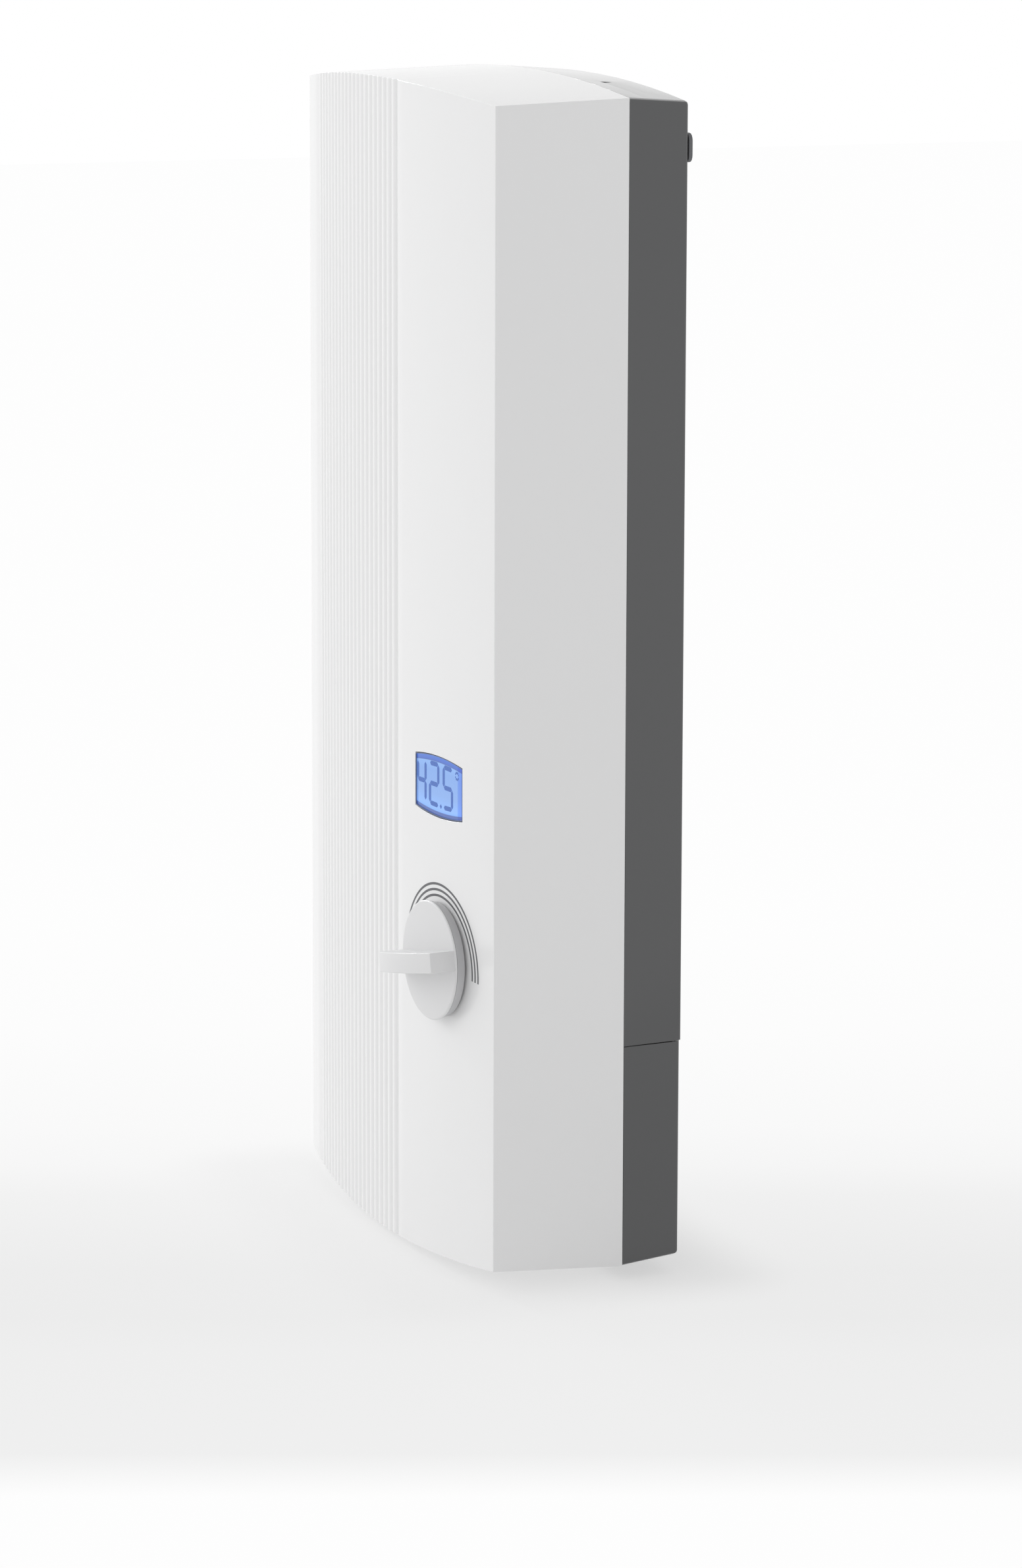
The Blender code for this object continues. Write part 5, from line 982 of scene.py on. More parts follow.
def segment_tree():
    """Flat strokes along the edges of the input, cut short and pointed at both their ends.
    The weight kept at the input's points scales a stroke's width."""
    tree, size = geometry_tree("digit_segments", "Stroke", "Rise", "Gap")
    split = add_node(tree, "GeometryNodeSplitEdges", {"Mesh": size["Geometry"]}).outputs["Mesh"]
    curve = add_node(tree, "GeometryNodeMeshToCurve", {"Mesh": split}).outputs["Curve"]
    length = tree.nodes.new("GeometryNodeSplineLength").outputs["Length"]
    end = value_node(tree, "SUBTRACT", length, size["Gap"])
    trim = {"Curve": curve, "Start_001": size["Gap"], "End_001": end}
    trim = add_node(tree, "GeometryNodeTrimCurve", trim, mode="LENGTH").outputs["Curve"]
    along = tree.nodes.new("GeometryNodeSplineParameter").outputs["Length"]
    trimmed = tree.nodes.new("GeometryNodeSplineLength").outputs["Length"]
    left = value_node(tree, "SUBTRACT", trimmed, along)
    weight = add_node(tree, "GeometryNodeInputNamedAttribute", {"Name": "weight"}).outputs["Attribute"]
    half = value_node(tree, "MULTIPLY", size["Stroke"], 0.5)
    from_end = value_node(tree, "DIVIDE", value_node(tree, "MINIMUM", along, left), half)
    kept = value_node(tree, "MAXIMUM", value_node(tree, "MINIMUM", from_end, weight), 0.05)
    flat = flat_profile(tree, size["Stroke"], size["Rise"])
    return end_tree(tree, size, sweep(tree, resampled(tree, trim), flat, Scale=kept))


def make_display():
    rim = moulded("display_rim", RIM_COLOUR, 0.3, grain=0.1, Coat_Weight=0.3)
    ring = frame_ring(FRAME_GAP, FRAME_FRONT, FRAME_REAR, FRAME_BAR)
    finish_parts("display_rim", [ring], rim, "cover", "display_rim", ["display_frame"])
    pane = pane_slab(FRAME_GAP + FRAME_BAR * 0.9, PANE_FRONT, PANE_REAR)
    lit = make_lit_pane_material()
    finish_parts("lit_display", [pane], lit, "cover", "display_glass", ["display_window"])
    places, edges, weights = [], [], []
    marks = [(LIT[digit], 1, left, right, DIGIT_BOTTOM, DIGIT_TOP) for digit, left, right in DIGITS]
    marks.append((LIT["degree"], DEGREE_WEIGHT, *DEGREE))
    for segments, weight, left, right, low, high in marks:
        for segment in segments:
            edges.append((len(places), len(places) + 1))
            for x, y in SEGMENTS[segment]:
                places.append(on_display(left + (right - left) * x, low + (high - low) * y))
                weights.append(weight)
    point = on_display(POINT_U, DIGIT_BOTTOM)
    half = Vector((STROKE * 0.6, 0, 0))
    edges.append((len(places), len(places) + 1))
    places += [point - half, point + half]
    weights += [1, 1]
    ink = moulded("segment_blue", DIGIT_COLOUR, 0.25, grain=0.1)
    digits = points_piece("display_digits", places, edges)
    digits.data.attributes.new("weight", "FLOAT", "POINT").data.foreach_set("value", weights)
    grow(digits, segment_tree(), stroke=STROKE, rise=STROKE_RISE, gap=STROKE_GAP, material=ink)
    freeze(digits)
    digits.data.transform(DISPLAY_FRAME @ Matrix.Translation((0, 0, -PANE_FRONT + STROKE_RISE / 2)))
    finish_piece(digits, ink, "cover", "display_glass")


make_display()


# The temperature knob: a round satin disc with one straight, crowned grip bar across it, moulded
# in one with the hub that is pressed on the potentiometer's flatted steel shaft.
KNOB_RADIUS = 0.0242
KNOB_LIFT = 0.0008
KNOB_FACE = 0.0057
KNOB_UNDERCUT = 0.0011
KNOB_ROUNDING = 0.0009
KNOB_HUB_RADIUS = 0.006
KNOB_HUB_DEPTH = 0.0025
BAR_HALF_THICKNESS = 0.00405
BAR_REACH = 0.02375
BAR_END = 0.0163
BAR_CROWN = 0.0027
BAR_TILT = 10
BAR_COLUMNS = 32
BAR_EDGE = 0.00032
KNOB_COLOUR = (0.745, 0.745, 0.75)
# The skirt is a thin grey ring over the disc's undercut side, darker than the knob: painted shade on the knob's
# rim.
SKIRT_SHADE_COLOUR = (0.56, 0.56, 0.57)
SKIRT = 0.00045


def rounded_corner(radius, height, size, start, steps=5):
    """Points of a quarter circle about (radius, height), from this angle in degrees, turning back."""
    turns = (math.radians(start + 90 * i / steps) for i in range(steps + 1))
    return [(radius + size * math.cos(turn), height + size * math.sin(turn)) for turn in turns]


def bridged(rings):
    """A solid through rings of four points each, closed at both its ends."""
    bm = bmesh.new()
    rings = [[bm.verts.new(point) for point in ring] for ring in rings]
    for left, right in zip(rings, rings[1:]):
        for k in range(4):
            n = (k + 1) % 4
            bm.faces.new((left[k], left[n], right[n], right[k]))
    bm.faces.new(rings[0])
    bm.faces.new(rings[-1])
    bmesh.ops.recalc_face_normals(bm, faces=bm.faces)
    return bm


def make_knob():
    white = moulded("knob_white", KNOB_COLOUR, 0.36, mottle=0.015, grain=0.12, scale=1400)
    edge = 0.0003
    shoulder = KNOB_FACE - KNOB_ROUNDING
    foot = KNOB_RADIUS - KNOB_UNDERCUT
    profile = [(0, -KNOB_HUB_DEPTH), (KNOB_HUB_RADIUS, -KNOB_HUB_DEPTH), (KNOB_HUB_RADIUS, KNOB_LIFT)]
    profile += [(foot - SKIRT, KNOB_LIFT), (KNOB_RADIUS - SKIRT, shoulder), (KNOB_RADIUS - edge, shoulder)]
    profile += rounded_corner(KNOB_RADIUS - KNOB_ROUNDING, shoulder, KNOB_ROUNDING, 0)
    profile.append((0, KNOB_FACE))
    disc = placed(turned(profile, Vector(), OUTWARD, 128, 0), CONTROL_FRAME)
    # A grey sheet over the undercut, as painted shade of the rim.
    ring = [(foot - SKIRT, KNOB_LIFT)] + rounded_corner(foot - edge, KNOB_LIFT + edge, edge, -90, 3)
    ring += [(KNOB_RADIUS - edge / 2, shoulder - edge), (KNOB_RADIUS - SKIRT, shoulder - edge / 2)]
    skirt = placed(turned(ring, Vector(), OUTWARD, 128, 0, closed=True), CONTROL_FRAME)
    grey = moulded("skirt_grey", SKIRT_SHADE_COLOUR, 0.34, mottle=0.02, grain=0.1, scale=1400)
    finish_parts("knob_skirt", [skirt], grey, "knob")
    rings = []
    for i in range(BAR_COLUMNS + 1):
        share = 2 * i / BAR_COLUMNS - 1
        low, high = KNOB_FACE - BAR_EDGE * 2, BAR_END + BAR_CROWN * (1 - share ** 2)
        half = BAR_HALF_THICKNESS
        corners = ((low, -half), (high, -half), (high, half), (low, half))
        rings.append([at(share * BAR_REACH, out, z) for out, z in corners])
    bar = soften(bridged(rings), BAR_EDGE, 4, 40)
    bar = placed(placed(bar, Matrix.Rotation(math.radians(-BAR_TILT), 4, "Y")), CONTROL_FRAME)
    finish_parts("dial_knob", [disc, bar], white, "knob", "knob_white", ["temperature_knob"])


make_knob()


# The back: two dark grey ABS trays that meet at a joint, with rounded rear edges. The upper one
# has a shallow cable recess in its top, feet and posts inside, and slots for the hooks.
BACK_COLOUR = (0.044, 0.045, 0.047)
BACK_EDGE = 0.0010
JOINT_Z = -0.357
JOINT_ROUNDING = 0.2
LAP_REACH = 0.1062
LAP_OUT = (0.00495, 0.0062)
LAP_SIDE = (0.1057, 0.1067)
LAP_SIDE_OUT = 0.0274
LAP_HEIGHT = 0.0035
MERGE = 0.00001
RECESS_X = (0.0620, 0.1070)
RECESS_OUT = (0.0075, 0.0205)
RECESS_TOP = (0.0241, 0.0204)
RECESS_DEPTH = 0.0009
STEP_X = (0.0440, 0.0585)
STEP_OUT = (0.0092, 0.0142)
STEP_TOP = (0.02505, 0.02435)
STEP_DEPTH = 0.0005


def solid_copy(node):
    """A merged copy of a CAD node's mesh, with its flat faces whole again."""
    bm = bmesh.new()
    bm.from_mesh(nodes[node].data)
    bmesh.ops.remove_doubles(bm, verts=bm.verts, dist=MERGE)
    bmesh.ops.dissolve_limit(bm, angle_limit=math.radians(0.5), verts=bm.verts, edges=bm.edges)
    return bm


def sloped_cutter(across, out, top, depth):
    """A cutter whose floor lies this deep under a sloping surface."""
    rise = depth * 6
    ends = []
    for x, z in zip(across, top):
        corners = ((out[0], z - depth), (out[1], z - depth), (out[1], z + rise), (out[0], z + rise))
        ends.append([at(x, o, level) for o, level in corners])
    return bridged(ends)


def carve(piece, cutter):
    """Cuts a helper's shape out of a piece, and removes the helper."""
    tool = join_meshes("cutter", [cutter])
    add_modifier(piece, "cut", "BOOLEAN", object=tool, solver="EXACT")
    freeze(piece)
    bpy.data.objects.remove(tool)
    return piece


def rounded(piece, width, segments=2, angle=30, limit="ANGLE"):
    """Rounds a piece's sharp or weighted edges and keeps its flat faces flat in the light."""
    bevel = {"width": width, "segments": segments, "limit_method": limit, "angle_limit": math.radians(angle)}
    add_modifier(piece, "edges", "BEVEL", **bevel)
    piece.data.shade_smooth()
    add_modifier(piece, "level", "WEIGHTED_NORMAL", keep_sharp=True)
    return freeze(piece)


def softened(name, parts, width, segments=2, angle=30):
    """A piece from solid meshes, with rounded edges."""
    return rounded(join_meshes(name, parts), width, segments, angle)


def make_tray(name, node, material, cutters, extra):
    """One half of the back: its edges rounded, less so at the joint between the halves."""
    tray = join_meshes(name, [solid_copy(node)])
    for cutter in cutters:
        carve(tray, cutter)
    bm = bmesh.new()
    bm.from_mesh(tray.data)
    weights = bm.edges.layers.float.new("bevel_weight_edge")
    for edge in bm.edges:
        if len(edge.link_faces) == 2 and edge.calc_face_angle(0) > math.radians(35):
            near = all(abs(vert.co.z - JOINT_Z) < WALL / 2 for vert in edge.verts)
            edge[weights] = JOINT_ROUNDING if near else 1
    bm.to_mesh(tray.data)
    bm.free()
    mesh = rounded(tray, BACK_EDGE, 3, limit="WEIGHT").data.copy()
    bpy.data.objects.remove(tray)
    finish_piece(join_meshes(name, [mesh, *extra]), material, "chassis", "back_grey", [node])


def make_back():
    grey = moulded("back_grey", BACK_COLOUR, 0.36, grain=0, scale=1500, Coat_Weight=1, Coat_Roughness=0.10)
    recess = sloped_cutter(RECESS_X, RECESS_OUT, RECESS_TOP, RECESS_DEPTH)
    step = sloped_cutter(STEP_X, STEP_OUT, STEP_TOP, STEP_DEPTH)
    make_tray("rear_tray", "back_panel", grey, [recess, step], [])
    low, high = JOINT_Z - LAP_HEIGHT, JOINT_Z + LAP_HEIGHT
    laps = [slab(at(-LAP_REACH, LAP_OUT[0], low), at(LAP_REACH, LAP_OUT[1], high), 0.0003)]
    for side in (-1, 1):
        ends = (at(side * LAP_SIDE[0], LAP_OUT[0], low), at(side * LAP_SIDE[1], LAP_SIDE_OUT, high))
        laps.append(slab(*ends, 0.0003))
    make_tray("lower_rear_tray", "lower_back_panel", grey, [], laps)


make_back()


# The wall bracket: a bent strip of galvanised steel, powder-coated grey, with two hooks that the
# back hangs on. It is screwed to the wall through its two holes.
BRACKET_COLOUR = (0.13, 0.133, 0.14)
BRACKET_EDGE = 0.0003


def make_bracket():
    coated = moulded("bracket_grey", BRACKET_COLOUR, 0.5, mottle=0.08, grain=0.6, scale=2200)
    bracket = softened("hanging_strip", [solid_copy("wall_bracket")], BRACKET_EDGE, 2)
    finish_piece(bracket, coated, "chassis", "bracket_grey", ["wall_bracket"])


make_bracket()


# Rubber pieces: two ribbed spacer pads pressed into the lower tray, the cable grommet that is
# sprung into the upper one, and the two flat gaskets in the union nuts.
RUBBER_COLOUR = (0.022, 0.022, 0.023)
PAD_RADIUS = 0.007
PAD_LENGTH = 0.0022
PAD_X = 0.080
PAD_Z = -0.438
GROMMET_X = 0.069
GROMMET_Z = -0.035
CONNECTION_X = 0.050
CONNECTION_Z = -0.395
GROMMET_LIPS = (
    (0.0070, 0.0008), (0.0078, 0.0003), (0.0112, 0.0003), (0.0120, 0.0010), (0.0120, 0.0016),
    (0.0087, 0.0016), (0.0087, 0.0047), (0.0120, 0.0047), (0.0120, 0.0058), (0.0105, 0.0069),
    (0.0078, 0.0069), (0.0070, 0.0062), (0.0070, 0.0050), (0.0074, 0.0046), (0.0070, 0.0042),
    (0.0070, 0.0030), (0.0074, 0.0026), (0.0070, 0.0022),
)


def make_rubber():
    rubber = moulded("black_rubber", RUBBER_COLOUR, 0.75, mottle=0.15, grain=0.8, scale=1800)
    rings = [(0, PAD_LENGTH), (PAD_RADIUS, PAD_LENGTH), (PAD_RADIUS, 0.0007), (0.0064, 0)]
    for ring in (0.0052, 0.0034, 0.0016):
        rings += [(ring + 0.0004, 0), (ring, 0.0006), (ring - 0.0004, 0)]
    rings.append((0, 0))
    for side, x in (("left", -PAD_X), ("right", PAD_X)):
        pad = turned(rings[::-1], at(x, 0, PAD_Z), OUTWARD, 48, 0.00008)
        finish_parts(f"wall_pad_{side}", [pad], rubber, "chassis", "rubber", [f"spacer_pad_{side}"])
    bush = turned(GROMMET_LIPS, at(GROMMET_X, 0, GROMMET_Z), OUTWARD, 56, 0.0001, closed=True)
    finish_parts("cable_bush", [bush], rubber, "chassis", "rubber", ["cable_grommet"])
    ring = [(0.0060, 0.0059), (0.0108, 0.0059), (0.0108, 0.0077), (0.0060, 0.0077)]
    for name, x in (("cold", CONNECTION_X), ("hot", -CONNECTION_X)):
        gasket = turned(ring, at(x, 0, CONNECTION_Z), OUTWARD, 48, 0.00015, closed=True)
        finish_parts(f"{name}_washer", [gasket], rubber, "chassis", "rubber", [f"{name}_gasket"])


make_rubber()


# The water connections: two hexagon union nuts, the cold inlet's valve body and the hot outlet
# fitting, all turned from brass. They stand in the lower tray's round openings.
BRASS_COLOUR = (0.66, 0.47, 0.20)
NUT_FLAT = 0.01498
NUT_BORE = 0.01135
NUT_OUT = (0.0052, 0.0190)
NUT_CHAMFER = 0.55
NECK_TOP = -0.3710
PARTING_OUT = 0.03315
VALVE_PROFILE = (
    (0.0088, 0.0080), (0.0108, 0.0080), (0.0110, 0.0086), (0.0110, 0.0196), (0.0126, 0.0200),
    (0.0150, 0.0206), (0.0150, 0.0285), (0.0144, 0.0292), (0.0144, 0.0372), (0.0150, 0.0380),
    (0.0150, 0.0460), (0.0136, 0.0476), (0.0100, 0.0482), (0.0100, 0.0510), (0.0043, 0.0510),
    (0.0043, 0.0424), (0.0088, 0.0419),
)
OUTLET_PROFILE = (
    (0.0075, 0.0080), (0.0108, 0.0080), (0.0110, 0.0086), (0.0110, 0.0196), (0.0120, 0.0200),
    (0.0130, 0.0206), (0.0130, 0.0262), (0.0125, 0.0268), (0.0125, 0.0352), (0.0130, 0.0358),
    (0.0130, 0.0405), (0.0112, 0.0421), (0.0080, 0.0424), (0.0080, 0.0437), (0, 0.0437), (0, 0.0380),
    (0.0075, 0.0380),
)


def hexagon(flat):
    """A warp that cuts a turned outline back to a hexagon of this flat radius."""

    def warp(radius, height, angle):
        off_flat = (angle - math.radians(30)) % math.radians(60) - math.radians(30)
        return (min(radius, flat / math.cos(off_flat)) if radius > flat * 0.9 else radius, height)

    return warp


def nut_profile(flat, bore, low, high):
    """A nut with chamfered ends, as a closed outline that is later cut back to a hexagon."""
    corner = flat / math.cos(math.radians(30))
    drop = (corner - flat) * NUT_CHAMFER
    steps = [(flat + (corner - flat) * i / 4, drop * i / 4) for i in range(5)]
    outer = [(radius, low + fall_in) for radius, fall_in in steps]
    outer += [(radius, high - fall_in) for radius, fall_in in reversed(steps)]
    lead = (flat - bore) * 0.15
    return [(bore, low + lead), (bore + lead, low)] + outer + [(bore + lead, high), (bore, high - lead)]


def make_fitting(name, node, x, body, bore, neck, collar, brass):
    """A turned fitting: its body stands out from the wall, and its neck rises to the pipework."""
    rise = NECK_TOP - CONNECTION_Z
    tall = [(bore, 0.0040), (neck, 0.0040), (neck, rise - 0.0050), (collar, rise - 0.0044)]
    tall += [(collar, rise - 0.0006), (collar - 0.0006, rise), (bore, rise)]
    parts = [
        turned(body, at(x, 0, CONNECTION_Z), OUTWARD, 56, 0.0002, closed=True),
        turned(tall, at(x, PARTING_OUT, CONNECTION_Z), UPWARD, 48, 0.0001, closed=True),
    ]
    finish_parts(name, parts, brass, "chassis", "brass", [node])


def make_unions():
    brass = moulded("brass", BRASS_COLOUR, 0.36, mottle=0.10, grain=0.35, scale=700, Metallic=1)
    profile = nut_profile(NUT_FLAT, NUT_BORE, *NUT_OUT)
    for name, x in (("cold", CONNECTION_X), ("hot", -CONNECTION_X)):
        nut = turned(profile, at(x, 0, CONNECTION_Z), OUTWARD, 72, 0, hexagon(NUT_FLAT), True)
        finish_parts(f"{name}_hexagon_nut", [nut], brass, "chassis", "brass", [f"{name}_union_nut"], 25)
    cold = (CONNECTION_X, VALVE_PROFILE, 0.0060, 0.0102, 0.0110)
    make_fitting("cold_valve_body", "inlet_valve_body", *cold, brass)
    hot = (-CONNECTION_X, OUTLET_PROFILE, 0.0053, 0.0084, 0.0090)
    make_fitting("hot_outlet_fitting", "outlet_fitting", *hot, brass)
    return brass


brass = make_unions()


# In the cold inlet: the quarter-turn spindle with its screwdriver slot and ported ball, and a
# cup-shaped woven strainer. Both are plated steel.
STEEL_COLOUR = (0.56, 0.56, 0.55)
SIEVE_WIRE = 0.00016


def round_profile(tree, radius, sides):
    """A circle to sweep along a curve."""
    circle = {"Radius": radius, "Resolution": sides}
    return add_node(tree, "GeometryNodeCurvePrimitiveCircle", circle).outputs["Curve"]


def strainer_tree():
    """A woven cup: wires round and along a short tube, and across its closed end."""
    tree, size = geometry_tree("woven_cup", "Radius", "Length", "Wire", ("Sides", "Int"), ("Rows", "Int"))
    tube = {
        "Vertices": size["Sides"], "Side Segments": size["Rows"], "Fill Segments": size["Rows"],
        "Radius": size["Radius"], "Depth": size["Length"],
    }
    tube = add_node(tree, "GeometryNodeMeshCylinder", tube, fill_type="TRIANGLE_FAN").outputs
    cup = {"Geometry": tube["Mesh"], "Selection": tube["Bottom"]}
    cup = add_node(tree, "GeometryNodeDeleteGeometry", cup, domain="FACE").outputs["Geometry"]
    wires = add_node(tree, "GeometryNodeMeshToCurve", {"Mesh": cup}).outputs["Curve"]
    return end_tree(tree, size, sweep(tree, wires, round_profile(tree, size["Wire"], 3)))


def grown_mesh(piece, tree, matrix=Matrix(), **values):
    """The mesh that a tree makes of a piece, moved to its place. The piece itself is used up."""
    grow(piece, tree, **values)
    mesh = freeze(piece).data.copy()
    mesh.transform(matrix)
    bpy.data.objects.remove(piece)
    return mesh


def make_inlet_parts():
    steel = moulded("plated_steel", STEEL_COLOUR, 0.38, mottle=0.08, scale=1200, Metallic=1)
    spindle = softened("valve_spindle", [solid_copy("shutoff_spindle")], 0.0003, 2, 40)
    finish_piece(spindle, steel, "shutoff", "plated_steel", ["shutoff_spindle"])
    low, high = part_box("inlet_strainer")
    length = high.y - low.y
    woven = grown_mesh(
        points_piece("inlet_sieve", []), strainer_tree(), facing((low + high) / 2, OUTWARD), material=steel,
        radius=(high.x - low.x) / 2 - SIEVE_WIRE, length=length - SIEVE_WIRE * 2, wire=SIEVE_WIRE, sides=36,
        rows=7,
    )
    rim_out = -high.y
    rim = [(0.0076, rim_out), (0.0085, rim_out), (0.0085, rim_out + 0.0009), (0.0076, rim_out + 0.0009)]
    ring = turned(rim, at(CONNECTION_X, 0, CONNECTION_Z), OUTWARD, 48, 0.0001, closed=True)
    finish_parts("inlet_sieve_cup", [woven, ring], steel, "chassis", "plated_steel", ["inlet_strainer"])
    return steel


steel = make_inlet_parts()


# The heater block: two halves of glass-filled nylon round three water channels, pocketed where
# they can be thin. Four zinc-plated screws with hexagon sockets draw them together.
NYLON_COLOUR = (0.50, 0.47, 0.38)
POCKET_STEP_X = 0.015
POCKET_STEP_Z = 0.0165
POCKET = (0.0118, 0.0070, 0.0132)
SIDE_POCKET = (0.0044, 0.0150, 0.0132)
SIDE_POCKET_ROWS = 12
FRONT_POCKETS = ((5, 6, 1, 3), (2, 2, 4, 1), (2, 2, 4, 9))
BLOCK_SCREW_SOCKET = 0.0021


def wall_grid(tree, size, instance, first=(0, 0, 0)):
    """Copies of a part over a grid in the plane of the wall, from its first place on."""
    columns = size["Columns"]
    points = points_at(tree, value_node(tree, "MULTIPLY", columns, size["Rows"]), first)
    index = tree.nodes.new("GeometryNodeInputIndex").outputs[0]
    column = value_node(tree, "MODULO", index, columns)
    half_on = value_node(tree, "ADD", index, 0.5)
    row = value_node(tree, "FLOOR", value_node(tree, "DIVIDE", half_on, columns))
    offset = add_node(tree, "ShaderNodeCombineXYZ", {
        "X": value_node(tree, "MULTIPLY", column, size["Column Step"]),
        "Z": value_node(tree, "MULTIPLY", row, size["Row Step"]),
    })
    moved = add_node(tree, "GeometryNodeSetPosition", {"Geometry": points, "Offset": offset.outputs[0]})
    return on_points(tree, moved.outputs["Geometry"], instance)


GRID_INPUTS = (("Columns", "Int"), ("Rows", "Int"), ("Column Step", "Float"), ("Row Step", "Float"))


def pocket_tree():
    """Cuts a grid of like pockets into a block."""
    tree, size = geometry_tree("pockets", *GRID_INPUTS, ("First", "Vector"), ("Pocket", "Vector"))
    cube = add_node(tree, "GeometryNodeMeshCube", {"Size": size["Pocket"]}).outputs["Mesh"]
    pockets = realized(tree, wall_grid(tree, size, cube, size["First"]))
    cut = tree.nodes.new("GeometryNodeMeshBoolean")
    cut.operation = "DIFFERENCE"
    cut.solver = "EXACT"
    set_inputs(cut, {"Mesh 1": size["Geometry"], "Mesh 2": pockets})
    return end_tree(tree, size, cut.outputs["Mesh"])


def copies_tree():
    """Copies of the input over a grid in the plane of the wall."""
    tree, size = geometry_tree("wall_copies", *GRID_INPUTS)
    return end_tree(tree, size, wall_grid(tree, size, size["Geometry"]))


POCKETS = pocket_tree()
COPIES = copies_tree()


def pocketed(piece, sets, material):
    """Cuts sets of pockets: columns, rows, step between columns, first place, and size of each."""
    for columns, rows, step, first, pocket in sets:
        grow(
            piece, POCKETS, material=material, columns=columns, rows=rows, column_step=step,
            row_step=POCKET_STEP_Z, first=first, pocket=pocket,
        )
    return freeze(piece)


def finish_copies(piece, material, slot, names, smooth=35, **steps):
    """Copies a part over a grid in the plane of the wall and finishes all of it as one piece."""
    grow(piece, COPIES, material=material, **steps)
    finish_piece(freeze(piece), material, "chassis", slot, names, smooth)


def numbered(name, count):
    return [f"{name}_{i + 1}" for i in range(count)]


def middle_of(node):
    """The middle of a node's foot on the wall's side, and its box."""
    low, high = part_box(node)
    return Vector(((low.x + high.x) / 2, high.y, (low.z + high.z) / 2)), low, high


def make_heater_block(steel):
    nylon = moulded(
        "natural_nylon", NYLON_COLOUR, 0.48, mottle=0.10, grain=0.5, scale=1300, Subsurface_Weight=0.08,
        Subsurface_Scale=0.002,
    )
    for half in ("front", "rear"):
        node = f"heater_block_{half}"
        low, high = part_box(node)
        middle = (low + high) / 2
        first_z = middle.z - POCKET_STEP_Z * (SIDE_POCKET_ROWS - 1) / 2
        sets = [(2, SIDE_POCKET_ROWS, high.x - low.x, (low.x, middle.y, first_z), SIDE_POCKET)]
        for columns, rows, step, row in FRONT_POCKETS if half == "front" else ():
            first = (middle.x - POCKET_STEP_X * 2, low.y, first_z + POCKET_STEP_Z * row)
            sets.append((columns, rows, POCKET_STEP_X * step, first, POCKET))
        piece = pocketed(join_meshes(f"moulded_{half}_half", [solid_copy(node)]), sets, nylon)
        finish_piece(rounded(piece, 0.0004, 2, 40), nylon, "chassis", "natural_nylon", [node])
    names = numbered("block_screw", 4)
    boxes = [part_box(name) for name in names]
    base, low, high = middle_of(names[0])
    length = high.y - low.y
    shank, head = 0.00195, 0.0039
    profile = [
        (0, 0), (shank * 0.6, 0), (shank, 0.0012), (shank, length - 0.0029), (head * 1.02, length - 0.0029),
        (head * 1.02, length - 0.0012), (head * 0.9, length - 0.0004), (head * 0.62, length - 0.0001),
        (0, length - 0.0001),
    ]
    screw = join_meshes("block_screws", [turned(profile, base, OUTWARD, 32, 0.0002)])
    socket = [(0, length - 0.0020), (BLOCK_SCREW_SOCKET, length - 0.0020)]
    socket += [(BLOCK_SCREW_SOCKET, length + 0.001), (0, length + 0.001)]
    carve(screw, turned(socket, base, OUTWARD, 6, 0))
    across = max((a.x + b.x) / 2 for a, b in boxes) - base.x
    up = max((a.z + b.z) / 2 for a, b in boxes) - base.z
    finish_copies(screw, steel, "plated_steel", names, columns=2, rows=2, column_step=across, row_step=up)
    return nylon


nylon = make_heater_block(steel)


# In each channel hangs a bare heating coil of resistance wire, from a brass terminal stud with a
# hexagon nut that comes up through the block's roof.
CHANNEL_STEP = 0.025
COIL_WIRE = 0.00045
COIL_TURNS = 56
COIL_TAIL = 0.006


def spiral_tree():
    """A wire wound in a helix about the Z axis."""
    tree, size = geometry_tree("wound_wire", "Radius", "Wire", "Height", "Turns", ("Steps", "Int"))
    helix = add_node(tree, "GeometryNodeCurveSpiral", {
        "Resolution": size["Steps"], "Rotations": size["Turns"], "Height": size["Height"],
        "Start Radius": size["Radius"], "End Radius": size["Radius"],
    })
    wire = round_profile(tree, size["Wire"], 5)
    return end_tree(tree, size, sweep(tree, helix.outputs["Curve"], wire))


WOUND_WIRE = spiral_tree()


def wound_mesh(material, base, **sizes):
    """The mesh of a helix of wire that rises from a base."""
    start, place = points_piece("wire", []), Matrix.Translation(base)
    return grown_mesh(start, WOUND_WIRE, place, material=material, **sizes)


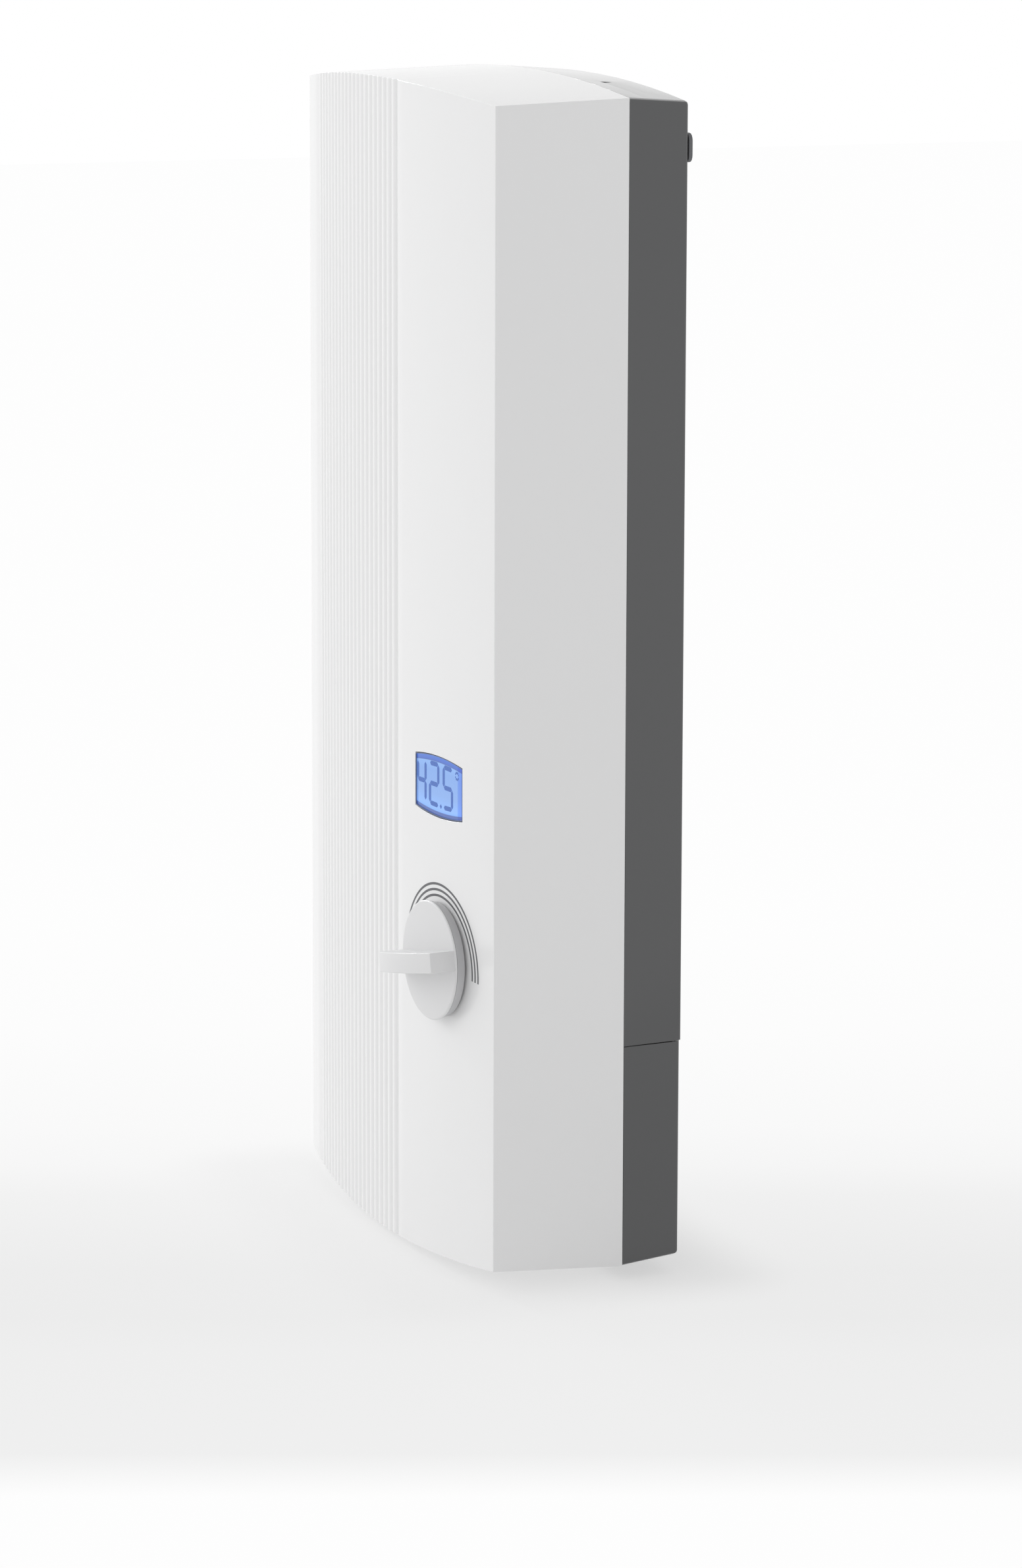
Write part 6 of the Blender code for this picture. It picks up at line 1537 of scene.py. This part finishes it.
def make_heating(brass, steel):
    low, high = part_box("heating_coil_1")
    left = (low.x + high.x) / 2
    radius = (high.x - low.x) / 2
    foot = at(left, -(low.y + high.y) / 2, low.z)
    length = high.z - low.z
    wound = wound_mesh(
        steel, foot + Vector((0, 0, COIL_WIRE + COIL_TAIL)), radius=radius - COIL_WIRE, wire=COIL_WIRE,
        height=length - COIL_TAIL * 2, turns=float(COIL_TURNS), steps=14,
    )
    ends = []
    for level in (0, length - COIL_TAIL):
        top = level + COIL_TAIL
        cap = [(0, level), (radius * 0.45, level), (radius * 0.9, level + 0.0012), (radius * 0.9, top - 0.0012)]
        cap += [(radius * 0.45, top - 0.0002), (0, top - 0.0002)]
        ends.append(turned(cap, foot, UPWARD, 24, 0.0002))
    coil = join_meshes("wound_heaters", [wound, *ends])
    row = {"columns": 3, "rows": 1, "column_step": CHANNEL_STEP}
    finish_copies(coil, steel, "plated_steel", numbered("heating_coil", 3), **row)
    low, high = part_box("phase_terminal_1")
    flat = (high.x - low.x) / 2 * math.cos(math.radians(30))
    base = at(left, -foot.y, low.z)
    rise = high.z - low.z
    nut_low = rise - 0.0077
    stud = [(0, 0), (0.0017, 0), (0.0022, 0.0006), (0.0022, rise - 0.0006), (0.0017, rise), (0, rise)]
    washer = [(0.0021, nut_low), (0.0049, nut_low), (0.0049, nut_low + 0.0008), (0.0021, nut_low + 0.0008)]
    nut = nut_profile(flat, 0.0021, nut_low + 0.0008, nut_low + 0.0054)
    terminal = join_meshes("stud_terminals", [
        turned(stud, base, UPWARD, 24, 0.0001),
        turned(washer, base, UPWARD, 32, 0.0001, closed=True),
        turned(nut, base, UPWARD, 48, 0, hexagon(flat), True),
    ])
    finish_copies(terminal, brass, "brass", numbered("phase_terminal", 3), 25, **row)


make_heating(brass, steel)


# On the block's front: the pressure cut-out with its red reset button in a collar, and the
# thermal cut-out. Both are black mouldings with plated blade contacts.
BLACK_COLOUR = (0.022, 0.022, 0.024)
RED_COLOUR = (0.50, 0.02, 0.02)
CUTOUT_RIBS = 30
BLADE = Vector((0.0048, 0.0038, 0.0008))


def ring_tree():
    """Copies of the input about the Z axis."""
    tree, size = geometry_tree("ring_of_copies", ("Count", "Int"))
    index = tree.nodes.new("GeometryNodeInputIndex").outputs[0]
    step = value_node(tree, "DIVIDE", math.tau, size["Count"])
    turn = add_node(tree, "ShaderNodeCombineXYZ", {"Z": value_node(tree, "MULTIPLY", index, step)})
    points = points_at(tree, size["Count"])
    return end_tree(tree, size, on_points(tree, points, size["Geometry"], Rotation=turn.outputs[0]))


RING = ring_tree()


def blades(name, places, material):
    parts = [slab(place - BLADE / 2, place + BLADE / 2, 0.00015) for place in places]
    turn = Matrix.Rotation(math.radians(90), 4, "X")
    for part, place in zip(parts, places):
        placed(part, Matrix.Translation(place) @ turn @ Matrix.Translation(-place))
    finish_parts(name, parts, material, "chassis")


def make_cutouts(steel):
    black = moulded("black_plastic", BLACK_COLOUR, 0.42, mottle=0.15, grain=0.5, scale=1400)
    red = moulded("red_plastic", RED_COLOUR, 0.38, mottle=0.05, grain=0.2, scale=1400)
    base, low, high = middle_of("pressure_cutout")
    deck = 0.0114
    top = high.y - low.y
    profile = [
        (0, 0), (0.0150, 0), (0.0150, 0.0018), (0.0141, 0.0024), (0.0141, 0.0088), (0.0146, 0.0094),
        (0.0146, deck - 0.0006), (0.0140, deck), (0.0108, deck), (0.0104, deck - 0.0008),
        (0.0084, deck - 0.0008), (0.0080, deck), (0.0080, top - 0.0006), (0.0076, top), (0.0059, top),
        (0.0053, top - 0.0006), (0.0053, top - 0.0080), (0, top - 0.0080),
    ]
    rib = slab(Vector((0.0136, -0.0005, 0.0026)), Vector((0.01475, 0.0005, 0.0090)), 0.0002, 1)
    ribs = join_meshes("ring", [rib])
    ribs = grown_mesh(ribs, RING, facing(base, OUTWARD), count=CUTOUT_RIBS, material=black)
    parts = [turned(profile, base, OUTWARD, 64, 0.0001), ribs]
    finish_parts("pressure_switch", parts, black, "chassis", "black_plastic", ["pressure_cutout"])
    button_base, low, high = middle_of("reset_button")
    tall = high.y - low.y
    dome = [
        (0, 0), (0.0050, 0), (0.0050, tall - 0.0008), (0.0046, tall - 0.0003), (0.0036, tall),
        (0.0032, tall - 0.0005), (0.0012, tall - 0.0005), (0.0008, tall), (0, tall),
    ]
    button = turned(dome, button_base, OUTWARD, 40, 0.0001)
    finish_parts("red_reset_button", [button], red, "reset", "red_plastic", ["reset_button"])
    centre, low, high = middle_of("thermal_cutout")
    tall = high.y - low.y
    cap = [
        (0, 0), (0.0090, 0), (0.0090, 0.0012), (0.0080, 0.0016), (0.0080, 0.0040), (0.0076, 0.0044),
        (0.0076, tall - 0.0006), (0.0070, tall), (0, tall),
    ]
    thermal = turned(cap, centre, OUTWARD, 48, 0.0001)
    finish_parts("thermal_switch", [thermal], black, "chassis", "black_plastic", ["thermal_cutout"])
    places = [centre + at(x, tall + 0.0018, 0) for x in (-0.0046, 0.0046)]
    places += [base + at(x, deck + 0.0014, z) for x in (-0.0112, 0.0112) for z in (-0.0022, 0.0022)]
    blades("cutout_contacts", places, steel)
    return black


black = make_cutouts(steel)


# The outlet temperature sensor screws into the outlet fitting: a steel probe, a hexagon collar
# and a black plug socket with two pins.
SENSOR_FLAT = 0.0052


def make_outlet_sensor(black, steel):
    node = "outlet_temperature_sensor"
    base, low, high = middle_of(node)
    length = high.y - low.y
    head = length - 0.0080
    collar = nut_profile(SENSOR_FLAT, 0.0018, head, head + 0.0030)
    plug = [
        (0.0018, head + 0.0030), (0.0048, head + 0.0030), (0.0048, length - 0.0003), (0.0045, length),
        (0.0037, length), (0.0037, head + 0.0045), (0.0018, head + 0.0045),
    ]
    parts = [
        turned(collar, base, OUTWARD, 48, 0, hexagon(SENSOR_FLAT), True),
        turned(plug, base, OUTWARD, 40, 0.0001, closed=True),
    ]
    finish_parts("sensor_plug", parts, black, "chassis", "black_plastic", [node])
    probe = [(0, 0), (0.0012, 0), (0.0019, 0.0008), (0.0019, head + 0.0046), (0, head + 0.0046)]
    pin = [(0, 0), (0.0005, 0), (0.0005, 0.0030), (0.0003, 0.0033), (0, 0.0033)]
    parts = [turned(probe, base, OUTWARD, 24, 0.0001)]
    parts += [turned(pin, base + at(x, head + 0.0044, 0), OUTWARD, 12, 0) for x in (-0.0015, 0.0015)]
    finish_parts("sensor_probe", parts, steel, "chassis", None, [node])


make_outlet_sensor(black, steel)


# The flow sensor between inlet and cold pipe: a ribbed black body, a nylon bearing with a bar
# in its foot, and the blue turbine rotor whose four vanes turn in it.
BLUE_COLOUR = (0.03, 0.14, 0.42)
BODY_RIBS = 16
BEARING_BAR_Z = -0.3350


def make_flow_sensor(black, nylon):
    blue = moulded("blue_plastic", BLUE_COLOUR, 0.42, mottle=0.08, scale=1400)
    low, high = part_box("flow_sensor_body")
    foot = Vector(((low.x + high.x) / 2, (low.y + high.y) / 2, low.z))
    tall = high.z - low.z
    profile = [
        (0.0093, 0), (0.0134, 0), (0.0140, 0.0006), (0.0140, 0.0050), (0.0134, 0.0056), (0.0126, 0.0062),
        (0.0126, 0.0330), (0.0140, 0.0344), (0.0140, 0.0384), (0.0120, 0.0394), (0.0098, tall - 0.0006),
        (0.0092, tall), (0.0053, tall), (0.0053, tall - 0.0060), (0.0093, tall - 0.0060),
    ]
    rib = slab(Vector((0.0120, -0.0006, 0.0060)), Vector((0.0137, 0.0006, 0.0340)), 0.0002, 1)
    ribs = join_meshes("ring", [rib])
    ribs = grown_mesh(ribs, RING, Matrix.Translation(foot), count=BODY_RIBS, material=black)
    bar = slab(
        Vector((foot.x - 0.0096, foot.y - 0.0015, BEARING_BAR_Z + 0.0002)),
        Vector((foot.x + 0.0096, foot.y + 0.0015, BEARING_BAR_Z + 0.0028)),
    )
    boss = [(0.0015, 0), (0.0028, 0), (0.0030, 0.0002), (0.0030, 0.0030), (0, 0.0030), (0, 0.0016)]
    boss.append((0.0015, 0.0016))
    boss = turned(boss, Vector((foot.x, foot.y, BEARING_BAR_Z)), UPWARD, 32, 0, closed=True)
    parts = [turned(profile, foot, UPWARD, 64, 0.0001, closed=True), ribs, bar, boss]
    finish_parts("ribbed_sensor_body", parts, black, "chassis", "black_plastic", ["flow_sensor_body"])
    bearing = softened("sensor_bearing", [solid_copy("rotor_bearing")], 0.0002)
    finish_piece(bearing, nylon, "chassis", "natural_nylon", ["rotor_bearing"])
    rotor = softened("vaned_rotor", [solid_copy("turbine_rotor")], 0.0002)
    finish_piece(rotor, blue, "turbine", "blue_plastic", ["turbine_rotor"])
    return blue


blue = make_flow_sensor(black, nylon)


# Two bent copper pipes carry the water from the flow sensor up to the block's side, and from
# the block's foot down to the outlet. A bead is rolled on each where it enters its seat.
COPPER_COLOUR = (0.66, 0.33, 0.21)
PIPE_RADIUS = 0.0050
PIPE_BEND = 0.010
PIPE_BEAD = 0.0062


def tube_tree():
    """A round tube along the edges of the input, its corners bent to a radius."""
    tree, size = geometry_tree("bent_tube", "Radius", "Bend", ("Sides", "Int"), ("Bend Steps", "Int"))
    curve = add_node(tree, "GeometryNodeMeshToCurve", {"Mesh": size["Geometry"]}).outputs["Curve"]
    bent = {"Curve": curve, "Radius": size["Bend"], "Count": size["Bend Steps"], "Limit Radius": True}
    bent = add_node(tree, "GeometryNodeFilletCurve", bent, mode="POLY").outputs["Curve"]
    return end_tree(tree, size, sweep(tree, bent, round_profile(tree, size["Radius"], size["Sides"])))


BENT_TUBE = tube_tree()


def tube_mesh(route, material, **sizes):
    """The mesh of a tube along a route of points."""
    line = points_piece("route", route, [(i, i + 1) for i in range(len(route) - 1)])
    return grown_mesh(line, BENT_TUBE, material=material, bend_steps=10, **sizes)


def bead(base, direction):
    inner, shoulder = PIPE_RADIUS * 0.96, PIPE_BEAD - 0.0006
    ring = [(inner, 0), (shoulder, 0), (PIPE_BEAD, 0.0006), (PIPE_BEAD, 0.0014), (shoulder, 0.0020)]
    ring.append((inner, 0.0020))
    return turned(ring, base, direction, 36, 0.0001, closed=True)


def make_pipes():
    copper = moulded("copper", COPPER_COLOUR, 0.36, mottle=0.14, scale=500, Metallic=1)
    middle = (CONNECTION_Z + 0.024 - 0.303) / 2
    routes = {
        "cold": [
            (CONNECTION_X, -0.329), (CONNECTION_X, -0.309), (0.003, -0.309), (0.003, -0.118), (-0.012, -0.118),
        ],
        "hot": [(-0.078, -0.299), (-0.078, middle), (-CONNECTION_X, middle), (-CONNECTION_X, -0.375)],
    }
    beads = {
        "cold": ((CONNECTION_X, -0.3248, UPWARD), (-0.0078, -0.118, Vector((1, 0, 0)))),
        "hot": ((-0.078, -0.3032, -UPWARD), (-CONNECTION_X, -0.3708, UPWARD)),
    }
    for name, route in routes.items():
        path = [at(x, PARTING_OUT, z) for x, z in route]
        parts = [tube_mesh(path, copper, radius=PIPE_RADIUS, bend=PIPE_BEND, sides=32)]
        parts += [bead(at(x, PARTING_OUT, z), direction) for x, z, direction in beads[name]]
        finish_parts(f"{name}_bent_pipe", parts, copper, "chassis", "copper", [f"{name}_pipe"])


make_pipes()


# The power board stands on posts beside the block. Its green lacquer shows the tracks, and it
# carries three switches with bolted tabs, the blue safety relay and smaller parts.
LACQUER = (0.018, 0.135, 0.055)
TRACK = (0.040, 0.235, 0.095)
TRIAC_STEP = 0.030
PACKAGE_TOP = 0.013


def scatter_tree():
    """Copies of a blank on the input's points, each stretched to the size kept at its point."""
    tree, size = geometry_tree("stretched_copies", ("Blank", "Object"))
    blank = add_node(tree, "GeometryNodeObjectInfo", {"Object": size["Blank"]}).outputs["Geometry"]
    kept = add_node(tree, "GeometryNodeInputNamedAttribute", {"Name": "size"}, data_type="FLOAT_VECTOR")
    copies = on_points(tree, size["Geometry"], blank, Scale=kept.outputs["Attribute"])
    return end_tree(tree, size, copies)


SCATTER = scatter_tree()


def fitted(name, blank, places, matrix, material, body):
    """Copies of a blank on a board's face. Each place is (x, up, width, height, depth)."""
    piece = points_piece(name, [(x, up, 0) for x, up, *_ in places])
    sizes = piece.data.attributes.new("size", "FLOAT_VECTOR", "POINT")
    sizes.data.foreach_set("vector", [value for place in places for value in place[2:]])
    tool = join_meshes("blank", [blank])
    grow(piece, SCATTER, blank=tool, material=material)
    freeze(piece)
    bpy.data.objects.remove(tool)
    piece.data.transform(matrix)
    return finish_piece(piece, material, body)


def block_blank():
    return slab(Vector((-0.5, -0.5, 0)), Vector((0.5, 0.5, 1)), 0.06)


def can_blank():
    profile = [
        (0, 0), (0.5, 0), (0.5, 0.08), (0.47, 0.12), (0.5, 0.16), (0.5, 0.96), (0.46, 1), (0.40, 1),
        (0.38, 0.97), (0, 0.97),
    ]
    return turned(profile, Vector(), UPWARD, 28, 0)


def joint_blank():
    return turned([(0, 0), (0.5, 0), (0.38, 0.4), (0.2, 0.8), (0.12, 1), (0, 1)], Vector(), UPWARD, 12, 0)


def make_board_material():
    """Green lacquer with paler tracks in blocks, from the object's own coordinates."""
    material = bpy.data.materials.new("circuit_board")
    material.use_nodes = True
    tree = material.node_tree
    place = tree.nodes.new("ShaderNodeTexCoord").outputs["Object"]
    parts = add_node(tree, "ShaderNodeSeparateXYZ", {0: place}).outputs
    flat = add_node(tree, "ShaderNodeCombineXYZ", {"X": parts["X"], "Y": parts["Z"]}).outputs[0]
    bricks = {
        "Vector": flat, "Scale": 62, "Mortar Size": 0.045, "Mortar Smooth": 0.1, "Brick Width": 0.8,
        "Row Height": 0.22, "Color1": (*LACQUER, 1), "Mortar": (*TRACK, 1),
        "Color2": (LACQUER[0] * 0.7, LACQUER[1] * 0.75, LACQUER[2] * 0.7, 1),
    }
    bricks = add_node(tree, "ShaderNodeTexBrick", bricks, offset=0.37, squash=0.6, squash_frequency=3).outputs
    noise = add_node(tree, "ShaderNodeTexNoise", {"Scale": 34, "Vector": place})
    some = value_node(tree, "GREATER_THAN", noise.outputs["Fac"], 0.44)
    mix = {"A": (*LACQUER, 1), "B": bricks["Color"], "Factor": some}
    mix = add_node(tree, "ShaderNodeMix", mix, data_type="RGBA")
    height = value_node(tree, "MULTIPLY", value_node(tree, "SUBTRACT", 1, bricks["Fac"]), -1)
    bump = add_node(tree, "ShaderNodeBump", {"Distance": 0.00004, "Height": height})
    set_inputs(tree.nodes["Principled BSDF"], {
        "Base Color": mix.outputs["Result"], "Normal": bump.outputs["Normal"], "Roughness": 0.36,
        "Coat Weight": 0.4,
    })
    return material


def panelled(low, high, inset, depth, width):
    """A block whose outward face has a sunk panel."""
    bm = slab(low, high, 0)
    front = [min(bm.faces, key=lambda face: face.calc_center_median().y)]
    bmesh.ops.inset_region(bm, faces=front, thickness=inset, depth=-depth)
    return soften(bm, width)


def make_switches(black, steel):
    """The three power switches: one is made, with its tab, legs and bolt, and then copied upwards."""
    low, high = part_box("triac_3")
    across = (low.x + high.x) / 2
    tab = join_meshes("switch_tabs", [slab(Vector((low.x, high.y - 0.0013, low.z + 0.003)), high, 0.0003)])
    hole = at(across, -high.y, high.z - 0.0042)
    carve(tab, turned([(0, -0.001), (0.0019, -0.001), (0.0019, 0.003), (0, 0.003)], hole, OUTWARD, 24, 0))
    parts = [tab.data.copy()]
    bpy.data.objects.remove(tab)
    for leg in (across - 0.0045, across, across + 0.0045):
        foot = Vector((leg - 0.0006, high.y - 0.0026, low.z))
        parts.append(slab(foot, Vector((leg + 0.0006, high.y - 0.0019, low.z + 0.0042)), 0.0001))
    bolt = [(0, 0), (0.0034, 0), (0.0034, 0.0010), (0.0028, 0.0016), (0.0012, 0.0018), (0.0010, 0.0012)]
    bolt.append((0, 0.0012))
    parts.append(turned(bolt, hole + at(0, 0.0013, 0), OUTWARD, 24, 0.0001))
    tabs = join_meshes("bolted_tabs", parts)
    body = slab(
        Vector((low.x + 0.0003, low.y, low.z + 0.003)),
        Vector((high.x - 0.0003, high.y - 0.0013, low.z + PACKAGE_TOP)), 0.0006, 3,
    )
    bodies = join_meshes("switch_bodies", [body])
    mark = at(across - 0.0045, -low.y - 0.0002, low.z + PACKAGE_TOP - 0.0022)
    carve(bodies, turned([(0, 0), (0.0009, 0), (0.0011, 0.001), (0, 0.001)], mark, OUTWARD, 20, 0))
    for piece, material, slot in ((tabs, steel, None), (bodies, black, "black_plastic")):
        finish_copies(piece, material, slot, numbered("triac", 3), columns=1, rows=3, row_step=TRIAC_STEP)


def make_power_board(black, steel, blue, nylon):
    green = make_board_material()
    low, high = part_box("power_board")
    board = softened("power_laminate", [solid_copy("power_board")], 0.00015)
    finish_piece(board, green, "chassis", "circuit_board", ["power_board"])
    face = Matrix.Translation((0, low.y, 0)) @ Matrix.Rotation(math.radians(90), 4, "X")
    corners = [(x, z) for x in (low.x + 0.006, high.x - 0.006) for z in (low.z + 0.006, high.z - 0.006)]
    screws = [(*corner, 0.0060, 0.0060, 0.0016) for corner in corners]
    fitted("board_screws", can_blank(), screws, face, steel, "chassis")
    chips = [
        (0.078, -0.130, 0.026, 0.008, 0.0034), (0.060, -0.158, 0.009, 0.016, 0.0032),
        (0.090, -0.225, 0.010, 0.010, 0.0022),
    ]
    chips += [(0.0215, z, 0.0036, 0.0090, 0.0036) for z in (-0.118, -0.148, -0.178, -0.226, -0.246)]
    chips += [(0.056, z, 0.0060, 0.0040, 0.0020) for z in (-0.186, -0.194, -0.202)]
    fitted("board_chips", block_blank(), chips, face, black, "chassis")
    chokes = [
        (0.080, -0.196, 0.024, 0.021, 0.0180), (0.060, -0.108, 0.016, 0.0085, 0.0090),
        (0.088, -0.108, 0.012, 0.0085, 0.0090), (0.036, -0.262, 0.018, 0.009, 0.0085),
    ]
    fitted("board_blocks", block_blank(), chokes, face, nylon, "chassis")
    cans = [
        (0.090, -0.156, 0.013, 0.013, 0.020), (0.074, -0.158, 0.010, 0.010, 0.016),
        (0.056, -0.224, 0.008, 0.008, 0.012), (0.070, -0.224, 0.008, 0.008, 0.012),
    ]
    fitted("board_capacitors", can_blank(), cans, face, blue, "chassis")
    joints = [(0.0205 + 0.0045 * i, -0.2035, 0.0022, 0.0022, 0.0010) for i in range(7)]
    joints += [(0.0640 + 0.0032 * i, -0.1185, 0.0020, 0.0020, 0.0010) for i in range(9)]
    joints += [(0.0350, -0.2150 - 0.0042 * i, 0.0024, 0.0024, 0.0010) for i in range(5)]
    fitted("board_joints", joint_blank(), joints, face, steel, "chassis")
    rows = (-0.120, -0.1275, -0.135, -0.1425, -0.172, -0.2105)
    small = [(x, z, 0.0018, 0.0034, 0.0012) for x in (0.0505, 0.0665, 0.0950) for z in rows]
    fitted("board_small_parts", block_blank(), small, face, nylon, "chassis")
    make_switches(black, steel)
    low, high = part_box("safety_relay")
    skirt = slab(Vector((low.x, high.y - 0.0022, low.z)), high, 0.0003)
    inset = Vector((0.0006, 0, 0.0006))
    case = panelled(low + inset, Vector((high.x, high.y - 0.0020, high.z)) - inset, 0.0022, 0.0003, 0.0006)
    finish_parts("sealed_relay", [skirt, case], blue, "chassis", "blue_plastic", ["safety_relay"])
    return green


green = make_power_board(black, steel, blue, nylon)


# The mains terminal block with its four slotted clamp screws, and the three brown leads that run
# from it to the heater's terminals, where crimped sleeves hold them on the studs.
LEAD_COLOUR = (0.115, 0.045, 0.018)
LEAD_RADIUS = 0.00175
LEAD_BEND = 0.009
POLE_STEP = 0.0165
LEAD_LEVELS = (-0.073, -0.067, -0.061)
LEAD_OUT = 0.01685
SLEEVE = (
    (0.0024, -0.0021), (0.0031, -0.0021), (0.0031, 0.0006), (0.0024, 0.0020), (0.0024, 0.0052),
    (0.00177, 0.0052), (0.00177, 0.0003), (0.0024, 0.0001),
)


def make_mains(nylon, steel):
    node = "mains_terminal_block"
    low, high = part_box(node)
    first_x = low.x + POLE_STEP / 2
    between = first_x + POLE_STEP / 2
    sets = [
        (4, 1, POLE_STEP, (first_x, low.y, (low.z + high.z) / 2), (0.0128, 0.0036, 0.0110)),
        (4, 1, POLE_STEP, (first_x, low.y + 0.0135, low.z), (0.0100, 0.0095, 0.0080)),
        (3, 1, POLE_STEP, (between, low.y, low.z), (0.0014, 0.0200, 0.0060)),
        (3, 1, POLE_STEP, (between, low.y, high.z), (0.0014, 0.0200, 0.0060)),
    ]
    body = pocketed(join_meshes("four_pole_block", [solid_copy(node)]), sets, nylon)
    finish_piece(rounded(body, 0.00035, 2, 40), nylon, "chassis", "natural_nylon", [node])
    names = numbered("terminal_screw", 4)
    base, low, high = middle_of(names[0])
    length = high.y - low.y
    head = [(0, 0), (0.0029, 0), (0.0029, length - 0.0006), (0.0025, length - 0.0001), (0, length)]
    screw = join_meshes("clamp_screws", [turned(head, base, OUTWARD, 32, 0.0001)])
    reach = Vector((0.0040, 0, 0.00045))
    carve(screw, slab(base - reach + at(0, length - 0.0011, 0), base + reach + at(0, length + 0.001, 0), 0))
    finish_copies(screw, steel, "plated_steel", names, columns=4, rows=1, column_step=POLE_STEP)
    brown = moulded("lead_insulation", LEAD_COLOUR, 0.45, mottle=0.06, grain=0.2, scale=1500)
    sleeves = []
    names = numbered("phase_lead", 3)
    for i, (name, level) in enumerate(zip(names, LEAD_LEVELS)):
        low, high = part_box(name)
        x = low.x + LEAD_RADIUS
        route = [at(high.x, LEAD_OUT, level), at(high.x - 0.0137, LEAD_OUT, level)]
        route += [at(x + 0.014, PARTING_OUT, level), at(x, PARTING_OUT, level)]
        route.append(at(x, PARTING_OUT, low.z + 0.0001))
        lead = tube_mesh(route, brown, radius=LEAD_RADIUS, bend=LEAD_BEND, sides=16)
        finish_parts(f"brown_lead_{i + 1}", [lead], brown, "chassis", "lead_insulation", [name])
        sleeves.append(turned(SLEEVE, at(x, PARTING_OUT, low.z), UPWARD, 28, 0.0001, closed=True))
    finish_parts("crimped_sleeves", sleeves, steel, "chassis", None, names)


make_mains(nylon, steel)


# The controls on the cover: a green board on four posts, the grey holder that presses the lit
# panel to the window, and the potentiometer whose flatted steel shaft carries the knob.
HOLDER_COLOUR = (0.26, 0.28, 0.30)
BOARD_REAR = 0.0159
HOLDER_WALL = 0.0021
SHAFT_FLAT = 0.0022


def local_box(node):
    """A node's box in the frame of the knob's axis."""
    spots = [CONTROL_FRAME.inverted() @ vert.co for vert in solid_copy(node).verts]
    return [Vector([side(spot[i] for spot in spots) for i in range(3)]) for side in (min, max)]


def make_controls(green, black, steel, blue, nylon):
    board = softened("control_laminate", [solid_copy("control_board")], 0.00015)
    finish_piece(board, green, "cover", "circuit_board", ["control_board"])
    rear = CONTROL_FRAME @ Matrix.Translation((0, BOARD_REAR, 0)) @ Matrix.Rotation(math.radians(-90), 4, "X")
    chips = [
        (-0.004, -0.040, 0.012, 0.012, 0.0020), (0.013, -0.022, 0.006, 0.010, 0.0018),
        (-0.014, -0.016, 0.006, 0.005, 0.0018),
    ]
    fitted("control_chips", block_blank(), chips, rear, black, "cover")
    plugs = [(0.0, -0.0865, 0.018, 0.0062, 0.0058), (-0.020, -0.056, 0.0058, 0.014, 0.0058)]
    rows = (0.006, 0.014, 0.030, 0.052, 0.060, 0.068)
    small = [(x, -z, 0.0016, 0.0030, 0.0011) for x in (-0.0180, 0.0060, 0.0200) for z in rows]
    fitted("control_plugs", block_blank(), plugs + small, rear, nylon, "cover")
    joints = [(-0.0165 + 0.0030 * i, -0.0785, 0.0018, 0.0018, 0.0009) for i in range(12)]
    joints += [(-0.005 + 0.005 * i, 0.0085, 0.0024, 0.0024, 0.0010) for i in range(3)]
    fitted("control_joints", joint_blank(), joints, rear, steel, "cover")
    screws = [(x, -z, 0.0052, 0.0052, 0.0016) for x in (-POST_SPREAD, POST_SPREAD) for z in POST_HEIGHTS]
    fitted("control_screws", can_blank(), screws, rear, steel, "cover")
    grey = moulded("display_unit", HOLDER_COLOUR, 0.45, mottle=0.08, grain=0.4, scale=1300)
    holder = placed(panelled(*local_box("display_module"), HOLDER_WALL, 0.0010, 0.0003), CONTROL_FRAME)
    finish_parts("panel_holder", [holder], grey, "cover", "display_unit", ["display_module"])
    potentiometer = softened("rotary_potentiometer", [solid_copy("potentiometer")], 0.0004)
    finish_piece(potentiometer, blue, "cover", "blue_plastic", ["potentiometer"])
    low, high = local_box("knob_shaft")
    radius = (high.x - low.x) / 2
    profile = [
        (0, -high.y), (radius * 0.9, -high.y), (radius, -high.y + 0.0004), (radius, -low.y - 0.0005),
        (radius * 0.82, -low.y), (0, -low.y),
    ]
    shaft = join_meshes("flatted_shaft", [placed(turned(profile, Vector(), OUTWARD, 36, 0), CONTROL_FRAME)])
    cutter = slab(at(-0.004, -0.0030, SHAFT_FLAT), at(0.004, -low.y + 0.001, 0.005), 0)
    carve(shaft, placed(cutter, CONTROL_FRAME))
    finish_piece(shaft, steel, "knob", "plated_steel", ["knob_shaft"], 25)


make_controls(green, black, steel, blue, nylon)


# The captive screw under the cover: a pan head with a cross slot below, its thread above, and
# the square nut it turns in.
THREAD_WIRE = 0.00028
THREAD_TURNS = 11


def make_cover_screw(steel):
    low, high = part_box("cover_screw")
    foot = Vector(((low.x + high.x) / 2, (low.y + high.y) / 2, low.z))
    wide = (high.x - low.x) / 2
    tall = high.z - low.z
    profile = [(0, 0), (wide * 0.6, 0), (wide * 0.9, 0.0004), (wide, 0.0012), (wide, 0.0022), (0.0014, 0.0022)]
    profile += [(0.0014, tall - 0.0008), (0.0009, tall), (0, tall)]
    height = tall - 0.0045
    base = foot + Vector((0, 0, tall - 0.0010 - height))
    thread = wound_mesh(
        steel, base, radius=0.0014, wire=THREAD_WIRE, height=height, turns=float(THREAD_TURNS), steps=16
    )
    screw = join_meshes("captive_screw", [turned(profile, foot, UPWARD, 32, 0.0001), thread])
    depth = Vector((0, 0, 0.0013))
    for reach in (Vector((0.0019, 0.0004, 0)), Vector((0.0004, 0.0019, 0))):
        carve(screw, slab(foot - reach - depth, foot + reach + depth, 0))
    finish_piece(screw, steel, "cover", "plated_steel", ["cover_screw"])
    nut = softened("square_nut", [solid_copy("cover_screw_nut")], 0.0003)
    finish_piece(nut, steel, "cover", "plated_steel", ["cover_screw_nut"])


make_cover_screw(steel)
